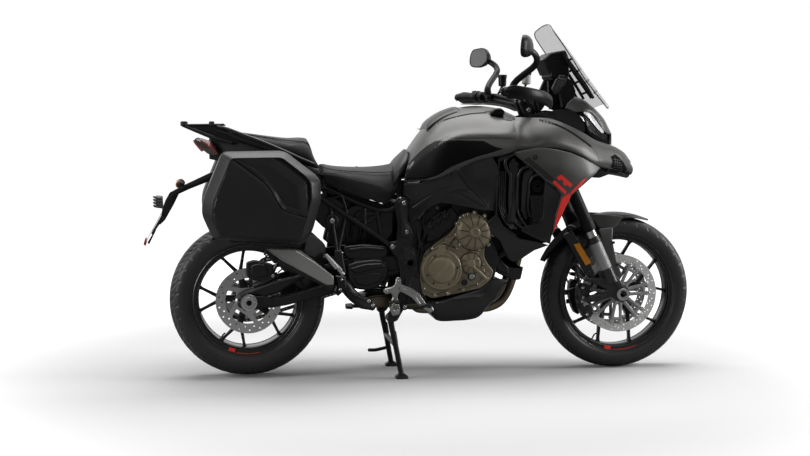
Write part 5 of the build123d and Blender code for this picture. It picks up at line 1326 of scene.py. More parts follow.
# ---------------------------------------------------------------- steered parts
def up_leg(z, side):
    """A point on a fork leg's axis at height z."""
    return (fork_x(z), side * FORK_HALF, z)


def fork():
    """Fork legs with their feet, side shields and reflectors."""
    outer, slide, lower, chrome, refl, foot, collar = shapes(7)
    for side in (-1, 1):
        for shape, low, high, radius in ((outer, 640, 1062, 27.5), (outer, 596, 644, 29.5),
                                         (outer, 606, 634, 31), (chrome, 566, 598, 23.5),
                                         (lower, 545, 570, 28.5), (slide, 436, 548, 27),
                                         (lower, 376, 438, 28), (lower, 548, 556, 31),
                                         (outer, 1058, 1066, 22)):
            shape.rod(up_leg(low, side), up_leg(high, side), radius, sides=40, chamfer=1.5)
        outer.bolt(up_leg(1066, side), (-math.tan(RAKE), 0, 1), 12, 6)
    outer.piece("fork_outer_black", FORK_BLACK, "steering", "black_alloy", ("fork_outer_tubes",), bevel=0)
    chrome.piece("fork_chrome", STEEL, "steering", "bright_steel")
    slide.piece("fork_sliders", SATIN_GREY, "steering", "bright_steel", ("fork_lower_legs",))
    for side in (-1, 1):
        y0, y1 = side * 92, side * 124
        foot.prism([(1508, 400), (1530, 414), (1548, 398), (1566, 372), (1590, 356), (1602, 330),
                    (1590, 300), (1566, 290), (1542, 300), (1520, 316), (1470, 300), (1412, 292),
                    (1400, 306), (1420, 322), (1480, 330), (1500, 346), (1440, 376), (1400, 386),
                    (1402, 400), (1452, 396)], y0, y1, 4, 8)
        foot.prism([(1520, 386), (1534, 396), (1578, 352), (1590, 330), (1580, 316), (1556, 338)],
                   side * 122, side * 128, 2, 5)
        for x, z in ((1430, 386), (1428, 306)):
            lower.bolt((x, side * 124, z), (0, side, 0), 9, 6)
        collar.lathe([(0, 26), (side * 5, 27), (side * 8, 25), (side * 8, 18), (side * 4, 16),
                      (side * -6, 15)], (FRONT[0], side * 124, FRONT[1]), (0, 1, 0), 36)
    foot.piece("fork_feet", FOOT_GREY, "steering", "bright_steel", bevel=1.2)
    collar.piece("fork_axle_collars", SATIN_GREY, "steering", "bright_steel")
    lower.piece("fork_black_collars", BLACK_ALLOY, "steering", "black_alloy")
    shield = Shape()
    for side in (-1, 1):
        shield.prism([(1312, 582), (1350, 596), (1380, 552), (1424, 470), (1452, 402), (1436, 392),
                      (1404, 414), (1372, 470)],
                     side * 96, side * 116, 4, 7)
        refl.prism([(1352, 540), (1377, 546), (1430, 462), (1406, 450)], side * 116, side * 120.5, 1.2, 3)
        shield.bolt((1420, side * 116, 420), (0, side, 0), 7, 4)
    shield.piece("fork_side_shields", SMOOTH_PLASTIC, "steering", "black_plastic", bevel=1.0)
    refl.piece("amber_reflectors", AMBER, "steering", "red_lamp")


def mudguard():
    """Front mudguard over the tyre, with the fork guards that hang from it."""
    skin, guard, bolts = shapes(3)
    rows = []
    for at, half, rise, drop in ((64, 4, 16, 4), (68, 26, 15, 8), (76, 50, 15, 14), (84, 64, 15, 20),
                                 (92, 71, 15, 30), (100, 75, 15, 42), (110, 78, 15, 46),
                                 (119, 79, 14, 30), (124, 79, 14, 12)):
        r = FRONT[1] + rise
        middle = ring(r, at, FRONT)
        edge = ring(r - drop * 0.25, at, FRONT)
        low = ring(r - drop, at, FRONT)
        rows.append([(low[0], half + 1, low[1]), (edge[0], half * 0.92, edge[1]),
                     (middle[0], half * 0.5, middle[1] + 1), (middle[0], 0, middle[1] + 3)])
    skin.loft(sheet([both_ways(row) for row in rows], 4, 3), closed=False, ends=False)
    for side in (-1, 1):
        height = surface([(1440, 640, 86), (1500, 650, 88), (1560, 640, 84), (1556, 612, 92),
                          (1469, 603, 100), (1521, 556, 110), (1539, 479, 112), (1567, 407, 112),
                          (1548, 391, 114), (1520, 430, 114), (1484, 515, 112), (1400, 640, 84)])
        relief(guard, [(1466, 604), (1531, 608), (1524, 556), (1540, 480), (1568, 408), (1560, 392),
                       (1546, 390), (1520, 430), (1484, 516)], height, 8, 4, 12, 4, side)
        relief(skin, [(1392, 668), (1440, 664), (1520, 660), (1584, 652), (1560, 622), (1534, 600),
                      (1468, 606), (1448, 634), (1412, 648)],
               lambda x, z: height(x, z) - 3, 8, 4, 10, 4, side)
        for x, z in ((1536, 545), (1552, 452)):
            bolts.bolt((x - 8, side * 111, z), (0, side, 0), 6, 4)
    skin.piece("front_mudguard_painted", MUDGUARD, "steering", "graphite_paint", ("front_mudguard",),
               solid=3, sharp=50)
    guard.piece("fork_guards", PAINT, "steering", "graphite_paint", sharp=50)
    bolts.piece("fork_guard_bolts", BLACK_METAL, "steering", "black_metal")


def mudguard_tail():
    """The black rear part of the front mudguard."""
    tail = Shape()
    rows = []
    for at, half, rise in ((122, 79, 13), (132, 75, 12), (140, 68, 14), (147, 58, 17), (153, 44, 21),
                           (157, 30, 25)):
        r = FRONT[1] + rise
        middle = ring(r, at, FRONT)
        edge = ring(r - 7, at, FRONT)
        rows.append([(edge[0], half, edge[1]), (middle[0], half * 0.8, middle[1]),
                     (middle[0], half * 0.4, middle[1]), (middle[0], 0, middle[1])])
    tail.loft(sheet([both_ways(row) for row in rows], 4, 3), closed=False, ends=False)
    tail.piece("front_mudguard_tail", DARK, "steering", "black_plastic", solid=3, sharp=50)


def calipers():
    """Radial front calipers behind the legs: dark bodies with a light face, fed by a hose each."""
    body, face, pads, hose = shapes(4)
    centre = FRONT
    for side in (-1, 1):
        rows = []
        for at in (164, 169, 178, 190, 202, 211, 216):
            reach = 186 if 166 < at < 214 else 178
            o, i = ring(reach, at, centre), ring(132, at, centre)
            y0, y1 = side * 46, side * 92
            rows.append([(o[0], y0, o[1]), (o[0], y1 - side * 10, o[1]),
                         ((o[0] * 3 + i[0]) / 4, y1, (o[1] * 3 + i[1]) / 4),
                         ((o[0] + i[0] * 3) / 4, y1, (o[1] + i[1] * 3) / 4), (i[0], y1 - side * 8, i[1]),
                         (i[0], side * 73, i[1])])
        body.loft(rows)
        plate = [ring(168, 174 + 3.4 * k, centre)
                 for k in range(11)] + [ring(146, 206 - 3.0 * k, centre) for k in range(11)]
        face.prism(plate, side * 90, side * 98, 3)
        for at in (178, 202):
            p = ring(157, at, centre)
            body.lathe([(0, 15), (side * 3, 15), (side * 4, 12), (side * 4, 0)], (p[0], side * 97, p[1]),
                       (0, 1, 0), 24)
        for at in (170, 190, 210):
            p = ring(170, at, centre)
            body.rod((p[0], side * 60, p[1]), (p[0], side * 99, p[1]), 9)
            pads.bolt((p[0], side * 99, p[1]), (0, side, 0), 6, 5)
        for at in (184, 196):
            p = ring(184, at, centre)
            body.rod((p[0] + 12, side * 76, p[1]), (p[0] - 12, side * 80, p[1]), 10)
        hose.tube([spot(180, 172, centre, side * 84), (1376, side * 100, 400), (1362, side * 104, 470),
                   (1352, side * 100, 540), (1330, side * 84, 620), (1290, side * 60, 730),
                   (1262, side * 46, 850)], 3.6, 8)
        for k in range(8):
            p = ring(176, 178 + 3.4 * k, centre)
            pads.rod((p[0], side * 54, p[1]), (p[0] - 9, side * 54, p[1]), 3, sides=8)
    body.piece("front_caliper_castings", CAST_DARK, "steering", "cast_alloy", ("front_calipers",),
               bevel=1.2)
    face.piece("front_caliper_faces", CALIPER_SILVER, "steering", "cast_alloy", bevel=1.0)
    pads.piece("front_caliper_bolts", STEEL, "steering", "black_metal")
    hose.piece("front_brake_hoses", RUBBER, "steering", "black_plastic")


fork()
mudguard()
mudguard_tail()
calipers()


# ---------------------------------------------------------------- panniers
PANNIER = [(-105, 934), (133, 937), (251, 845), (270, 822), (273, 749), (238, 626), (204, 576),
           (-142, 600), (-184, 696), (-180, 752)]
LID_FACE, LID_SHOULDER = 437.5, 384  # from the middle to the lid's face and to where its slopes start
BEVELS = (26, 30, 38, 44, 44, 30, 22, 34, 44, 44)


def line_gap(line, x, z):
    """Distance from points to an open line."""
    best = np.full(len(x), 1e9)
    for a, b in zip(line, line[1:]):
        a, b = np.array(a, float), np.array(b, float)
        d = b - a
        t = np.clip(((x - a[0]) * d[0] + (z - a[1]) * d[1]) / (d @ d), 0, 1)
        best = np.minimum(best, np.hypot(x - a[0] - t * d[0], z - a[1] - t * d[1]))
    return best


def drawn_in(outline, widths):
    """The outline with each edge moved inwards by its own width; it runs clockwise."""
    moved = []
    for (a, b), wide in zip(zip(outline, outline[1:] + outline[:1]), widths):
        dx, dz = b[0] - a[0], b[1] - a[1]
        size = math.hypot(dx, dz)
        nx, nz = dz / size * wide, -dx / size * wide
        moved.append(((a[0] + nx, a[1] + nz), (dx / size, dz / size)))
    out = []
    for (p, u), (q, v) in zip(moved[-1:] + moved[:-1], moved):
        cross = u[0] * v[1] - u[1] * v[0]
        t = ((q[0] - p[0]) * v[1] - (q[1] - p[1]) * v[0]) / cross
        out.append((p[0] + u[0] * t, p[1] + u[1] * t))
    return out


GROOVE = [(-96, 932), (-65, 907), (-10, 867), (52, 819), (84, 779), (103, 743), (131, 711), (212, 684),
          (262, 676)]
RIDGE = [(-70, 918), (14, 914), (88, 905), (206, 817), (212, 758), (216, 690)]


def lid_dome(x, z):
    """How far out the lid's slightly domed face stands."""
    return LID_FACE - 0.00022 * ((x - 30) ** 2 + (z - 740) ** 2)


def pannier_face(x, z):
    """The domed face with a scooped top, cut off by a groove."""
    x, z = np.asarray(x, float), np.asarray(z, float)
    face = lid_dome(x, z)
    above = z > np.interp(x, [p[0] for p in GROOVE], [p[1] for p in GROOVE])
    off = line_gap(GROOVE, x, z)
    ridge = line_gap(RIDGE, x, z)
    scoop = 15 * np.clip(ridge / 30, 0, 1) ** 0.8 * np.clip(off / 14, 0, 1) ** 0.6
    return face - np.where(above, scoop, 0) - 2.5 * np.exp(-(off / 5) ** 2)


def ring_at(outline, y, side, depth=0.0):
    """The case's outline at y, moved in by depth."""
    line = inset(outline, depth) if depth else outline
    return [(x, side * y, z) for x, z in line]


def panniers():
    """The fixed cases and the hinged lids."""
    shape = anticlockwise(rounded(PANNIER, 22, 5))
    case, seal, latch = shapes(3)
    for side, word in ((-1, "right"), (1, "left")):
        case.loft([ring_at(shape, 299, side, 1), ring_at(shape, 292, side), ring_at(shape, 222, side, 2),
                   ring_at(shape, 210, side, 6), ring_at(shape, 206, side, 16),
                   ring_at(shape, 206, side, 60)], ends=False)
        case.loft([ring_at(shape, 206, side, 60)], ends=False)
        back = ring_at(shape, 206, side, 60)
        case.add(back, [tuple(range(len(back)))])
        for k in range(5):
            x = -110 + 62 * k
            case.prism([(x, 640), (x + 10, 640), (x + 16, 880), (x + 6, 880)], side * 203, side * 209, 1.5)
        seal.loft([ring_at(shape, 297, side, 3), ring_at(shape, 304, side, 3),
                   ring_at(shape, 304, side, 8), ring_at(shape, 297, side, 8)],
                  wrap=True)
        lid = Shape()
        brow = anticlockwise(rounded(drawn_in(PANNIER, BEVELS), 16, 5))
        slope = []
        for t in (0.05, 0.12, 0.5, 0.88, 0.96, 1.0):
            out = LID_SHOULDER + (LID_FACE - LID_SHOULDER) * (t + 0.05 * math.sin(math.pi * t))
            level = []
            for a, b in zip(shape, brow):
                x, z = a[0] + (b[0] - a[0]) * t, a[1] + (b[1] - a[1]) * t
                level.append((x, side * min(out, lid_dome(x, z)), z))
            slope.append(level)
        lid.loft([ring_at(shape, 301, side, 0.5), ring_at(shape, 340, side, 0),
                  ring_at(shape, 374, side, 0)] + slope, ends=False)
        relief(lid, brow, pannier_face, 6, 0, 0.5, 0, side)
        # a dark strip along the groove: painted shadow under the groove's step
        grooves = seam(Shape(), lid, GROOVE[1:-1], 5.0, lift=1.3, side=side)
        lid.piece(f"pannier_lid_{word}_shell", CASE_PLASTIC, f"pannier_lid_{word}", "black_plastic",
                  (f"pannier_lid_{word}",), sharp=26)
        grooves.piece(f"pannier_lid_{word}_groove", DARK, f"pannier_lid_{word}", "black_plastic", sharp=0)
        hinge = Shape()
        for start in (70, 230):
            for at in (start - 9, start + 51):
                a = (204 - at * 0.9976, 576 + at * 0.0692)
                hinge.rod((a[0], side * 300.2, a[1] - 9), (a[0] - 8, side * 300.2, a[1] - 8.4), 6.3,
                          sides=16)
                hinge.prism([(a[0] - 8, a[1] - 9), (a[0], a[1] - 9), (a[0], a[1] + 4),
                             (a[0] - 8, a[1] + 4)], side * 301, side * 313, 1)
        hinge.piece(f"pannier_lid_{word}_hinge", BLACK_METAL, f"pannier_lid_{word}", "black_metal")
        for start in (70, 230):
            a, b = (204 - start * 0.9976, 567 + start * 0.0692), (204 - (start + 50) * 0.9976,
                    567 + (start + 50) * 0.0692)
            latch.rod((a[0], side * 300, a[1]), (b[0], side * 300, b[1]), 6.3, sides=16)
            latch.prism([(b[0], b[1]), (a[0], a[1]), (a[0], a[1] + 13), (b[0], b[1] + 13)], side * 287,
                        side * 299.5, 1)
        latch.rod((204 - 60, side * 300, 571), (204 - 290, side * 300, 587), 3, sides=12)
        latch.prism([(150, 560), (196, 556), (204, 590), (170, 594), (150, 584)], side * 226, side * 286,
                    3, 4)
        latch.prism([(-150, 590), (-90, 588), (-90, 612), (-140, 616)], side * 226, side * 286, 3, 4)
    case.piece("pannier_case_shells", PLASTIC, "chassis", "black_plastic", ("pannier_cases",), sharp=40,
               solid=3)
    seal.piece("pannier_seals", RUBBER, "chassis", "black_plastic")
    latch.piece("pannier_feet", BLACK_METAL, "chassis", "black_metal")


# ---------------------------------------------------------------- seats
VOXEL = 0.006  # the cushions' mesh size in metres
PRESSURE = 3.0
SWELL = 0.004  # how far the foam may swell, in metres


def puffed(made):
    """Foam under its cover: the form swells under cloth pressure, by no more than the cap, then
    is smoothed."""
    bpy.context.view_layer.objects.active = made
    made.select_set(True)
    step = made.modifiers.new("remesh", "REMESH")
    step.mode = "VOXEL"
    step.voxel_size = VOXEL
    bpy.ops.object.modifier_apply(modifier=step.name)
    mesh = made.data
    start = np.empty(len(mesh.vertices) * 3)
    mesh.vertices.foreach_get("co", start)
    cloth = made.modifiers.new("cloth", "CLOTH")
    cloth.settings.use_pressure = True
    cloth.settings.uniform_pressure_force = PRESSURE
    cloth.settings.effector_weights.gravity = 0
    cloth.settings.tension_stiffness = cloth.settings.compression_stiffness = 30
    cloth.settings.bending_stiffness = 8
    cloth.settings.quality = 5
    for frame_at in range(1, 21):
        scene.frame_set(frame_at)
    swollen = made.evaluated_get(bpy.context.evaluated_depsgraph_get()).data
    end = np.empty(len(swollen.vertices) * 3)
    swollen.vertices.foreach_get("co", end)
    made.modifiers.remove(cloth)
    scene.frame_set(1)
    move = (end - start).reshape(-1, 3)
    far = np.linalg.norm(move, axis=1, keepdims=True)
    move = move * np.minimum(1, SWELL / np.maximum(far, 1e-9))
    mesh.vertices.foreach_set("co", (start.reshape(-1, 3) + move).ravel())
    soften = made.modifiers.new("soften", "SMOOTH")
    soften.factor = 0.5
    soften.iterations = 4
    mesh.polygons.foreach_set("use_smooth", [True] * len(mesh.polygons))
    made.select_set(False)
    return made


RIDER_ROWS = [
    [(300, 150, 806), (300, 160, 838), (300, 134, 864), (300, 68, 876), (300, 0, 878)],
    [(350, 156, 778), (348, 163, 830), (345, 140, 854), (342, 68, 866), (342, 0, 868)],
    [(402, 158, 757), (398, 164, 818), (394, 136, 849), (392, 64, 861), (392, 0, 863)],
    [(452, 158, 739), (448, 162, 806), (446, 130, 846), (446, 58, 859), (446, 0, 861)],
    [(506, 154, 724), (502, 155, 794), (500, 118, 842), (500, 52, 859), (500, 0, 862)],
    [(556, 146, 711), (556, 143, 782), (556, 101, 842), (554, 46, 863), (554, 0, 867)],
    [(590, 134, 740), (594, 129, 792), (596, 88, 846), (594, 40, 870), (594, 0, 875)],
    [(616, 122, 784), (622, 114, 818), (624, 80, 860), (624, 36, 882), (624, 0, 887)],
    [(628, 110, 826), (634, 100, 846), (640, 70, 876), (642, 30, 892), (642, 0, 897)],
]
PILLION_ROWS = [
    [(-72, 86, 984), (-76, 92, 995), (-76, 68, 1006), (-74, 30, 1009), (-74, 0, 1009)],
    [(0, 110, 958), (0, 117, 980), (0, 90, 996), (0, 40, 1001), (0, 0, 1000)],
    [(80, 131, 931), (80, 139, 957), (80, 110, 984), (80, 50, 990), (80, 0, 989)],
    [(160, 142, 903), (160, 148, 939), (160, 119, 972), (160, 56, 981), (160, 0, 980)],
    [(222, 146, 881), (222, 150, 924), (224, 117, 967), (226, 56, 981), (226, 0, 982)],
    [(248, 144, 867), (249, 147, 910), (248, 113, 952), (247, 56, 967), (247, 0, 970)],
    [(272, 138, 857), (274, 139, 880), (266, 110, 902), (262, 56, 914), (262, 0, 917)],
    [(286, 132, 852), (288, 133, 862), (284, 108, 871), (280, 56, 878), (280, 0, 880)],
]


def cushion(name, rows, low, replaced):
    """A padded seat from half rows that run from its edge to its middle."""
    form, grid = Shape(), []
    for row in rows:
        half = curve_through(row, 5)
        base = [(row[0][0] + 4, y, max(z, row[0][2] + low)) for y, z in ((0, 0), (row[0][1] * 0.5, 0),
                (row[0][1] * 0.85, row[0][2] + low))]
        loop = base + half
        grid.append([(x, -y, z) for x, y, z in loop] + [(x, y, z) for x, y, z in loop[-2:0:-1]])
    form.loft(sheet(grid, 5, 1))
    made = form.piece(name, SEAT, "chassis", "seat_cover", (replaced,), sharp=0)
    puffed(made)


def seats():
    """Both seats with their piping and stitches."""
    cushion("rider_seat_cushion", RIDER_ROWS, 14, "rider_seat")
    cushion("passenger_seat_cushion", PILLION_ROWS, 8, "passenger_seat")
    thread, piping = shapes(2)
    for side in (-1, 1):
        for rows in (RIDER_ROWS, PILLION_ROWS):
            brow = [row[2] for row in rows]
            path = curve_through([(x, side * (y + 4.5), z + 3.0) for x, y, z in brow], 6)
            piping.tube(path, 1.6, 8, 1)
            for a, b in zip(path, path[1:]):
                a, b = Vector(a), Vector(b)
                for t in (0.05, 0.55):
                    p, q = a.lerp(b, t), a.lerp(b, t + 0.34)
                    thread.rod((p.x, p.y - side * 6, p.z + 2.2), (q.x, q.y - side * 6, q.z + 2.2), 0.7,
                               sides=6, chamfer=0.2)
        edge = [row[1] for row in RIDER_ROWS[:7]]
        low = curve_through([(x, side * (y + 2), z + 3) for x, y, z in edge], 6)
        piping.tube(low, 1.4, 8, 1)
    across = curve_through([(452 + abs(y) * 0.10, y,
                             866.5 - (y / 108) ** 2 * 17) for y in range(-108, 109, 27)], 4)
    piping.tube(across, 1.6, 8, 1)
    piping.piece("seat_piping", RUBBER, "chassis", "seat_cover")
    thread.piece("seat_stitching", BLACK_METAL, "chassis", "seat_cover")


# ---------------------------------------------------------------- tail
def tail():
    """The tail light behind its smoked lenses, with a red band between them."""
    lens, strip, edge = shapes(3)
    leaf = [(-210, 980), (-196, 987), (-148, 973), (-126, 946), (-111, 920), (-130, 912), (-158, 922),
            (-184, 944)]
    depth = surface([(-210, 980, 52), (-196, 987, 58), (-148, 973, 90), (-126, 946, 98), (-111, 920, 102),
                     (-130, 912, 92), (-158, 922, 78), (-184, 944, 62), (-150, 948, 88)])
    for side in (-1, 1):
        relief(edge, leaf, lambda x, z: depth(x, z) - 3, 7, 2, 20, 4, side)
        relief(lens, inset(anticlockwise(leaf), 3), depth, 7, 2, 4, 3, side)
        relief(strip, [(-196, 982), (-178, 983), (-146, 972), (-131, 945), (-122, 928), (-132, 924),
                       (-140, 940), (-156, 952), (-178, 968)],
               lambda x, z: depth(x, z) + 0.8, 6, 1, 3, 2, side)
    band = Shape()
    band.loft(sheet([[(-208, -52, 978), (-214, -26, 976), (-216, 0, 975), (-214, 26, 976),
                      (-208, 52, 978)],
                     [(-198, -54, 960), (-204, -26, 958), (-206, 0, 957), (-204, 26, 958),
                      (-198, 54, 960)],
                     [(-172, -66, 934), (-180, -30, 930), (-182, 0, 929), (-180, 30, 930),
                      (-172, 66, 934)]], 4, 3), closed=False, ends=False)
    band.piece("tail_light_band", RED_LAMP, "chassis", "red_lamp", solid=2, sharp=50)
    edge.piece("tail_light_housing", SMOOTH_PLASTIC, "chassis", "black_plastic", sharp=45)
    lens.piece("tail_light_lens", SMOKED, "chassis", "red_lamp", ("tail_light",), sharp=45)
    strip.piece("tail_light_red_strip", RED_LAMP, "chassis", "red_lamp", sharp=45)


def tail_cowl():
    """The plastic round the rear of the seats."""
    cowl = Shape()
    rows = []
    for x, half, top, low in ((-150, 62, 996, 900), (-112, 74, 990, 892), (-40, 98, 976, 880),
                              (60, 128, 944, 866), (160, 144, 910, 842), (250, 148, 874, 822),
                              (286, 146, 862, 826)):
        rows.append([(x, half * 0.86, low), (x, half - 2, low + (top - low) * 0.25),
                     (x, half, low + (top - low) * 0.6), (x, half - 6, top - 4), (x, half - 26, top)])
    for side in (-1, 1):
        cowl.loft(sheet([[(x, side * y, z) for x, y, z in row] for row in rows], 5, 4), closed=False,
                  ends=False)
    cowl.loft([[(-150, -54, 900), (-150, 54, 900)], [(-152, -60, 940), (-152, 60, 940)],
               [(-150, -40, 996), (-150, 40, 996)]],
              closed=False, ends=False)
    cowl.piece("tail_cowl", PLASTIC, "chassis", "black_plastic", ("tail_unit",), solid=3, sharp=40)


def rear_rack():
    """The rack plate, its knobs and the grab rails."""
    rack, knobs, rails = shapes(3)
    for side in (-1, 1):
        rails.tube([(-120, side * 106, 1030), (-80, side * 104, 1021), (-20, side * 112, 998),
                    (60, side * 132, 968), (140, side * 150, 934), (210, side * 156, 902),
                    (264, side * 156, 880)], [7, 8, 8.5, 8.5, 8.5, 8, 6], 12)
        rails.tube([(-118, side * 98, 1016), (-60, side * 98, 996), (20, side * 116, 968),
                    (110, side * 138, 934), (190, side * 150, 898)],
                   [9, 10, 10, 9, 6], 12)
        rack.prism([(-262, 1033), (-264, 1041), (-92, 1043), (-84, 1034)], side * 46, side * 104, 2.5)
        rack.prism([(-262, 1040), (-150, 1040), (-90, 1026), (-40, 996), (-10, 966), (-70, 962),
                    (-136, 980), (-200, 1008)], side * 84, side * 98, 2, 6)
        rails.tube([(-256, side * 98, 1036), (-196, side * 100, 1012), (-130, side * 98, 986),
                    (-60, side * 98, 966)], [6, 8, 9, 8], 12)
        for x, y, r in ((-250, 92, 14), (-140, 96, 11)):
            knobs.lathe([(-8, r - 3), (-6, r), (5, r), (9, r - 1), (11, r - 4), (11, 0)],
                        (x, side * y, 1041), (0, 0, 1), 20)
    for k in range(4):
        x = -254 + 48 * k
        rack.prism([(x, 1032), (x, 1042), (x + 14, 1042), (x + 14, 1032)], -60, 60, 2)
    rack.piece("rack_plate", PLASTIC, "chassis", "black_plastic", ("rear_rack",), bevel=1.2)
    rails.piece("grab_rails", SMOOTH_PLASTIC, "chassis", "black_plastic")
    knobs.piece("rack_knobs", RUBBER, "chassis", "black_plastic")


def plate_carrier():
    """The plate arm with its lamps, its blank plate and the rear indicators."""
    arm, lens, lamp, plate, refl = shapes(5)
    rows = []
    for x, z, half, thick in ((-60, 862, 30, 40), (-100, 846, 32, 44), (-160, 822, 30, 40),
                              (-220, 796, 26, 34), (-268, 774, 24, 33), (-296, 754, 24, 36),
                              (-312, 724, 24, 38), (-328, 690, 24, 32), (-339, 658, 20, 20),
                              (-355, 636, 16, 10)):
        up = (0.35, 0.94) if x > -280 else (-0.86, 0.5)
        rows.append([(x + up[0] * thick / 2, -half, z + up[1] * thick / 2),
                     (x + up[0] * thick / 2, half, z + up[1] * thick / 2), (x, half * 1.1, z),
                     (x - up[0] * thick / 2, half * 0.8, z - up[1] * thick / 2),
                     (x - up[0] * thick / 2, -half * 0.8, z - up[1] * thick / 2), (x, -half * 1.1, z)])
    arm.loft(rows)
    for k in range(6):
        x = -120 - 26 * k
        z = 834 - 10.5 * k
        arm.prism([(x, z - 4), (x + 3, z - 4), (x + 4, z + 8), (x, z + 7)], -27, 27, 0.6)
    for side in (-1, 1):
        arm.tube([(-262, side * 18, 788), (-262, side * 60, 792), (-262, side * 92, 798)], [9, 7, 8], 12)
        arm.lathe([(0, 8), (4, 13), (30, 15), (44, 12), (48, 6), (48, 0)], (-262, side * 88, 799),
                  (-0.2, side, 0.05), 20)
        lens.lathe([(0, 13), (3, 13.4), (9, 9), (11, 0)], (-275, side * 112, 800), (-1, side * 0.2, 0), 20)
    arm.prism([(-334, 664), (-344, 674), (-384, 604), (-380, 598)], -88, 88, 2)
    arm.prism([(-368, 610), (-375, 606), (-402, 562), (-395, 556)], -40, 40, 2)
    arm.piece("plate_arm", PLASTIC, "chassis", "black_plastic", ("plate_holder",), bevel=1.5)
    lens.piece("indicator_lenses", AMBER, "chassis", "red_lamp")
    for k in range(4):
        lamp.prism([(-338, 708 + 12 * k), (-340, 699 + 12 * k), (-374, 705 + 12 * k),
                    (-380, 714 + 12 * k)], -26, 26, 2, 3)
    arm.prism([(-308, 742), (-318, 702), (-344, 702), (-346, 748)], -18, 18, 3, 5)
    lamp.prism([(-340, 750), (-338, 700), (-366, 702), (-368, 752)], -22, 22, 3, 4)
    lamp.piece("plate_lamp", TRIM_GREY, "chassis", "cast_alloy", bevel=1)
    plate.prism([(-346, 676), (-348, 678), (-406, 572), (-404, 570)], -84, 84, 0.6)
    plate.piece("blank_plate", PLATE, "chassis", "black_plastic")
    refl.prism([(-402, 574), (-410, 582), (-418, 556), (-410, 548)], -30, 30, 2)
    refl.piece("rear_reflector", RED_LENS, "chassis", "red_lamp")


panniers()
seats()
tail()
tail_cowl()
rear_rack()
plate_carrier()


# ---------------------------------------------------------------- engine
CLUTCH, CAM_DRIVE, PUMP, ROUND_CAP, HEX_PLUG = (778, 450), (914, 602), (899, 474), (872, 396), (904, 420)
ALTERNATOR = (872, 462)
COVER_FACE = -187  # just outside the right cover's flat face
DRIVE_SPROCKET = (740.0, 480.0)
CHAIN_PITCH = 15.875  # five eighths of an inch


def disc_cover(shape, centre, y, profile, side=-1, sides=48):
    """A turned cover on the side of the engine."""
    shape.lathe([(side * a, r) for a, r in profile], (centre[0], side * y, centre[1]), (0, 1, 0), sides)


def ribs(shape, centre, inner, outer, count, y0, y1, start=0.0, width=3.0, side=-1, span=360.0):
    """Raised straight ribs that fan out from a hub, lower at their outer end."""
    for k in range(count):
        at = start + span * k / count
        a, b = ring(inner, at, centre), ring(outer, at, centre)
        nx, nz = -math.sin(math.radians(at)) * width / 2, math.cos(math.radians(at)) * width / 2
        rows = []
        for (x, z), y in ((a, y0), (b, y1)):
            rows.append([(x - nx * 1.4, side * (y - 6), z - nz * 1.4), (x - nx, side * (y - 0.6), z - nz),
                         (x, side * y, z), (x + nx, side * (y - 0.6), z + nz),
                         (x + nx * 1.4, side * (y - 6), z + nz * 1.4)])
        shape.loft(rows, closed=False)


def cover_shadow_lines():
    """Thin dark lines where the right covers meet and fold: painted shadows of their grooves and ribs."""
    shadow_lines = Shape()
    for k in range(11):
        at = 8 + 360 * k / 11
        shadow_lines.tube([spot(r, at, CAM_DRIVE, -y) for r, y in ((25, 210), (40, 211), (54, 208.5),
                (64, 203), (72, 194))],
                     1.5, 6, 2)
    for k in range(8):
        at = 20 + 45 * k
        shadow_lines.tube([spot(r, at, PUMP, -y) for r, y in ((20, 202), (30, 202), (37, 200), (42, 196))],
                     1.3, 6, 2)
    for line in (((838, 536), (812, 560)), ((800, 534), (846, 590)), ((850, 540), (880, 590)),
                 ((786, 556), (838, 536)), ((846, 590), (880, 560)), ((880, 512), (904, 540)),
                 ((934, 520), (952, 560)), ((846, 366), (930, 388)), ((930, 388), (954, 430)),
                 ((862, 500), (850, 470)), ((820, 560), (860, 620)), ((900, 520), (880, 545)),
                 ((944, 470), (958, 452)), ((760, 352), (800, 360))):
        shadow_lines.tube([(x, COVER_FACE, z) for x, z in line], 1.5, 6, 3)
    for r, y in ((81.5, 203), (88, 184)):
        shadow_lines.tube([spot(r, 7.5 * k, CLUTCH, -y) for k in range(49)], 1.3, 6, 1)
    shadow_lines.tube([spot(76, 200 + 10 * k, CAM_DRIVE, COVER_FACE) for k in range(15)], 1.5, 6, 1)
    shadow_lines.tube([spot(45, 12 * k, PUMP, COVER_FACE) for k in range(31)], 1.3, 6, 1)
    shadow_lines.piece("engine_cover_shadow_lines", SHADOW_LINE_PAINT, "chassis", "bronze_cover", sharp=0)


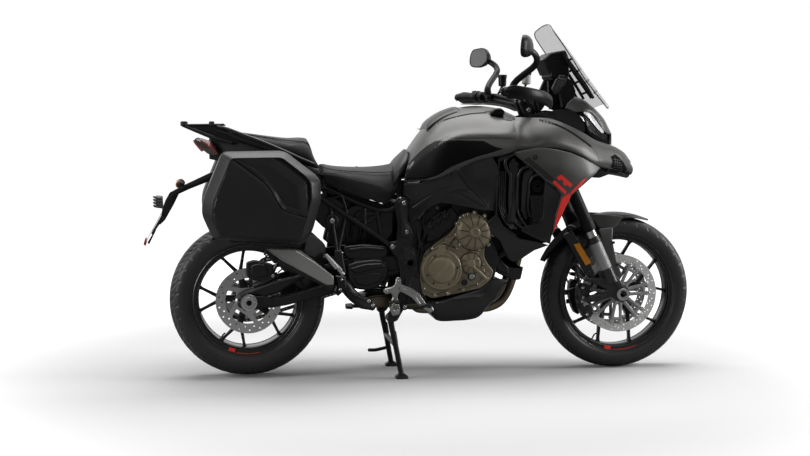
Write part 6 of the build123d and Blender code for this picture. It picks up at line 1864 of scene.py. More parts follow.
def engine_right():
    """The right engine covers with their ribs, painted shadow lines and bolts."""
    base, covers, bolts, dark = shapes(4)
    outline = [(700, 352), (745, 330), (822, 344), (945, 368), (985, 402), (1000, 440), (974, 470),
               (958, 500), (966, 560), (978, 606), (966, 650), (934, 676), (892, 682), (858, 664),
               (838, 622), (816, 596), (760, 560), (722, 528), (700, 498), (690, 420)]
    base.prism(outline, -176, -148, 4, 12)
    base.prism([(706, 362), (760, 344), (822, 356), (936, 378), (966, 410), (960, 452), (930, 480),
                (944, 560), (956, 610), (946, 648), (912, 664), (870, 650), (846, 606), (812, 580),
                (762, 550), (722, 516), (704, 470)], -186, -174, 4, 12)
    base.piece("engine_side_cover", BRONZE, "chassis", "bronze_cover", ("engine_covers",), bevel=1.0)
    cover_shadow_lines()
    disc_cover(covers, CLUTCH, 180, [(0, 86), (16, 86), (24, 82), (28, 76), (28, 60), (27, 56), (31, 53),
                                     (36, 50), (38, 46), (38, 20), (37.4, 0)])
    disc_cover(covers, CLUTCH, 204, [(0, 78.5), (5.4, 78.5), (6, 77.5), (6, 75), (5.4, 74), (0, 74)],
               sides=56)
    for start, span, count in ((56, 52, 8), (-32, 36, 6), (122, 14, 2)):
        rows = []
        for k in range(count + 1):
            at = start + span * k / count
            o, i = ring(71, at, CLUTCH), ring(63, at, CLUTCH)
            rows.append([(o[0], -207, o[1]), (o[0], -211.5, o[1]), (i[0], -211.5, i[1]),
                         (i[0], -207, i[1])])
        covers.loft(rows)
    for at in (118, 198, 236, 296, 8):
        x, z = ring(64, at, CLUTCH)
        dark.bolt((x, -208, z), (0, -1, 0), 4, 3)
    covers.prism([(752, 512), (766, 550), (790, 552), (784, 516)], -212, -200, 2, 4)
    disc_cover(covers, CAM_DRIVE, 184, [(0, 74), (8, 73), (18, 64), (24, 54), (26, 40), (26, 22),
                                        (30, 20), (32, 17), (32, 12), (29, 10), (29, 0)], sides=36)
    ribs(covers, CAM_DRIVE, 19, 72, 11, 213, 197, start=8, width=3.4)
    disc_cover(dark, CAM_DRIVE, 209, [(0, 23.5), (2.2, 23.5), (2.2, 20.5), (0, 20.5)], sides=40)
    for k in range(11):
        x, z = ring(79, 8 + 360 / 11 * k + 16, CAM_DRIVE)
        if z > 545:
            covers.lathe([(0, 9), (-10, 8), (-11, 5), (-11, 0)], (x, -184, z), (0, 1, 0), 16)
            bolts.bolt((x, -194, z), (0, -1, 0), 4.6, 4)
    disc_cover(covers, PUMP, 184, [(0, 43), (10, 42), (16, 36), (18, 26), (18, 17), (24, 15), (27, 12),
                                   (27, 0)], sides=32)
    ribs(covers, PUMP, 14, 41, 8, 205, 196, start=20, width=2.8)
    covers.tube([(906, -206, 462), (926, -208, 444), (948, -206, 424), (966, -200, 408)],
                [8, 7.5, 7.5, 7.5], 14)
    covers.lathe([(0, 11), (5, 11.5), (8, 9), (8, 0)], (962, -200, 412), (0.74, 0, -0.67), 18)
    disc_cover(covers, ROUND_CAP, 184, [(0, 21), (6, 21), (9, 18), (9, 15), (6, 14), (6, 0)], sides=30)
    disc_cover(dark, ROUND_CAP, 186, [(4, 13.8), (5, 13.8), (5, 0)], sides=24)
    disc_cover(bolts, HEX_PLUG, 184, [(0, 14), (7, 14), (9, 12), (9, 8), (6, 7), (6, 0)], sides=6)
    disc_cover(dark, HEX_PLUG, 186, [(0, 17), (1, 17), (1, 0)], sides=24)
    for (x0, z0), (x1, z1) in (((786, 556), (846, 590)), ((838, 536), (886, 640)),
                               ((800, 534), (880, 590)), ((850, 530), (866, 640)),
                               ((880, 512), (900, 534)), ((934, 520), (952, 556)),
                               ((846, 372), (930, 392)), ((930, 392), (950, 430)),
                               ((790, 356), (846, 372)), ((862, 500), (846, 470))):
        covers.rod((x0, -185.4, z0), (x1, -185.4, z1), 2.6, sides=10, chamfer=0.6)
    for x, z in ((712, 372), (706, 430), (712, 496), (742, 536), (800, 572), (842, 604), (846, 536),
                 (934, 528), (952, 470), (968, 430), (932, 388), (868, 366), (806, 352), (752, 346),
                 (858, 660), (888, 674), (940, 656)):
        covers.lathe([(0, 8.5), (-4, 8), (-5, 5), (-5, 0)], (x, -183, z), (0, 1, 0), 14)
        bolts.bolt((x, COVER_FACE, z), (0, -1, 0), 4.2, 4)
    covers.piece("clutch_and_drive_covers", BRONZE, "chassis", "bronze_cover", sharp=28, bevel=0)
    bolts.piece("engine_cover_bolts", STEEL, "chassis", "bright_steel")
    dark.piece("engine_cover_seals", BLACK_METAL, "chassis", "black_metal")


def engine_left():
    """The left engine covers."""
    base, covers, bolts, black = shapes(4)
    outline = [(806, 352), (945, 356), (996, 410), (988, 470), (964, 540), (930, 588), (850, 588),
               (806, 545)]
    base.prism(outline, 148, 172, 4, 14)
    base.piece("engine_left_cover", BRONZE, "chassis", "bronze_cover", bevel=1.0)
    disc_cover(covers, ALTERNATOR, 168, [(0, 66), (20, 65), (30, 58), (33, 46), (33, 30), (35, 28),
                                         (38, 24), (38, 0)], side=1)
    ribs(covers, ALTERNATOR, 24, 62, 8, 206, 196, start=10, side=1, width=3.2)
    for k in range(9):
        x, z = ring(74, 40 * k + 10, ALTERNATOR)
        covers.lathe([(0, 8), (8, 7.5), (9, 5), (9, 0)], (x, 170, z), (0, 1, 0), 14)
        bolts.bolt((x, 178, z), (0, 1, 0), 4.2, 4)
    covers.piece("alternator_cover", BRONZE, "chassis", "bronze_cover", sharp=28)
    black.prism([(720, 398), (800, 398), (806, 560), (748, 566), (724, 520)], 150, 182, 5, 12)
    for k in range(5):
        black.prism([(738, 420 + 26 * k), (790, 424 + 26 * k), (790, 430 + 26 * k), (738, 426 + 26 * k)],
                    180, 185, 1)
    black.piece("sprocket_cover", CAST_DARK, "chassis", "black_alloy", bevel=1.0)
    bolts.piece("left_cover_bolts", STEEL, "chassis", "bright_steel")


def fins(shape, centre, along, across, y, count, pitch, length, depth, side):
    """Shallow parallel ribs on a casting's side."""
    for k in range(count):
        off = (k - (count - 1) / 2) * pitch
        x, z = centre[0] + across[0] * off, centre[1] + across[1] * off
        a = (x - along[0] * length / 2, z - along[1] * length / 2)
        b = (x + along[0] * length / 2, z + along[1] * length / 2)
        shape.prism([(a[0] - across[0] * 2, a[1] - across[1] * 2),
                     (b[0] - across[0] * 2, b[1] - across[1] * 2),
                     (b[0] + across[0] * 2, b[1] + across[1] * 2),
                     (a[0] + across[0] * 2, a[1] + across[1] * 2)],
                    side * y, side * (y + depth), 1)


def crankcase():
    """The engine block with its fins, coil housing and hoses."""
    case, head, hoses, bolts = shapes(4)
    case.prism([(700, 348), (950, 346), (1006, 400), (1026, 470), (1024, 520), (988, 604), (905, 640),
                (780, 612), (724, 560), (700, 540)],
               -147, 147, 6, 16)
    case.prism([(730, 302), (930, 302), (955, 350), (712, 350)], -88, 88, 6, 8)
    case.prism([(960, 560), (1010, 500), (1140, 582), (1156, 640), (1118, 702), (1060, 710), (940, 640)],
               -126, 126, 6, 10)
    case.prism([(742, 540), (800, 580), (880, 620), (868, 700), (800, 740), (746, 728), (694, 640),
                (702, 585)], -134, 134, 6, 10)
    for side in (-1, 1):
        fins(case, (1056, 596), (0.84, 0.55), (-0.55, 0.84), 126, 7, 13, 90, 5, side)
        fins(case, (800, 656), (0.42, 0.9), (0.9, -0.42), 134, 6, 15, 90, 5, side)
        for x, z in ((1100, 620), (1076, 668), (1120, 660), (830, 700), (770, 700)):
            bolts.bolt((x, side * 130, z), (0, side, 0), 6, 6)
    case.piece("crankcase", CAST_DARK, "chassis", "black_alloy", ("engine",), bevel=1.2)
    head.prism([(702, 622), (722, 586), (772, 574), (850, 634), (858, 664), (826, 706), (790, 694)], -162,
               -134, 5, 8)
    for k in range(3):
        x, z = 742 + 30 * k, 630 + 20 * k
        head.prism([(x - 14, z - 8), (x + 2, z - 22), (x + 18, z + 14), (x + 6, z + 30), (x - 2, z + 10)],
                   -170, -160, 3, 3)
    head.prism([(716, 566), (736, 560), (772, 574), (764, 590), (730, 596)], -160, -130, 3, 4)
    head.piece("coil_housing", SMOOTH_PLASTIC, "chassis", "black_plastic", bevel=1.0)
    for side in (-1, 1):
        hoses.tube([(1010, side * 120, 470), (1052, side * 134, 520), (1080, side * 150, 600),
                    (1074, side * 160, 660)], 15, 14)
        hoses.tube([(700, side * 150, 560), (716, side * 158, 600), (708, side * 150, 648),
                    (730, side * 140, 690)], 8, 12)
        hoses.tube([(960, side * 120, 660), (1000, side * 140, 668), (1030, side * 150, 640),
                    (1046, side * 150, 600)], 9, 12)
        hoses.tube([(740, side * 150, 548), (790, side * 160, 596), (838, side * 164, 640),
                    (866, side * 150, 690)], 4.5, 10)
    hoses.tube([(688, -160, 560), (700, -168, 530), (694, -170, 470), (700, -168, 410), (716, -164, 370)],
               6, 10)
    hoses.tube([(682, -166, 600), (690, -172, 560), (684, -172, 500), (690, -170, 440)], 4, 10)
    hoses.piece("engine_hoses", RUBBER, "chassis", "black_plastic")
    bolts.piece("engine_bolts", STEEL, "chassis", "bright_steel")


PAN_ROWS = ((722, 292, 306, 318, 176), (742, 262, 310, 320, 182), (774, 234, 314, 322, 186),
            (850, 233, 322, 341, 186), (900, 236, 328, 354, 186), (944, 248, 332, 367, 183),
            (984, 292, 336, 397, 176), (1013, 318, 345, 403, 168), (1040, 358, 370, 400, 160),
            (1062, 388, 392, 398, 152))


def belly():
    """The belly pan."""
    pan = Shape()
    rows = []
    for x, low, fold, top, half in PAN_ROWS:
        rows.append([(x, half * 0.86, top + 3), (x, half - 4, top),
                     (x, half - 1, fold + (top - fold) * 0.45), (x, half + 4, fold + 2),
                     (x, half + 2, fold - 3), (x, half - 8, low + (fold - low) * 0.35),
                     (x, half - 22, low + (fold - low) * 0.1), (x, half - 40, low), (x, half * 0.3, low),
                     (x, 0, low)])
    pan.loft(sheet([both_ways(row) for row in rows], 4, 2), closed=False, ends=False)
    pan.piece("belly_pan_moulded", SMOOTH_PLASTIC, "chassis", "black_plastic", ("belly_pan",), solid=4,
              sharp=34)


def exhaust():
    """Header pipes, collector box, link pipe and silencer."""
    pipes, can, cap, shield, bolts = shapes(5)
    for side in (-1, 1):
        y = side * 52
        pipes.tube([(1112, y, 592), (1132, y, 556), (1134, y, 500), (1118, y, 430), (1092, y, 350),
                    (1058, y, 298), (1010, y, 274), (960, y, 271), (860, y, 271), (722, y, 271),
                    (690, y, 284), (664, y, 308)], 17, 22, 5)
        pipes.lathe([(0, 24), (5, 26), (10, 24), (10, 19)], (1133, y, 516), (0.03, 0, 1), 24)
    pipes.piece("header_pipes", PIPE, "chassis", "bright_steel", ("exhaust_headers",))
    box = Shape()
    box.prism([(440, 294), (440, 328), (520, 345), (690, 335), (717, 300), (700, 285), (520, 285)], -86,
              86, 8, 12)
    for side in (-1, 1):
        box.prism([(470, 300), (470, 322), (530, 334), (660, 326), (680, 304), (660, 296), (530, 296)],
                  side * 84, side * 90, 3, 6)
    box.piece("collector_box", PIPE, "chassis", "bright_steel", bevel=1.5)
    link = Shape()
    link.tube([(470, -90, 316), (462, -130, 320), (446, -164, 328), (424, -182, 344), (402, -188, 366),
               (386, -190, 388), (366, -192, 402)],
              [22, 23, 24, 24, 24, 25, 26], 24)
    link.prism([(394, 340), (440, 300), (498, 290), (506, 300), (500, 332), (462, 344), (424, 362),
                (404, 382), (386, 374)], -214, -160, 8, 10)
    link.piece("link_pipe_cover", BLACK_METAL, "chassis", "black_metal", ("silencer",), bevel=1.5)
    for x, z in ((494, 312), (478, 330)):
        bolts.bolt((x, -213, z), (0, -1, 0), 7, 5)
    body = [(67, 534), (78, 549), (150, 545), (203, 539), (262, 496), (330, 436), (346, 408), (344, 380),
            (318, 378), (280, 402), (202, 440), (103, 492)]
    can.prism(body, -222, -156, 9, 10)
    can.piece("silencer_can", SILENCER, "chassis", "black_metal", bevel=2)
    shield.prism([(68, 545), (84, 550), (182, 542), (264, 489), (334, 434), (334, 400), (306, 400),
                  (223, 448), (130, 500)], -230, -218, 3, 6)
    shield.piece("silencer_heat_shield", SILENCER_LIGHT, "chassis", "black_metal", bevel=1.5)
    cap.prism([(60, 536), (78, 552), (112, 549), (108, 490), (98, 488)], -226, -152, 6, 5)
    for z in (506, 530):
        cap.lathe([(0, 13), (8, 13), (8, 11), (2, 10), (2, 0)], (70, -190, z), (-0.88, 0, 0.35), 20)
    cap.prism([(338, 440), (352, 436), (382, 432), (386, 384), (352, 352), (336, 372), (346, 404)], -224,
              -158, 5, 6)
    cap.piece("silencer_end_caps", BLACK_METAL, "chassis", "black_metal", bevel=1.2)
    for x, z in ((366, 420), (360, 380)):
        bolts.bolt((x, -228, z), (0, -1, 0), 5, 4)
    bolts.piece("exhaust_bolts", STEEL, "chassis", "bright_steel")


# ---------------------------------------------------------------- frame, swingarm, footrests
def tube_run(shape, points, radius, sides=14):
    """A frame tube."""
    shape.tube(points, radius, sides, 4)


def frame_rear():
    """Pivot plates, subframe tubes and airbox sides."""
    plate, tubes, bolts, caps, side_box, faces = shapes(6)
    outline = [(588, 726), (604, 744), (634, 746), (652, 734), (656, 708), (646, 660), (650, 628),
               (662, 606), (668, 580), (660, 560), (690, 520), (708, 470), (704, 430), (716, 372),
               (722, 322), (700, 308), (640, 310), (600, 240), (568, 232), (556, 244), (562, 272),
               (602, 328), (616, 420), (598, 500), (576, 524), (562, 544), (572, 566), (596, 566),
               (602, 640), (592, 690)]
    for side in (-1, 1):
        plate.prism(outline, side * 150, side * 168, 3.5, 9)
        plate.prism([(600, 724), (616, 738), (642, 734), (648, 708), (638, 660), (644, 626), (656, 600),
                     (650, 580), (606, 580), (612, 640), (602, 690)], side * 166, side * 173, 3, 8)
        faces.prism([(612, 716), (622, 728), (636, 724), (640, 706), (630, 662), (636, 628), (648, 604),
                     (640, 588), (612, 586), (618, 640), (609, 690)],
                    side * 171, side * 176.5, 2.5, 6)
        faces.prism([(628, 540), (658, 532), (680, 498), (686, 446), (668, 440), (640, 470), (624, 505)],
                    side * 172, side * 177, 2.5, 8)
        faces.prism([(664, 424), (688, 420), (694, 380), (698, 342), (660, 338), (640, 352), (650, 400)],
                    side * 172, side * 177, 2.5, 8)
        plate.prism([(622, 548), (664, 540), (690, 500), (696, 440), (700, 380), (706, 336), (650, 330),
                     (618, 350), (632, 420), (614, 500)],
                    side * 166, side * 174, 3, 10)
        caps.lathe([(0, 24), (side * 4, 24), (side * 7, 21), (side * 7, 12), (side * 5, 11),
                    (side * 5, 0)], (653, side * 172, 478), (0, 1, 0), 32)
        for x, z, r in ((626, 722, 11), (637, 604, 10), (579, 545, 11)):
            caps.lathe([(0, r + 4), (side * 5, r + 4), (side * 6, r + 2), (side * 6, 0)],
                       (x, side * 170, z), (0, 1, 0), 24)
            bolts.bolt((x, side * 176, z), (0, side, 0), r - 2, 7)
        for x, z in ((612, 742), (690, 330), (712, 350)):
            bolts.bolt((x, side * 170, z), (0, side, 0), 5, 5)
        tube_run(tubes, [(632, side * 140, 716), (560, side * 136, 690), (470, side * 134, 712),
                         (350, side * 132, 762), (200, side * 122, 806), (60, side * 102, 856),
                         (-60, side * 80, 892)], 10)
        tube_run(tubes, [(582, side * 148, 544), (446, side * 146, 638), (294, side * 140, 742),
                         (200, side * 132, 804)], 10.5)
        tube_run(tubes, [(300, side * 144, 787), (340, side * 146, 772), (375, side * 148, 755)], 6)
        tube_run(tubes, [(375, side * 148, 755), (386, side * 148, 720), (398, side * 146, 682)], 6)
        tube_run(tubes, [(300, side * 140, 728), (340, side * 144, 742), (375, side * 148, 755)], 5)
        tube_run(tubes, [(470, side * 138, 622), (470, side * 138, 700)], 8)
        tube_run(tubes, [(540, side * 140, 576), (520, side * 138, 694)], 8)
        caps.lathe([(0, 26), (side * 8, 26), (side * 10, 23), (side * 10, 0)], (336, side * 142, 651),
                   (0, 1, 0), 28)
        bolts.bolt((336, side * 153, 651), (0, side, 0), 10, 7)
        side_box.prism([(392, 655), (430, 640), (560, 560), (590, 600), (588, 690), (540, 700),
                        (430, 716), (400, 700)], side * 116, side * 134, 5, 10)
        side_box.prism([(420, 660), (470, 636), (500, 640), (540, 676), (500, 690), (440, 690)],
                       side * 130, side * 140, 4, 4)
        side_box.prism([(446, 664), (474, 652), (500, 668), (478, 680), (452, 678)], side * 138,
                       side * 144, 3, 3)
        side_box.prism([(262, 700), (290, 640), (330, 600), (380, 620), (400, 680), (380, 730),
                        (330, 752), (290, 742)], side * 118, side * 134, 5, 12)
    for x, z, half in ((350, 756, 128), (60, 850, 100), (-56, 889, 80), (625, 715, 150)):
        tubes.rod((x, -half, z), (x, half, z), 9)
    tubes.rod((653, -150, 471), (653, 150, 471), 16)
    for side in (-1, 1):
        for x, z in ((236, 778), (200, 806), (0, 870)):
            tubes.rod((x, side * 90, z), (x, side * 206, z), 9)
            bolts.lathe([(0, 15), (6, 15), (8, 12), (8, 0)], (x, side * 196, z), (0, side, 0), 20)
    faces.piece("pivot_plate_faces", PIVOT_GREY, "chassis", "cast_alloy", bevel=1.0)
    plate.piece("pivot_castings", FRAME_GREY, "chassis", "cast_alloy", ("pivot_plates",), bevel=1.2)
    caps.piece("pivot_caps", BLACK_METAL, "chassis", "black_metal")
    tubes.piece("subframe_tubes", BLACK_METAL, "chassis", "black_metal", ("subframe",))
    side_box.piece("airbox_sides", SMOOTH_PLASTIC, "chassis", "black_plastic", bevel=1.2)
    bolts.piece("frame_bolts", STEEL, "chassis", "bright_steel")


def stand_bracket():
    """The side stand's fork-shaped bracket and pin."""
    bracket = Shape()
    tip = STAND_TIP
    px, py, pz = STAND_PIVOT
    for off in (-13.5, 13.5):
        bracket.prism([(px - 22, pz - 16), (px + 22, pz - 12), (px + 26, pz + 40), (px + 4, pz + 52),
                       (px - 22, pz + 20)], py - 4 + off * 0.9, py + 4 + off * 0.9, 2, 6)
    bracket.rod((px, py - 17 * math.cos(tip), pz - 17 * math.sin(tip)),
                (px, py + 17 * math.cos(tip), pz + 17 * math.sin(tip)), 6)
    bracket.piece("side_stand_bracket", BLACK_METAL, "chassis", "black_metal", bevel=1)


def swing():
    """The swingarm and its axle blocks, then the axle and the caliper on it."""
    arm, block, bolts = shapes(3)
    upper = [(-46, 336), (-40, 352), (-18, 366), (90, 404), (190, 430), (300, 468), (420, 500),
             (560, 510), (640, 508), (688, 492), (688, 456), (640, 446), (560, 440), (470, 436),
             (404, 428), (300, 452), (190, 404), (120, 362), (60, 345), (30, 356), (-10, 346), (-30, 332)]
    lower = [(-46, 330), (-44, 308), (-14, 294), (60, 298), (150, 310), (330, 352), (470, 396),
             (560, 418), (688, 452), (688, 470), (560, 446), (404, 432), (300, 392), (160, 352),
             (110, 346), (60, 340), (-20, 340)]
    for side in (-1, 1):
        if side < 0:
            arm.prism(upper, side * 114, side * 146, 7, 8)
            arm.prism(lower, side * 114, side * 148, 7, 8)
        else:
            arm.prism([(-46, 306), (-46, 340), (-20, 366), (190, 428), (420, 498), (560, 510), (640, 508),
                       (688, 490), (690, 454), (640, 432), (560, 408), (330, 338), (60, 298), (-14, 292)],
                      114, 146, 9, 10)
            arm.prism([(110, 352), (190, 388), (330, 424), (470, 452), (520, 448), (470, 420), (320, 376),
                       (160, 334)], 140, 149, 3, 8)
        arm.prism([(-30, 306), (-34, 344), (60, 352), (100, 340), (100, 316), (60, 304)], side * 138,
                  side * 150, 3, 4)
        block.prism([(-26, 314), (-28, 340), (28, 344), (30, 312)], side * 146, side * 153, 2, 4)
        block.rod((-30, side * 132, 328), (-64, side * 132, 328), 5)
        bolts.lathe([(0, 12), (6, 12), (8, 10)], (-46, side * 132, 328), (-1, 0, 0), 6)
    arm.prism([(404, 394), (420, 446), (505, 450), (505, 400)], -114, 114, 5, 6)
    arm.rod((655, -146, 471), (655, 146, 471), 28)
    arm.piece("swingarm_castings", SWING_BLACK, "chassis", "black_alloy", ("swingarm",), bevel=1.5)
    block.piece("axle_blocks", CAST, "chassis", "cast_alloy", bevel=0.8)
    rear_axle()
    rear_caliper(bolts)
    bolts.piece("swingarm_bolts", STEEL, "chassis", "bright_steel")


def rear_axle():
    """The axle with its nuts and hollow ends."""
    hub = Shape()
    for side in (-1, 1):
        hub.lathe([(0, 31), (side * 2, 33), (side * 5, 33), (side * 6, 30), (side * 6, 27)],
                  (0, side * 153, REAR[1]), (0, 1, 0), 40)
        hub.lathe([(0, 26), (side * 9, 26), (side * 11, 24), (side * 11, 15), (side * 2, 14),
                   (side * 2, 11)], (0, side * 156, REAR[1]), (0, 1, 0), 6, ends=False)
        hub.lathe([(0, 14), (side * 12, 14), (side * 12, 11), (0, 11), (side * -40, 11)],
                  (0, side * 157, REAR[1]), (0, 1, 0), 32, ends=False)
    # dark plugs in the hollow ends: painted shade inside the axle's bore
    bore_shade = Shape()
    for side in (-1, 1):
        bore_shade.lathe([(0, 12.5), (side * 9, 12.5), (side * 9, 0)], (0, side * 159, REAR[1]), (0, 1, 0), 28)
    bore_shade.piece("rear_axle_bore_shades", DARK, "chassis", "black_plastic")
    hub.piece("rear_axle_nuts", STEEL, "chassis", "bright_steel", ("rear_axle",), sharp=28)
    pipe = Shape().rod((0, -112, REAR[1]), (0, 112, REAR[1]), 14)
    pipe.piece("rear_axle_shaft", STEEL, "chassis", "bright_steel")


def rear_caliper(bolts):
    """The rear caliper and its hose; its bolts join the swingarm's."""
    body, lip = shapes(2)
    centre = REAR
    rows = []
    for at in (36, 42, 50, 58, 66, 74, 80):
        o, i = ring(152 if 38 < at < 78 else 146, at, centre), ring(92, at, centre)
        rows.append([(o[0], -78, o[1]), (o[0], -116, o[1]),
                     ((o[0] * 3 + i[0]) / 4, -124, (o[1] * 3 + i[1]) / 4),
                     ((o[0] + i[0] * 3) / 4, -124, (o[1] + i[1] * 3) / 4), (i[0], -118, i[1]),
                     (i[0], -104, i[1])])
    body.loft(rows)
    body.tube([(118, -118, 436), (96, -120, 424), (60, -122, 404), (20, -118, 384)], [10, 14, 14, 10], 12)
    body.rod((98, -100, 430), (98, -134, 430), 11)
    body.rod((34, -100, 458), (34, -130, 458), 10)
    body.prism([(-10, 486), (21, 496), (62, 487), (97, 478), (104, 447), (98, 422), (62, 408), (22, 412),
                (-8, 428)], -136, -112, 5, 10)
    body.prism([(10, 474), (40, 482), (66, 476), (80, 450), (74, 430), (40, 424), (12, 436)], -142, -134,
               4, 8)
    body.piece("rear_caliper_casting", BLACK_ALLOY, "chassis", "black_alloy", ("rear_caliper",), bevel=1)
    for at in (46, 68):
        x, z = ring(124, at, centre)
        bolts.bolt((x, -124, z), (0, -1, 0), 9, 4)
    bolts.bolt((98, -134, 430), (0, -1, 0), 7, 5)
    lip.tube([(34, -126, 468), (60, -130, 500), (120, -132, 500), (180, -130, 470), (240, -128, 470),
              (330, -140, 500), (420, -140, 520)], 4, 8)
    lip.tube([(118, -126, 442), (150, -132, 470), (170, -130, 490), (240, -124, 500)], 3.2, 8)
    lip.piece("rear_brake_hose", RUBBER, "chassis", "black_plastic")


def chain_run():
    """Outer and inner links along the loop."""
    links, pins = shapes(2)
    a, b, ra, rb = REAR, DRIVE_SPROCKET, 106.0, 41.0
    reach = math.hypot(b[0] - a[0], b[1] - a[1])
    lean = math.atan2(b[1] - a[1], b[0] - a[0])
    spread = math.asin((ra - rb) / reach)
    path = []
    for centre, r, start, end in ((a, ra, lean + math.pi / 2 - spread, lean + 1.5 * math.pi + spread),
                                  (b, rb, lean - math.pi / 2 + spread, lean + math.pi / 2 - spread)):
        steps = max(8, int(abs(end - start) * r / 8))
        path += [(centre[0] + r * math.cos(start + (end - start) * k / steps),
                  centre[1] + r * math.sin(start + (end - start) * k / steps)) for k in range(steps + 1)]
    path.append(path[0])
    gaps = [math.dist(p, q) for p, q in zip(path, path[1:])]
    total = sum(gaps)
    count = int(round(total / CHAIN_PITCH / 2)) * 2
    marks, at, walked_to = [], 0, 0.0
    for k in range(count + 1):
        want = total * k / count
        while at < len(gaps) - 1 and walked_to + gaps[at] < want:
            walked_to += gaps[at]
            at += 1
        t = (want - walked_to) / gaps[at]
        marks.append(tuple(path[at][i] + (path[at + 1][i] - path[at][i]) * t for i in (0, 1)))
    for k in range(count):
        (x0, z0), (x1, z1) = marks[k], marks[k + 1]
        size = math.dist(marks[k], marks[k + 1])
        ux, uz = (x1 - x0) / size, (z1 - z0) / size
        outline = []
        for px, pz, way in ((x0, z0, 1), (x1, z1, -1)):
            base = math.atan2(uz, ux) + (math.pi / 2 if way > 0 else -math.pi / 2)
            outline += [(px + 7 * math.cos(base + math.pi * s / 4),
                         pz + 7 * math.sin(base + math.pi * s / 4)) for s in range(5)]
        for y0, y1 in (((92.4, 94.4), (103.6, 105.6)) if k % 2 else ((94.8, 96.6), (101.4, 103.2))):
            links.prism(outline, y0, y1, 0.3)
        pins.rod((x0, 92, z0), (x0, 106, z0), 3.2, sides=8, chamfer=0.3)
    links.piece("chain_links", CHAIN, "chassis", "black_metal", ("drive_chain",), sharp=30)
    pins.piece("chain_pins", STEEL, "chassis", "bright_steel")


def mudguard_rear():
    """The rear mudguard over the tyre."""
    guard = Shape()
    rows = []
    for at, half, rise in ((84, 60, 10), (80, 84, 12), (72, 90, 14), (62, 93, 15), (52, 94, 15),
                           (42, 94, 15), (32, 93, 15), (24, 90, 15), (20, 84, 15)):
        r = 317.9 + rise
        edge, middle, low = ring(r - 8, at, REAR), ring(r, at, REAR), ring(r - 50 if 24 < at < 60
                else r - 26, at, REAR)
        rows.append([(low[0], half + 1, low[1]), (edge[0], half, edge[1]),
                     (middle[0], half * 0.8, middle[1]), (middle[0], half * 0.4, middle[1]),
                     (middle[0], 0, middle[1])])
    guard.loft(sheet([both_ways(row) for row in rows], 4, 3), closed=False, ends=False)
    guard.piece("rear_mudguard_shell", SMOOTH_PLASTIC, "chassis", "black_plastic", ("rear_mudguard",),
                solid=3, sharp=50)


def chain_guard():
    """The cover over the chain's upper run."""
    cover = Shape()
    cover.prism([(20, 452), (20, 461), (330, 521), (420, 531), (420, 521), (330, 511)], 92, 130, 2)
    cover.prism([(330, 468), (380, 472), (380, 522), (330, 515)], 117, 129, 2)
    cover.piece("chain_guard", PLASTIC, "chassis", "black_plastic", bevel=1)


def side_shields():
    """The moulded shields beside the swingarm's pivot."""
    shields = Shape()
    for side in (-1, 1):
        shields.prism([(378, 548), (460, 556), (556, 548), (566, 524), (556, 500), (480, 494), (400, 496),
                       (380, 520)], side * 149, side * 158, 5, 10)
        shields.prism([(404, 538), (470, 546), (548, 538), (548, 528), (470, 532), (404, 524)],
                      side * 156, side * 161, 2.5, 4)
        shields.prism([(392, 470), (430, 486), (500, 494), (542, 490), (566, 466), (562, 420), (520, 376),
                       (470, 368), (430, 374), (398, 412)],
                      side * 149, side * 162, 6, 12)
        shields.prism([(404, 458), (470, 476), (540, 478), (552, 460), (500, 452), (430, 436)],
                      side * 159, side * 166, 3.5, 8)
        shields.prism([(420, 424), (500, 440), (546, 436), (530, 404), (478, 384), (436, 392)],
                      side * 159, side * 165, 3.5, 8)
        shields.prism([(420, 462), (540, 482), (540, 503), (420, 498)], side * 149, side * 156, 2)
    shields.piece("swingarm_side_shields", SMOOTH_PLASTIC, "chassis", "black_plastic", ("side_shields",),
                  bevel=1.2)


def shock():
    """The damper and its spring."""
    spring, coil = shapes(2)
    low, high = Vector((478, 0, 482)), Vector((556, 0, 676))
    spring.rod((466, 0, 450), (484, 0, 500), 12)
    spring.rod(tuple(low), tuple(high), 17)
    spring.rod(tuple(high), (614, 0, 706), 12)
    spring.lathe([(0, 33), (8, 33), (8, 20)], tuple(low), tuple(high - low), 28)
    spring.lathe([(0, 33), (8, 33), (8, 20)], tuple(high), tuple(low - high), 28)
    axis = (high - low).normalized()
    across = Vector((0, 1, 0))
    other = axis.cross(across)
    line = []
    for k in range(97):
        t = k / 96
        a = 2 * math.pi * 6 * t
        line.append(tuple(low + (high - low) * (0.06 + 0.88 * t)
                          + (across * math.cos(a) + other * math.sin(a)) * 27))
    coil.tube(line, 5.2, 8, 1)
    spring.piece("shock_body", BLACK_ALLOY, "chassis", "black_alloy", ("rear_shock",))
    coil.piece("shock_spring", STEEL, "chassis", "bright_steel")


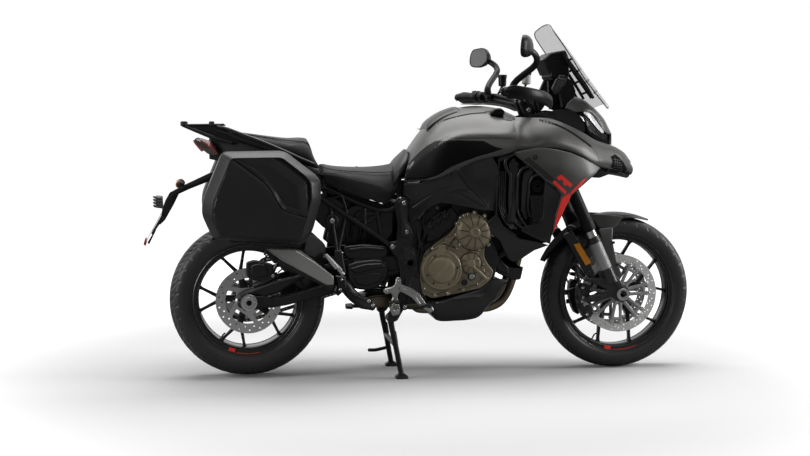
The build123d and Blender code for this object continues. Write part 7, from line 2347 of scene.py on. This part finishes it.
def footrests():
    """Hangers, pegs, levers and passenger steps."""
    hanger, pegs, rubber, lever, bolts, steps = shapes(6)
    for side in (-1, 1):
        y0, y1 = side * 174, side * 186
        hanger.prism([(540, 362), (546, 376), (570, 380), (590, 392), (592, 418), (603, 424), (614, 416),
                      (614, 392), (640, 384), (666, 372), (690, 352), (712, 316), (742, 300), (750, 282),
                      (732, 272), (712, 286), (690, 300), (676, 330), (650, 350), (608, 362), (598, 340),
                      (606, 306), (600, 286), (582, 278), (566, 290), (568, 316), (580, 340), (572, 358),
                      (552, 352)], y0, y1, 3, 6)
        hanger.prism([(600, 380), (636, 372), (672, 346), (694, 312), (684, 306), (656, 338), (616, 362)],
                     side * 184, side * 190, 2, 4)
        hanger.prism([(562, 306), (606, 300), (604, 272), (576, 266)], side * 174, side * 206, 3, 5)
        pegs.rod((582, side * 190, 314), (572, side * 270, 318), 8)
        pegs.prism([(560, 304), (596, 304), (592, 322), (564, 322)], side * 200, side * 270, 2, 3)
        for k in range(8):
            rubber.prism([(556, 322), (598, 322), (596, 330), (558, 330)], side * (205 + 8 * k),
                         side * (209.5 + 8 * k), 1)
        pegs.rod((569, side * 268, 306), (569, side * 268, 292), 4)
        lever.tube([(626, side * 190, 300), (668, side * 196, 297), (700, side * 204, 302),
                    (716, side * 214, 308)], [8, 7, 6, 6], 12)
        rubber.rod((716, side * 210, 308), (719, side * 250, 310), 9)
        lever.lathe([(0, 13), (16, 13), (18, 10), (18, 0)], (626, side * 176, 300), (0, side, 0), 24)
        lever.rod((640, side * 180, 320), (668, side * 168, 360), 5)
        bolts.bolt((550, side * 187, 366), (0, side, 0), 8, 5)
        bolts.bolt((684, side * 187, 350), (0, side, 0), 7, 5)
        bolts.bolt((604, side * 187, 408), (0, side, 0), 5, 5)
        bolts.bolt((590, side * 206, 286), (0, side, 0), 9, 6)
        bolts.bolt((626, side * 195, 300), (0, side, 0), 7, 4)
        for a, b in (((392, 140, 668), (358, 166, 528)), ((330, 140, 708), (354, 166, 528))):
            lever.rod((a[0], side * a[1], a[2]), (b[0], side * b[1], b[2]), 7)
        lever.prism([(340, 470), (346, 536), (372, 536), (388, 440), (364, 430)], side * 160, side * 188,
                    4, 6)
        steps.prism([(372, 430), (384, 440), (362, 468), (350, 458)], side * 184, side * 192, 2, 3)
        steps.prism([(372, 430), (384, 440), (362, 468), (350, 458)], side * 200, side * 208, 2, 3)
        steps.prism([(364, 452), (372, 458), (352, 482), (340, 474)], side * 186, side * 206, 2, 3)
        steps.tube([(352, side * 198, 466), (330, side * 202, 492), (306, side * 207, 520)], [10, 9, 6], 12)
        steps.prism([(360, 462), (348, 476), (304, 524), (300, 518), (304, 510), (342, 460)], side * 204,
                    side * 211, 2, 3)
        bolts.bolt((372, side * 204, 440), (0, side, 0), 8, 6)
    hanger.piece("footrest_hangers", CAST_LIGHT, "chassis", "cast_alloy", ("rider_footrests",), bevel=1.2)
    pegs.piece("footrest_pegs", CAST, "chassis", "cast_alloy", ("passenger_footrests",), bevel=1.0)
    steps.piece("passenger_steps", PEG_ALLOY, "chassis", "cast_alloy", bevel=0.8)
    rubber.piece("footrest_pads", RUBBER, "chassis", "black_plastic")
    lever.piece("foot_levers", BLACK_METAL, "chassis", "black_metal")
    bolts.piece("footrest_bolts", STEEL, "chassis", "bright_steel")


def deflectors():
    """The panels beside the header pipes."""
    skin = Shape()
    for side in (-1, 1):
        skin.prism([(998, 532), (1022, 505), (1063, 460), (1090, 452), (1134, 452), (1122, 398),
                    (1096, 396), (1063, 406), (1022, 427), (994, 484)],
                   side * 118, side * 140, 5, 8)
        skin.prism([(1004, 516), (1030, 486), (1066, 452), (1070, 420), (1026, 438), (1000, 486)],
                   side * 138, side * 146, 3, 6)
        skin.prism([(980, 560), (1006, 600), (1040, 640), (1086, 600), (1060, 560), (1010, 520)],
                   side * 110, side * 124, 5, 8)
    skin.piece("header_deflectors", SMOOTH_PLASTIC, "chassis", "black_plastic", bevel=1.2)


def exhaust_guard():
    """The grey guard between the pannier, the silencer and the mudguard."""
    guard = Shape()
    for side in (-1, 1):
        guard.prism([(238, 602), (279, 584), (301, 564), (312, 545), (310, 520), (279, 514), (267, 499),
                     (228, 515), (224, 531), (230, 563)],
                    side * 128, side * 152, 5, 8)
    guard.piece("exhaust_guards", GUARD_GREY, "chassis", "black_plastic", bevel=1.5)


def inner_fill():
    """Dark boxes, hoses and ducts that show between the frame tubes and around the engine."""
    fill = Shape()
    for side in (-1, 1):
        fill.prism([(277, 851), (373, 789), (479, 735), (566, 708), (609, 681), (587, 560), (522, 600),
                    (400, 700), (310, 790)],
                   side * 64, side * 100, 5, 8)
        fill.prism([(312, 772), (398, 712), (593, 559), (615, 494), (527, 538), (354, 557), (339, 649)],
                   side * 48, side * 62, 4, 8)
        fill.prism([(601, 662), (666, 672), (714, 640), (698, 544), (666, 459), (623, 481)], side * 110,
                   side * 148, 5, 8)
        fill.prism([(822, 726), (873, 714), (960, 706), (1019, 690), (1012, 642), (924, 600), (851, 607),
                    (823, 630)], side * 110, side * 148, 5, 8)
        fill.prism([(470, 330), (520, 362), (640, 356), (706, 332), (720, 300), (690, 290), (600, 286),
                    (560, 290), (500, 300)],
                   side * 30, side * 54, 5, 8)
        fill.prism([(96, 500), (220, 530), (300, 540), (310, 470), (250, 430), (188, 430), (142, 446)],
                   side * 96, side * 110, 4, 8)
        fill.prism([(332, 620), (356, 640), (398, 610), (400, 560), (346, 540), (318, 560)], side * 60,
                   side * 90, 4, 8)
        fill.prism([(985, 600), (1030, 560), (1100, 500), (1090, 440), (1040, 440), (985, 500)],
                   side * 80, side * 112, 5, 8)
        for x, z in ((420, 640), (455, 612), (490, 590)):
            fill.tube([(x, side * 66, z - 60), (x + 8, side * 72, z), (x - 10, side * 70, z + 50)], 7, 8)
    fill.piece("inner_boxes_and_hoses", SMOOTH_PLASTIC, "chassis", "black_plastic", bevel=1.5)


engine_right()
engine_left()
crankcase()
belly()
exhaust()
frame_rear()
stand_bracket()
swing()
chain_run()
mudguard_rear()
chain_guard()
side_shields()
shock()
footrests()
deflectors()
exhaust_guard()
inner_fill()


# ---------------------------------------------------------------- bars, yokes, mirrors and hand guards
GRIP_IN, GRIP_OUT = Vector((1035, 322, 1165)), Vector((978, 452, 1165))


def on_axis(z, ahead, y, up):
    """A point measured forward, left and up from the steering axis at height z, square to that axis."""
    c, s = math.cos(RAKE), math.sin(RAKE)
    return (steer_x(z) + ahead * c - up * s, y, z + ahead * s + up * c)


def yoke(shape, z, outline, half, chamfer=4.0):
    """A fork yoke square to the steering axis."""
    outline = rounded(anticlockwise(outline), 12, 5)
    small = inset(outline, chamfer)
    shape.loft([[on_axis(z, a, y, w) for a, y in ring_points] for ring_points, w in
                ((small, -half), (outline, -half + chamfer), (outline, half - chamfer), (small, half))])


def yokes():
    """Both yokes, the bar clamps and the ignition switch."""
    plates, bolts, crown = shapes(3)
    block = [(-32, -32), (-34, 0), (-32, 32), (-12, 84), (-8, 139), (24, 146), (56, 139), (58, 84),
             (40, 44), (48, 18), (48, -18), (40, -44), (58, -84), (56, -139), (24, -146), (-8, -139),
             (-12, -84)]
    for z, half in ((1046, 14), (869, 14)):
        yoke(plates, z, block, half)
        for side in (-1, 1):
            for across in (-12, 12) if z < 900 else (0,):
                bolts.bolt(on_axis(z, -10, side * (108 + across), 0), (-0.9, 0, -0.4), 6, 5)
            plates.lathe([(-19, 28), (-19, 34), (-15, 36), (15, 36), (19, 34), (19, 28)],
                         on_axis(z, FORK_OFFSET, side * FORK_HALF, 0), STEER_AXIS, 40, ends=False)
    for side in (-1, 1):
        bolts.lathe([(0, 22), (9, 22), (11, 20), (11, 13), (8, 12), (8, 0)],
                    on_axis(1046, FORK_OFFSET, side * FORK_HALF, 19), STEER_AXIS, 32)
        plates.prism([(1166, 1046), (1206, 1056), (1196, 1090), (1184, 1132), (1174, 1150), (1154, 1156),
                      (1134, 1148), (1131, 1132), (1150, 1092)], side * 28, side * 56, 4, 6)
        for x in (1142, 1170):
            bolts.bolt((x, side * 42, 1150), (0, 0, 1), 5, 6)
        bolts.bolt((1172, side * 56, 1100), (0, side, 0), 9, 5)
    plates.lathe([(0, 26), (6, 26), (12, 20), (20, 20), (22, 17), (22, 0)], on_axis(1046, 0, 0, 13),
                 STEER_AXIS, 6)
    plates.rod((steer_x(866), 0, 866), (steer_x(1050), 0, 1050), 15)
    crown.lathe([(0, 24), (26, 24), (30, 21), (30, 12), (27, 11), (27, 0)], (1196, 0, 1074), STEER_AXIS, 32)
    plates.piece("yokes_cast", BLACK_ALLOY, "steering", "black_alloy", ("fork_yokes",), bevel=1.0)
    bolts.piece("yoke_bolts", STEEL, "steering", "bright_steel")
    crown.piece("ignition_switch", SMOOTH_PLASTIC, "steering", "black_plastic")


def along_grip(t):
    """A point t mm outboard of the grip's inner end, on the bar's axis."""
    return GRIP_IN + (GRIP_OUT - GRIP_IN).normalized() * t


def console_and_loom():
    """The blocks ahead of the tank and the cover over the cables."""
    console = Shape()
    for side in (-1, 1):
        console.prism([(990, 1088), (1010, 1106), (1034, 1108), (1054, 1092), (1044, 1074), (1002, 1074)],
                      side * 92, side * 140, 5, 8)
    console.piece("tank_front_console", COCKPIT_BLACK, "chassis", "black_plastic", bevel=1.0)
    loom = Shape()
    loom.prism([(1204, 1092), (1236, 1098), (1262, 1140), (1268, 1170), (1250, 1186), (1200, 1160)], -26,
               26, 5, 8)
    loom.piece("cable_loom_cover", COCKPIT_BLACK, "steering", "black_plastic", bevel=1.0)


def bars():
    """Handlebar, grips, controls, levers, pots and cables."""
    bar, grips, housings, bright, fluid = shapes(5)
    bar.tube([(1158, 0, 1135), (1158, 60, 1135), (1155, 124, 1142), (1096, 236, 1165), (1035, 322, 1165),
              (978, 452, 1165)],
             [14, 14, 13, 11.5, 11, 11], 20, 8)
    way = (GRIP_OUT - GRIP_IN).normalized()
    profile = [(30, 13), (30, 21), (34, 22), (37, 21), (37, 16.5)]
    for k in range(15):
        profile += [(40 + 6 * k, 16.8), (43 + 6 * k, 17.6), (45 + 6 * k, 16.6)]
    profile += [(134, 18.5), (138, 19), (141, 18), (141, 12)]
    grips.lathe(profile, tuple(GRIP_IN), tuple(way), 32)
    housings.lathe([(141, 12), (143, 16), (160, 16.5), (166, 13), (168, 6), (160, 5.5)], tuple(GRIP_IN),
                   tuple(way), 32)
    housings.lathe([(-12, 15), (-10, 24), (-2, 26), (24, 26), (29, 23), (29, 14)], tuple(GRIP_IN),
                   tuple(way), 28)
    housings.lathe([(-40, 12), (-40, 19), (-36, 21), (-16, 21), (-13, 18)], tuple(GRIP_IN), tuple(way), 24)
    left, right = Shape().join(housings), Shape().join(housings)
    for t, up, r in ((6, 24, 7), (18, 25, 5)):
        p = along_grip(t)
        left.lathe([(0, r), (8, r), (10, r - 2), (10, 0)], (p.x - 8, p.y, p.z + up * 0.7), (-0.7, 0, 0.7),
                   16)
    for shape in (left, right):
        shape.tube([(1150, 60, 1128), (1130, 130, 1134), (1096, 200, 1146), (1084, 262, 1160)], 5, 10)
        shape.prism([(1056, 1150), (1060, 1172), (1078, 1176), (1098, 1166), (1102, 1148), (1086, 1140)],
                    262, 302, 3, 5)
    blade = [(1094, 286, 1160), (1080, 322, 1158), (1062, 372, 1152), (1050, 416, 1148),
             (1046, 444, 1150), (1050, 452, 1150)]
    rows = []
    for i, (x, y, z) in enumerate(curve_through(blade, 5)):
        t = i / 25
        thick, tall = 4.5 + (t > 0.9) * 2, 7.5 - 2.0 * t + (t > 0.92) * 3.5
        rows.append([(x + thick * math.cos(a), y,
                      z + tall * math.sin(a)) for a in (2 * math.pi * k / 10 for k in range(10))])
    bright.loft(rows)
    bright.lathe([(0, 10), (18, 10), (20, 8), (20, 0)], (1092, 284, 1148), (0, 0, 1), 20)
    left.tube([(1084, 268, 1164), (1104, 238, 1172), (1120, 215, 1208)], 5, 8)
    right.tube([(1084, 268, 1164), (1102, 238, 1170), (1120, 214, 1202)], 5, 8)
    for shape, body, x, y, z, r in ((left, left, 1120, 213, 1220, 17), (right, fluid, 1121, 212, 1214, 18)):
        body.lathe([(-14, 6), (-12, r - 3), (-8, r), (24, r + 1)], (x, y, z), (0, 0, 1), 28)
        shape.lathe([(24, r + 1), (25, r + 3), (36, r + 3), (38, r + 1), (38, r - 8), (36, r - 9),
                     (36, 0)], (x, y, z), (0, 0, 1), 28)
    for shape in (left, right):
        shape.tube([(1108, 250, 1158), (1150, 190, 1160), (1196, 110, 1120), (1216, 70, 1060)], 4, 8)
        shape.tube([(1060, 290, 1156), (1110, 210, 1150), (1176, 110, 1120), (1196, 60, 1080)], 5, 8)
    bar.mirrored().piece("bar_tube", COCKPIT_BLACK, "steering", "black_metal", ("handlebar",))
    grips.mirrored().piece("grip_rubbers", COCKPIT_BLACK, "steering", "black_plastic", sharp=60)
    left.join(right.reflected()).piece("bar_controls", COCKPIT_BLACK, "steering", "black_plastic",
                                       ("hand_controls",), bevel=0.8)
    bright.mirrored().piece("hand_levers", BLACK_ALLOY, "steering", "black_alloy", sharp=50)
    fluid.reflected().piece("brake_fluid_pot", POT, "steering", "clear_screen")


def mirror_heads():
    """Mirrors on their bent stems."""
    heads, glasses, stems = shapes(3)
    outline = [(70, -18), (69, 6), (62, 24), (46, 38), (-10, 42), (-38, 38), (-56, 22), (-66, 0),
               (-62, -18), (-28, -38), (0, -44), (46, -40), (62, -32)]
    outline = rounded(anticlockwise(outline), 9, 3)
    turn, tip = math.radians(24), math.radians(4)
    centre = Vector((1060, 424, 1343))

    def local(u, v, back):
        """Outwards, up and forwards from the middle of the glass."""
        v, back = v * math.cos(tip) - back * math.sin(tip), back * math.cos(tip) + v * math.sin(tip)
        return tuple(centre + Vector((-u * math.sin(turn) + back * math.cos(turn),
                                      u * math.cos(turn) + back * math.sin(turn), v)))

    rows = []
    for scale, back, du, dv in ((0.9, 1.5, 0, 0), (0.97, -1.5, 0, 0), (1.02, -1, 0, 0), (1.04, 4, 0, 0),
                                (0.98, 14, -3, -1), (0.80, 23, -9, -4), (0.52, 29, -16, -8),
                                (0.26, 32, -20, -11), (0.02, 33, -22, -12)):
        rows.append([local(u * scale + du, v * scale + dv, back) for u, v in outline])
    heads.loft(rows)
    glasses.loft([[local(u * 0.93, v * 0.93, back) for u, v in outline] for back in (-0.4, 0.9)])
    path = curve_through([(1062, 238, 1166), (1060, 240, 1192), (1070, 258, 1214), (1094, 298, 1240),
                          (1116, 334, 1262), (1128, 352, 1282), (1124, 368, 1302), (1108, 384, 1318),
                          (1090, 396, 1328)], 5)
    rows = []
    for i, p in enumerate(path):
        t = i / (len(path) - 1)
        ahead = (Vector(path[min(i + 1, len(path) - 1)]) - Vector(path[max(i - 1, 0)])).normalized()
        across = ahead.cross(Vector((0, 1, 0.2))).normalized()
        other = ahead.cross(across)
        wide, thin = 13.5 - 1.0 * t + 4 * max(0, 0.2 - t) / 0.2, 9.5 - 1.0 * t
        rows.append([tuple(Vector(p) + across * wide * math.copysign(abs(math.cos(a)) ** 0.7, math.cos(a))
                           + other * thin * math.copysign(abs(math.sin(a)) ** 0.7, math.sin(a)))
                     for a in (2 * math.pi * k / 16 for k in range(16))])
    stems.loft(rows)
    stems.lathe([(-16, 9), (-14, 13), (0, 15), (4, 13)], (1062, 238, 1166), (0, 0, 1), 24)
    stems.rod((1062, 238, 1156), (1078, 270, 1158), 11, sides=20)
    heads.mirrored().piece("mirror_shells", COCKPIT_BLACK, "steering", "black_plastic", ("mirrors",),
                           sharp=48)
    # the glasses carry a painted reflection: flat grey in place of a mirror
    glasses.mirrored().piece("mirror_glasses", MIRROR_REFLECTION_GREY, "steering", "bright_steel", sharp=60)
    stems.mirrored().piece("mirror_stems", COCKPIT_BLACK, "steering", "black_metal", sharp=40)


def guards():
    """A shell round the front of each grip, with a lip along its top and a plug at its rear end."""
    shell, arms, plugs = shapes(3)
    path = [(966, 482), (1000, 486), (1050, 478), (1096, 458), (1140, 424), (1176, 378), (1200, 324),
            (1212, 268)]
    heights = [(1152, 1176), (1138, 1189), (1132, 1184), (1132, 1177), (1127, 1169), (1118, 1159),
               (1105, 1147), (1094, 1135)]
    flat = curve_through([(*p, *h) for p, h in zip(path, heights)], 5)
    outer = []
    for i, (x, y, low, high) in enumerate(flat):
        a, b = flat[max(i - 1, 0)], flat[min(i + 1, len(flat) - 1)]
        dx, dy = b[0] - a[0], b[1] - a[1]
        size = math.hypot(dx, dy)
        nx, ny = -dy / size, dx / size
        end = min(i, len(flat) - 1 - i)
        shrink = 1 - 0.28 * max(0, 3 - end) / 3
        mid, half = (low + high) / 2, (high - low) / 2 * shrink
        column = []
        for v, out in ((1.0, -9), (1.0, -2.5), (0.86, 1.5), (0.5, 3.5), (0.0, 4), (-0.5, 2.5),
                       (-0.86, -1), (-1.0, -5), (-0.98, -11)):
            column.append((x + nx * out, y + ny * out, mid + half * v))
        outer.append(column)
    shell.loft(outer, closed=False, ends=False)
    plugs.lathe([(0, 12), (4, 12), (5, 10), (5, 6), (3, 5), (3, 0)], (978, 484, 1164), (0, 1, 0), 24)
    arms.rod((978, 470, 1165), (978, 484, 1165), 11, sides=20)
    arms.tube([(1208, 272, 1112), (1176, 262, 1130), (1130, 254, 1150), (1098, 246, 1162)], [9, 8, 8, 10],
              12)
    shell.mirrored().piece("hand_guard_shells", COCKPIT_BLACK, "steering", "black_plastic",
                           ("hand_guards",), solid=4, sharp=40)
    arms.mirrored().piece("hand_guard_arms", BLACK_METAL, "steering", "black_metal")
    plugs.mirrored().piece("hand_guard_plugs", SMOOTH_PLASTIC, "steering", "black_plastic")


# ---------------------------------------------------------------- stands, radiators and frame
def centre_stand():
    """The folded centre stand."""
    legs, feet = shapes(2)
    x, z = 575, 252
    foot_x = 620
    for way in (-1, 1):
        legs.tube([(x, way * 134, z), (x + 8, way * 135, z - 50), (x + 18, way * 137, z - 96),
                   (foot_x, way * 150, 12)],
                  [13, 12, 11.5, 11], 18)
        legs.lathe([(-14, 9), (-14, 16), (-12, 18), (12, 18), (14, 16), (14, 9)], (x, way * 134, z),
                   (0, 1, 0), 28, ends=False)
        rows = [[(foot_x + a, way * (150 + b), h) for a, b in ring_points] for ring_points, h in (
            (rounded([(-24, -19), (24, -19), (24, 19), (-24, 19)], 7), 0.4),
            (rounded([(-27, -22), (27, -22), (27, 22), (-27, 22)], 8), 4),
            (rounded([(-26, -21), (26, -21), (26, 21), (-26, 21)], 8), 10),
            (rounded([(-14, -13), (14, -13), (14, 13), (-14, 13)], 7), 20))]
        feet.loft(rows)
        feet.prism([(x + 2, z - 40), (x + 26, z - 60), (x + 34, z - 112), (x + 12, z - 104)], way * 128,
                   way * 134, 1.5, 4)
    legs.rod((x + 20, -136, z - 112), (x + 20, 136, z - 112), 11)
    legs.tube([(x + 30, 140, z - 168), (x + 4, 160, z - 178), (x - 20, 178, z - 186),
               (x - 46, 204, z - 190)], 7.5, 14)
    legs.join(feet).piece("centre_stand_frame", BLACK_METAL, "centre_stand", "black_metal",
                          ("centre_stand",), sharp=40)


def side_stand():
    """The folded side stand."""
    side, tip = Shape(), STAND_TIP

    def along(back, up, out):
        """Measured along the folded leg, square to it and along its pin."""
        x, y, z = STAND_PIVOT
        return (x - back, y + out * math.cos(tip) - up * math.sin(tip),
                z + out * math.sin(tip) + up * math.cos(tip))

    side.tube([along(6, 0, 0), along(70, 1, 0), along(150, -3, 0), along(222, -2, 0)],
              [10, 9.5, 8.5, 8.5], 18)
    side.lathe([(-9, 7), (-9, 13), (-7, 15), (7, 15), (9, 13), (9, 7)], along(0, 0, 0),
               (0, math.cos(tip), math.sin(tip)), 28, ends=False)
    foot = rounded([(-16, -17), (16, -14), (16, 14), (-16, 17)], 6)
    side.loft([[along(228 + a * s, h, b * s) for a, b in foot] for s, h in ((0.9, -8.5), (1, -6),
            (0.96, 2), (0.6, 5))])
    side.lathe([(0, 5), (24, 5), (25, 4), (25, 0)], along(60, 4, 4), (0, 0.3, 0.95), 14)
    side.piece("side_stand_leg", BLACK_METAL, "side_stand", "black_metal", ("side_stand",), sharp=40)


def coolers():
    """The two side radiators and the oil cooler."""
    core, tanks = shapes(2)
    for way in (-1, 1):
        y0, y1 = 136, 208
        for k in range(34):
            z = 656 + 5.6 * k
            lean = (z - 640) * 10 / 210
            core.prism([(1053 + lean, z), (1077 + lean, z + 1.2), (1077 + lean, z + 3.4),
                        (1053 + lean, z + 2.2)], way * y0, way * y1, 0.3)
        for y in (y0 - 8, y1):
            tanks.prism([(1050, 642), (1078, 642), (1088, 848), (1060, 848)], way * y, way * (y + 8), 2, 4)
        for z, x in ((640, 1050), (838, 1059)):
            tanks.prism([(x, z), (x + 28, z), (x + 29, z + 12), (x + 1, z + 12)], way * (y0 - 6),
                        way * (y1 + 6), 2, 3)
        core.prism([(1062, 650), (1066, 650), (1076, 846), (1072, 846)], way * y0, way * y1, 0.5)
    for k in range(12):
        z = 570 + 5.5 * k
        lean = (z - 560) / 8
        core.prism([(1178 + lean, z), (1196 + lean, z + 1), (1196 + lean, z + 3), (1178 + lean, z + 2)],
                   -92, 92, 0.3)
    for y in (-100, 92):
        tanks.prism([(1176, 560), (1196, 560), (1206, 640), (1186, 640)], y, y + 8, 2, 4)
    for z, x in ((560, 1176), (632, 1185)):
        tanks.prism([(x, z), (x + 20, z), (x + 21, z + 8), (x + 1, z + 8)], -98, 98, 1.5, 2)
    tanks.rod((1150, 0, 610), (1190, 0, 610), 12)
    core.piece("radiator_cores", CAST_DARK, "chassis", "black_alloy", ("radiators",))
    tanks.piece("radiator_tanks", BLACK_METAL, "chassis", "black_metal", bevel=0.8)


def head_and_spars():
    """The steering head and the frame spars."""
    frame_body, webs = shapes(2)
    frame_body.lathe([(0, 20), (0, 33), (4, 35), (12, 35), (18, 32), (146, 32), (152, 35), (158, 35),
                      (159, 33), (159, 20)],
                     (steer_x(885), 0, 885), STEER_AXIS, 40, ends=False)
    frame_body.prism([(steer_x(900) - 20, 900), (steer_x(1010) - 20, 1010), (1110, 950), (1060, 880),
                      (1080, 820), (1130, 800)],
                     -60, 60, 6, 10)
    for way in (-1, 1):
        frame_body.prism([(1100, 930), (1060, 900), (880, 812), (880, 900), (846, 884), (840, 790),
                          (790, 775), (778, 736), (812, 730), (880, 742), (1000, 760), (1046, 706),
                          (1100, 698), (1130, 800)], way * 46, way * 64, 4, 8)
        webs.prism([(1084, 880), (1000, 836), (900, 800), (870, 770), (1004, 776), (1060, 724),
                    (1090, 730), (1108, 800)],
                   way * 63, way * 67, 1.5, 8)
        for x, z in ((800, 752), (1076, 722), (858, 862)):
            webs.bolt((x, way * 64, z), (0, way, 0), 11, 7)
    frame_body.prism([(1236, 930), (1228, 975), (1300, 1000), (1372, 1082), (1412, 1104), (1412, 1062),
                      (1330, 975), (1290, 935)],
                     -20, 20, 4, 6)
    frame_body.rod((900, -228, 800), (900, 228, 800), 8)
    frame_body.rod((1080, -238, 880), (1080, 238, 880), 8)
    frame_body.piece("frame_casting", BLACK_ALLOY, "chassis", "black_alloy", ("main_frame",), bevel=1.0)
    webs.piece("frame_webs", CAST_DARK, "chassis", "black_alloy")


def axle_and_sprocket():
    """The front axle and the toothed rear sprocket."""
    axle, teeth = shapes(2)
    axle.lathe([(-127, 11), (-127, 20), (-125, 23), (-121, 23), (-120, 15), (-85, 15), (-85, 21),
                (-36, 21), (-36, 15), (36, 15), (36, 21), (85, 21), (85, 15), (120, 15), (121, 23),
                (125, 23), (127, 20), (127, 11)],
               (FRONT[0], 0, FRONT[1]), (0, 1, 0), 36, ends=False)
    for way in (-1, 1):
        axle.lathe([(way * 127, 11), (way * 100, 11)], (FRONT[0], 0, FRONT[1]), (0, 1, 0), 6, ends=False)
    axle.piece("front_axle_turned", STEEL, "steering", "bright_steel", ("front_axle",))
    outline = []
    count = 42
    for k in range(count):
        for off, r in ((0.0, 101), (0.22, 103), (0.38, 109.5), (0.5, 110.5), (0.62, 109.5), (0.78, 103)):
            outline.append(ring(r, (k + off) * 360 / count, REAR))
    windows = [[ring(r, 72 * k + a, REAR) for r, a in ((60, 12), (88, 8), (88, 34), (88, 60), (60, 56),
                                                       (52, 34))] for k in range(5)]
    perforated(teeth, outline,
               [disc_of(30, 40, REAR)[::-1]] + [rounded(anticlockwise(w), 8) for w in windows], 95, 103)
    teeth.lathe([(76, 26), (76, 62), (92, 66), (95, 60), (95, 26)], (0, 0, REAR[1]), (0, 1, 0), 48,
                ends=False)
    for k in range(5):
        x, z = ring(46, 72 * k + 34 + 36, REAR)
        teeth.bolt((x, 103, z), (0, 1, 0), 8, 6)
    teeth.piece("rear_sprocket_toothed", STEEL, "rear_wheel", "bright_steel", ("rear_sprocket",))


yokes()
console_and_loom()
bars()
mirror_heads()
guards()
centre_stand()
side_stand()
coolers()
head_and_spars()
axle_and_sprocket()


# ---------------------------------------------------------------- studio
def studio():
    """The camera, as in the photo."""
    camera_data = bpy.data.cameras.new("camera")
    camera_data.lens = 58.98
    camera_data.sensor_width = 36
    camera = bpy.data.objects.new("camera", camera_data)
    camera.location = (-0.922, -5.479, 1.013)
    camera.rotation_euler = (math.radians(90 - 4.18), 0, math.radians(-8.73))
    scene.collection.objects.link(camera)
    scene.camera = camera
    scene.view_settings.view_transform = "Standard"


def air():
    """Bright to the camera and in reflections behind it, dim to everything else."""
    sky = bpy.data.worlds.new("studio_air")
    scene.world = sky
    sky.use_nodes = True
    tree = sky.node_tree
    path = node(tree, "ShaderNodeLightPath")
    place = node(tree, "ShaderNodeTexCoord")
    parts = node(tree, "ShaderNodeSeparateXYZ")
    tree.links.new(place.outputs["Generated"], parts.inputs["Vector"])
    behind = remap(tree, parts.outputs["Y"], source=(-0.1, 0.5))
    mirrored = node(tree, "ShaderNodeMath", operation="MULTIPLY")
    tree.links.new(path.outputs["Is Glossy Ray"], mirrored.inputs[0])
    tree.links.new(behind, mirrored.inputs[1])
    seen = node(tree, "ShaderNodeMath", operation="MAXIMUM")
    tree.links.new(path.outputs["Is Camera Ray"], seen.inputs[0])
    tree.links.new(path.outputs["Is Transmission Ray"], seen.inputs[1])
    either = node(tree, "ShaderNodeMath", operation="MAXIMUM")
    tree.links.new(seen.outputs["Value"], either.inputs[0])
    tree.links.new(mirrored.outputs["Value"], either.inputs[1])
    level = remap(tree, either.outputs["Value"], target=(0.10, 1.0))
    glow = tree.nodes["Background"]
    glow.inputs["Color"].default_value = (1, 1, 1, 1)
    tree.links.new(level, glow.inputs["Strength"])


def ground():
    """The pale floor, which fades into the air away from the machine."""
    floor_mesh = bpy.data.meshes.new("floor")
    floor_mesh.from_pydata([(-40, -12, 0), (40, -12, 0), (40, 60, 0), (-40, 60, 0)], [],
                           [(0, 1, 2, 3)])
    floor = bpy.data.objects.new("floor", floor_mesh)
    scene.collection.objects.link(floor)
    pale = bpy.data.materials.new("pale_floor")
    pale.use_nodes = True
    tree = pale.node_tree
    shader = tree.nodes["Principled BSDF"]
    tone = node(tree, "ShaderNodeMix", data_type="RGBA")
    tone.inputs["A"].default_value = (0.26, 0.26, 0.26, 1)
    tone.inputs["B"].default_value = (0.70, 0.70, 0.70, 1)
    tree.links.new(tone.outputs["Result"], shader.inputs["Base Color"])
    shader.inputs["Roughness"].default_value = 0.9
    shader.inputs["Specular IOR Level"].default_value = 0.1
    path = node(tree, "ShaderNodeLightPath")
    tree.links.new(path.outputs["Is Camera Ray"], tone.inputs["Factor"])
    shader.inputs["Emission Color"].default_value = (1, 1, 1, 1)
    spot = node(tree, "ShaderNodeTexCoord")
    far = node(tree, "ShaderNodeVectorMath", operation="LENGTH")
    tree.links.new(spot.outputs["Object"], far.inputs[0])
    fade = remap(tree, far.outputs["Value"], source=(1.3, 3.2), target=(0.02, 1.0), smooth=True)
    seen = node(tree, "ShaderNodeMath", operation="MULTIPLY")
    tree.links.new(path.outputs["Is Camera Ray"], seen.inputs[0])
    tree.links.new(fade, seen.inputs[1])
    tree.links.new(seen.outputs["Value"], shader.inputs["Emission Strength"])
    floor_mesh.materials.append(pale)


def lamp(name, place, aim, size, watts):
    """A rectangular lamp aimed at a place."""
    data = bpy.data.lights.new(name, "AREA")
    data.shape = "RECTANGLE"
    data.size, data.size_y = size
    data.energy = watts
    lit = bpy.data.objects.new(name, data)
    lit.location = place
    lit.rotation_euler = (Vector(aim) - Vector(place)).to_track_quat("-Z", "Y").to_euler()
    scene.collection.objects.link(lit)


studio()
air()
ground()
lamp("overhead", (0, 0.4, 3.4), (0, 0.1, 0.5), (4.8, 2.0), 158)
lamp("rear_side", (-4.0, -1.5, 1.8), (-0.2, 0, 0.7), (1.2, 2.2), 72)
lamp("front_side", (4.2, -1.0, 1.7), (0.2, 0, 0.6), (1.2, 2.2), 105)
lamp("camera_side", (0.9, -5.6, 3.6), (0.2, 0, 0.6), (3.4, 2.0), 26)
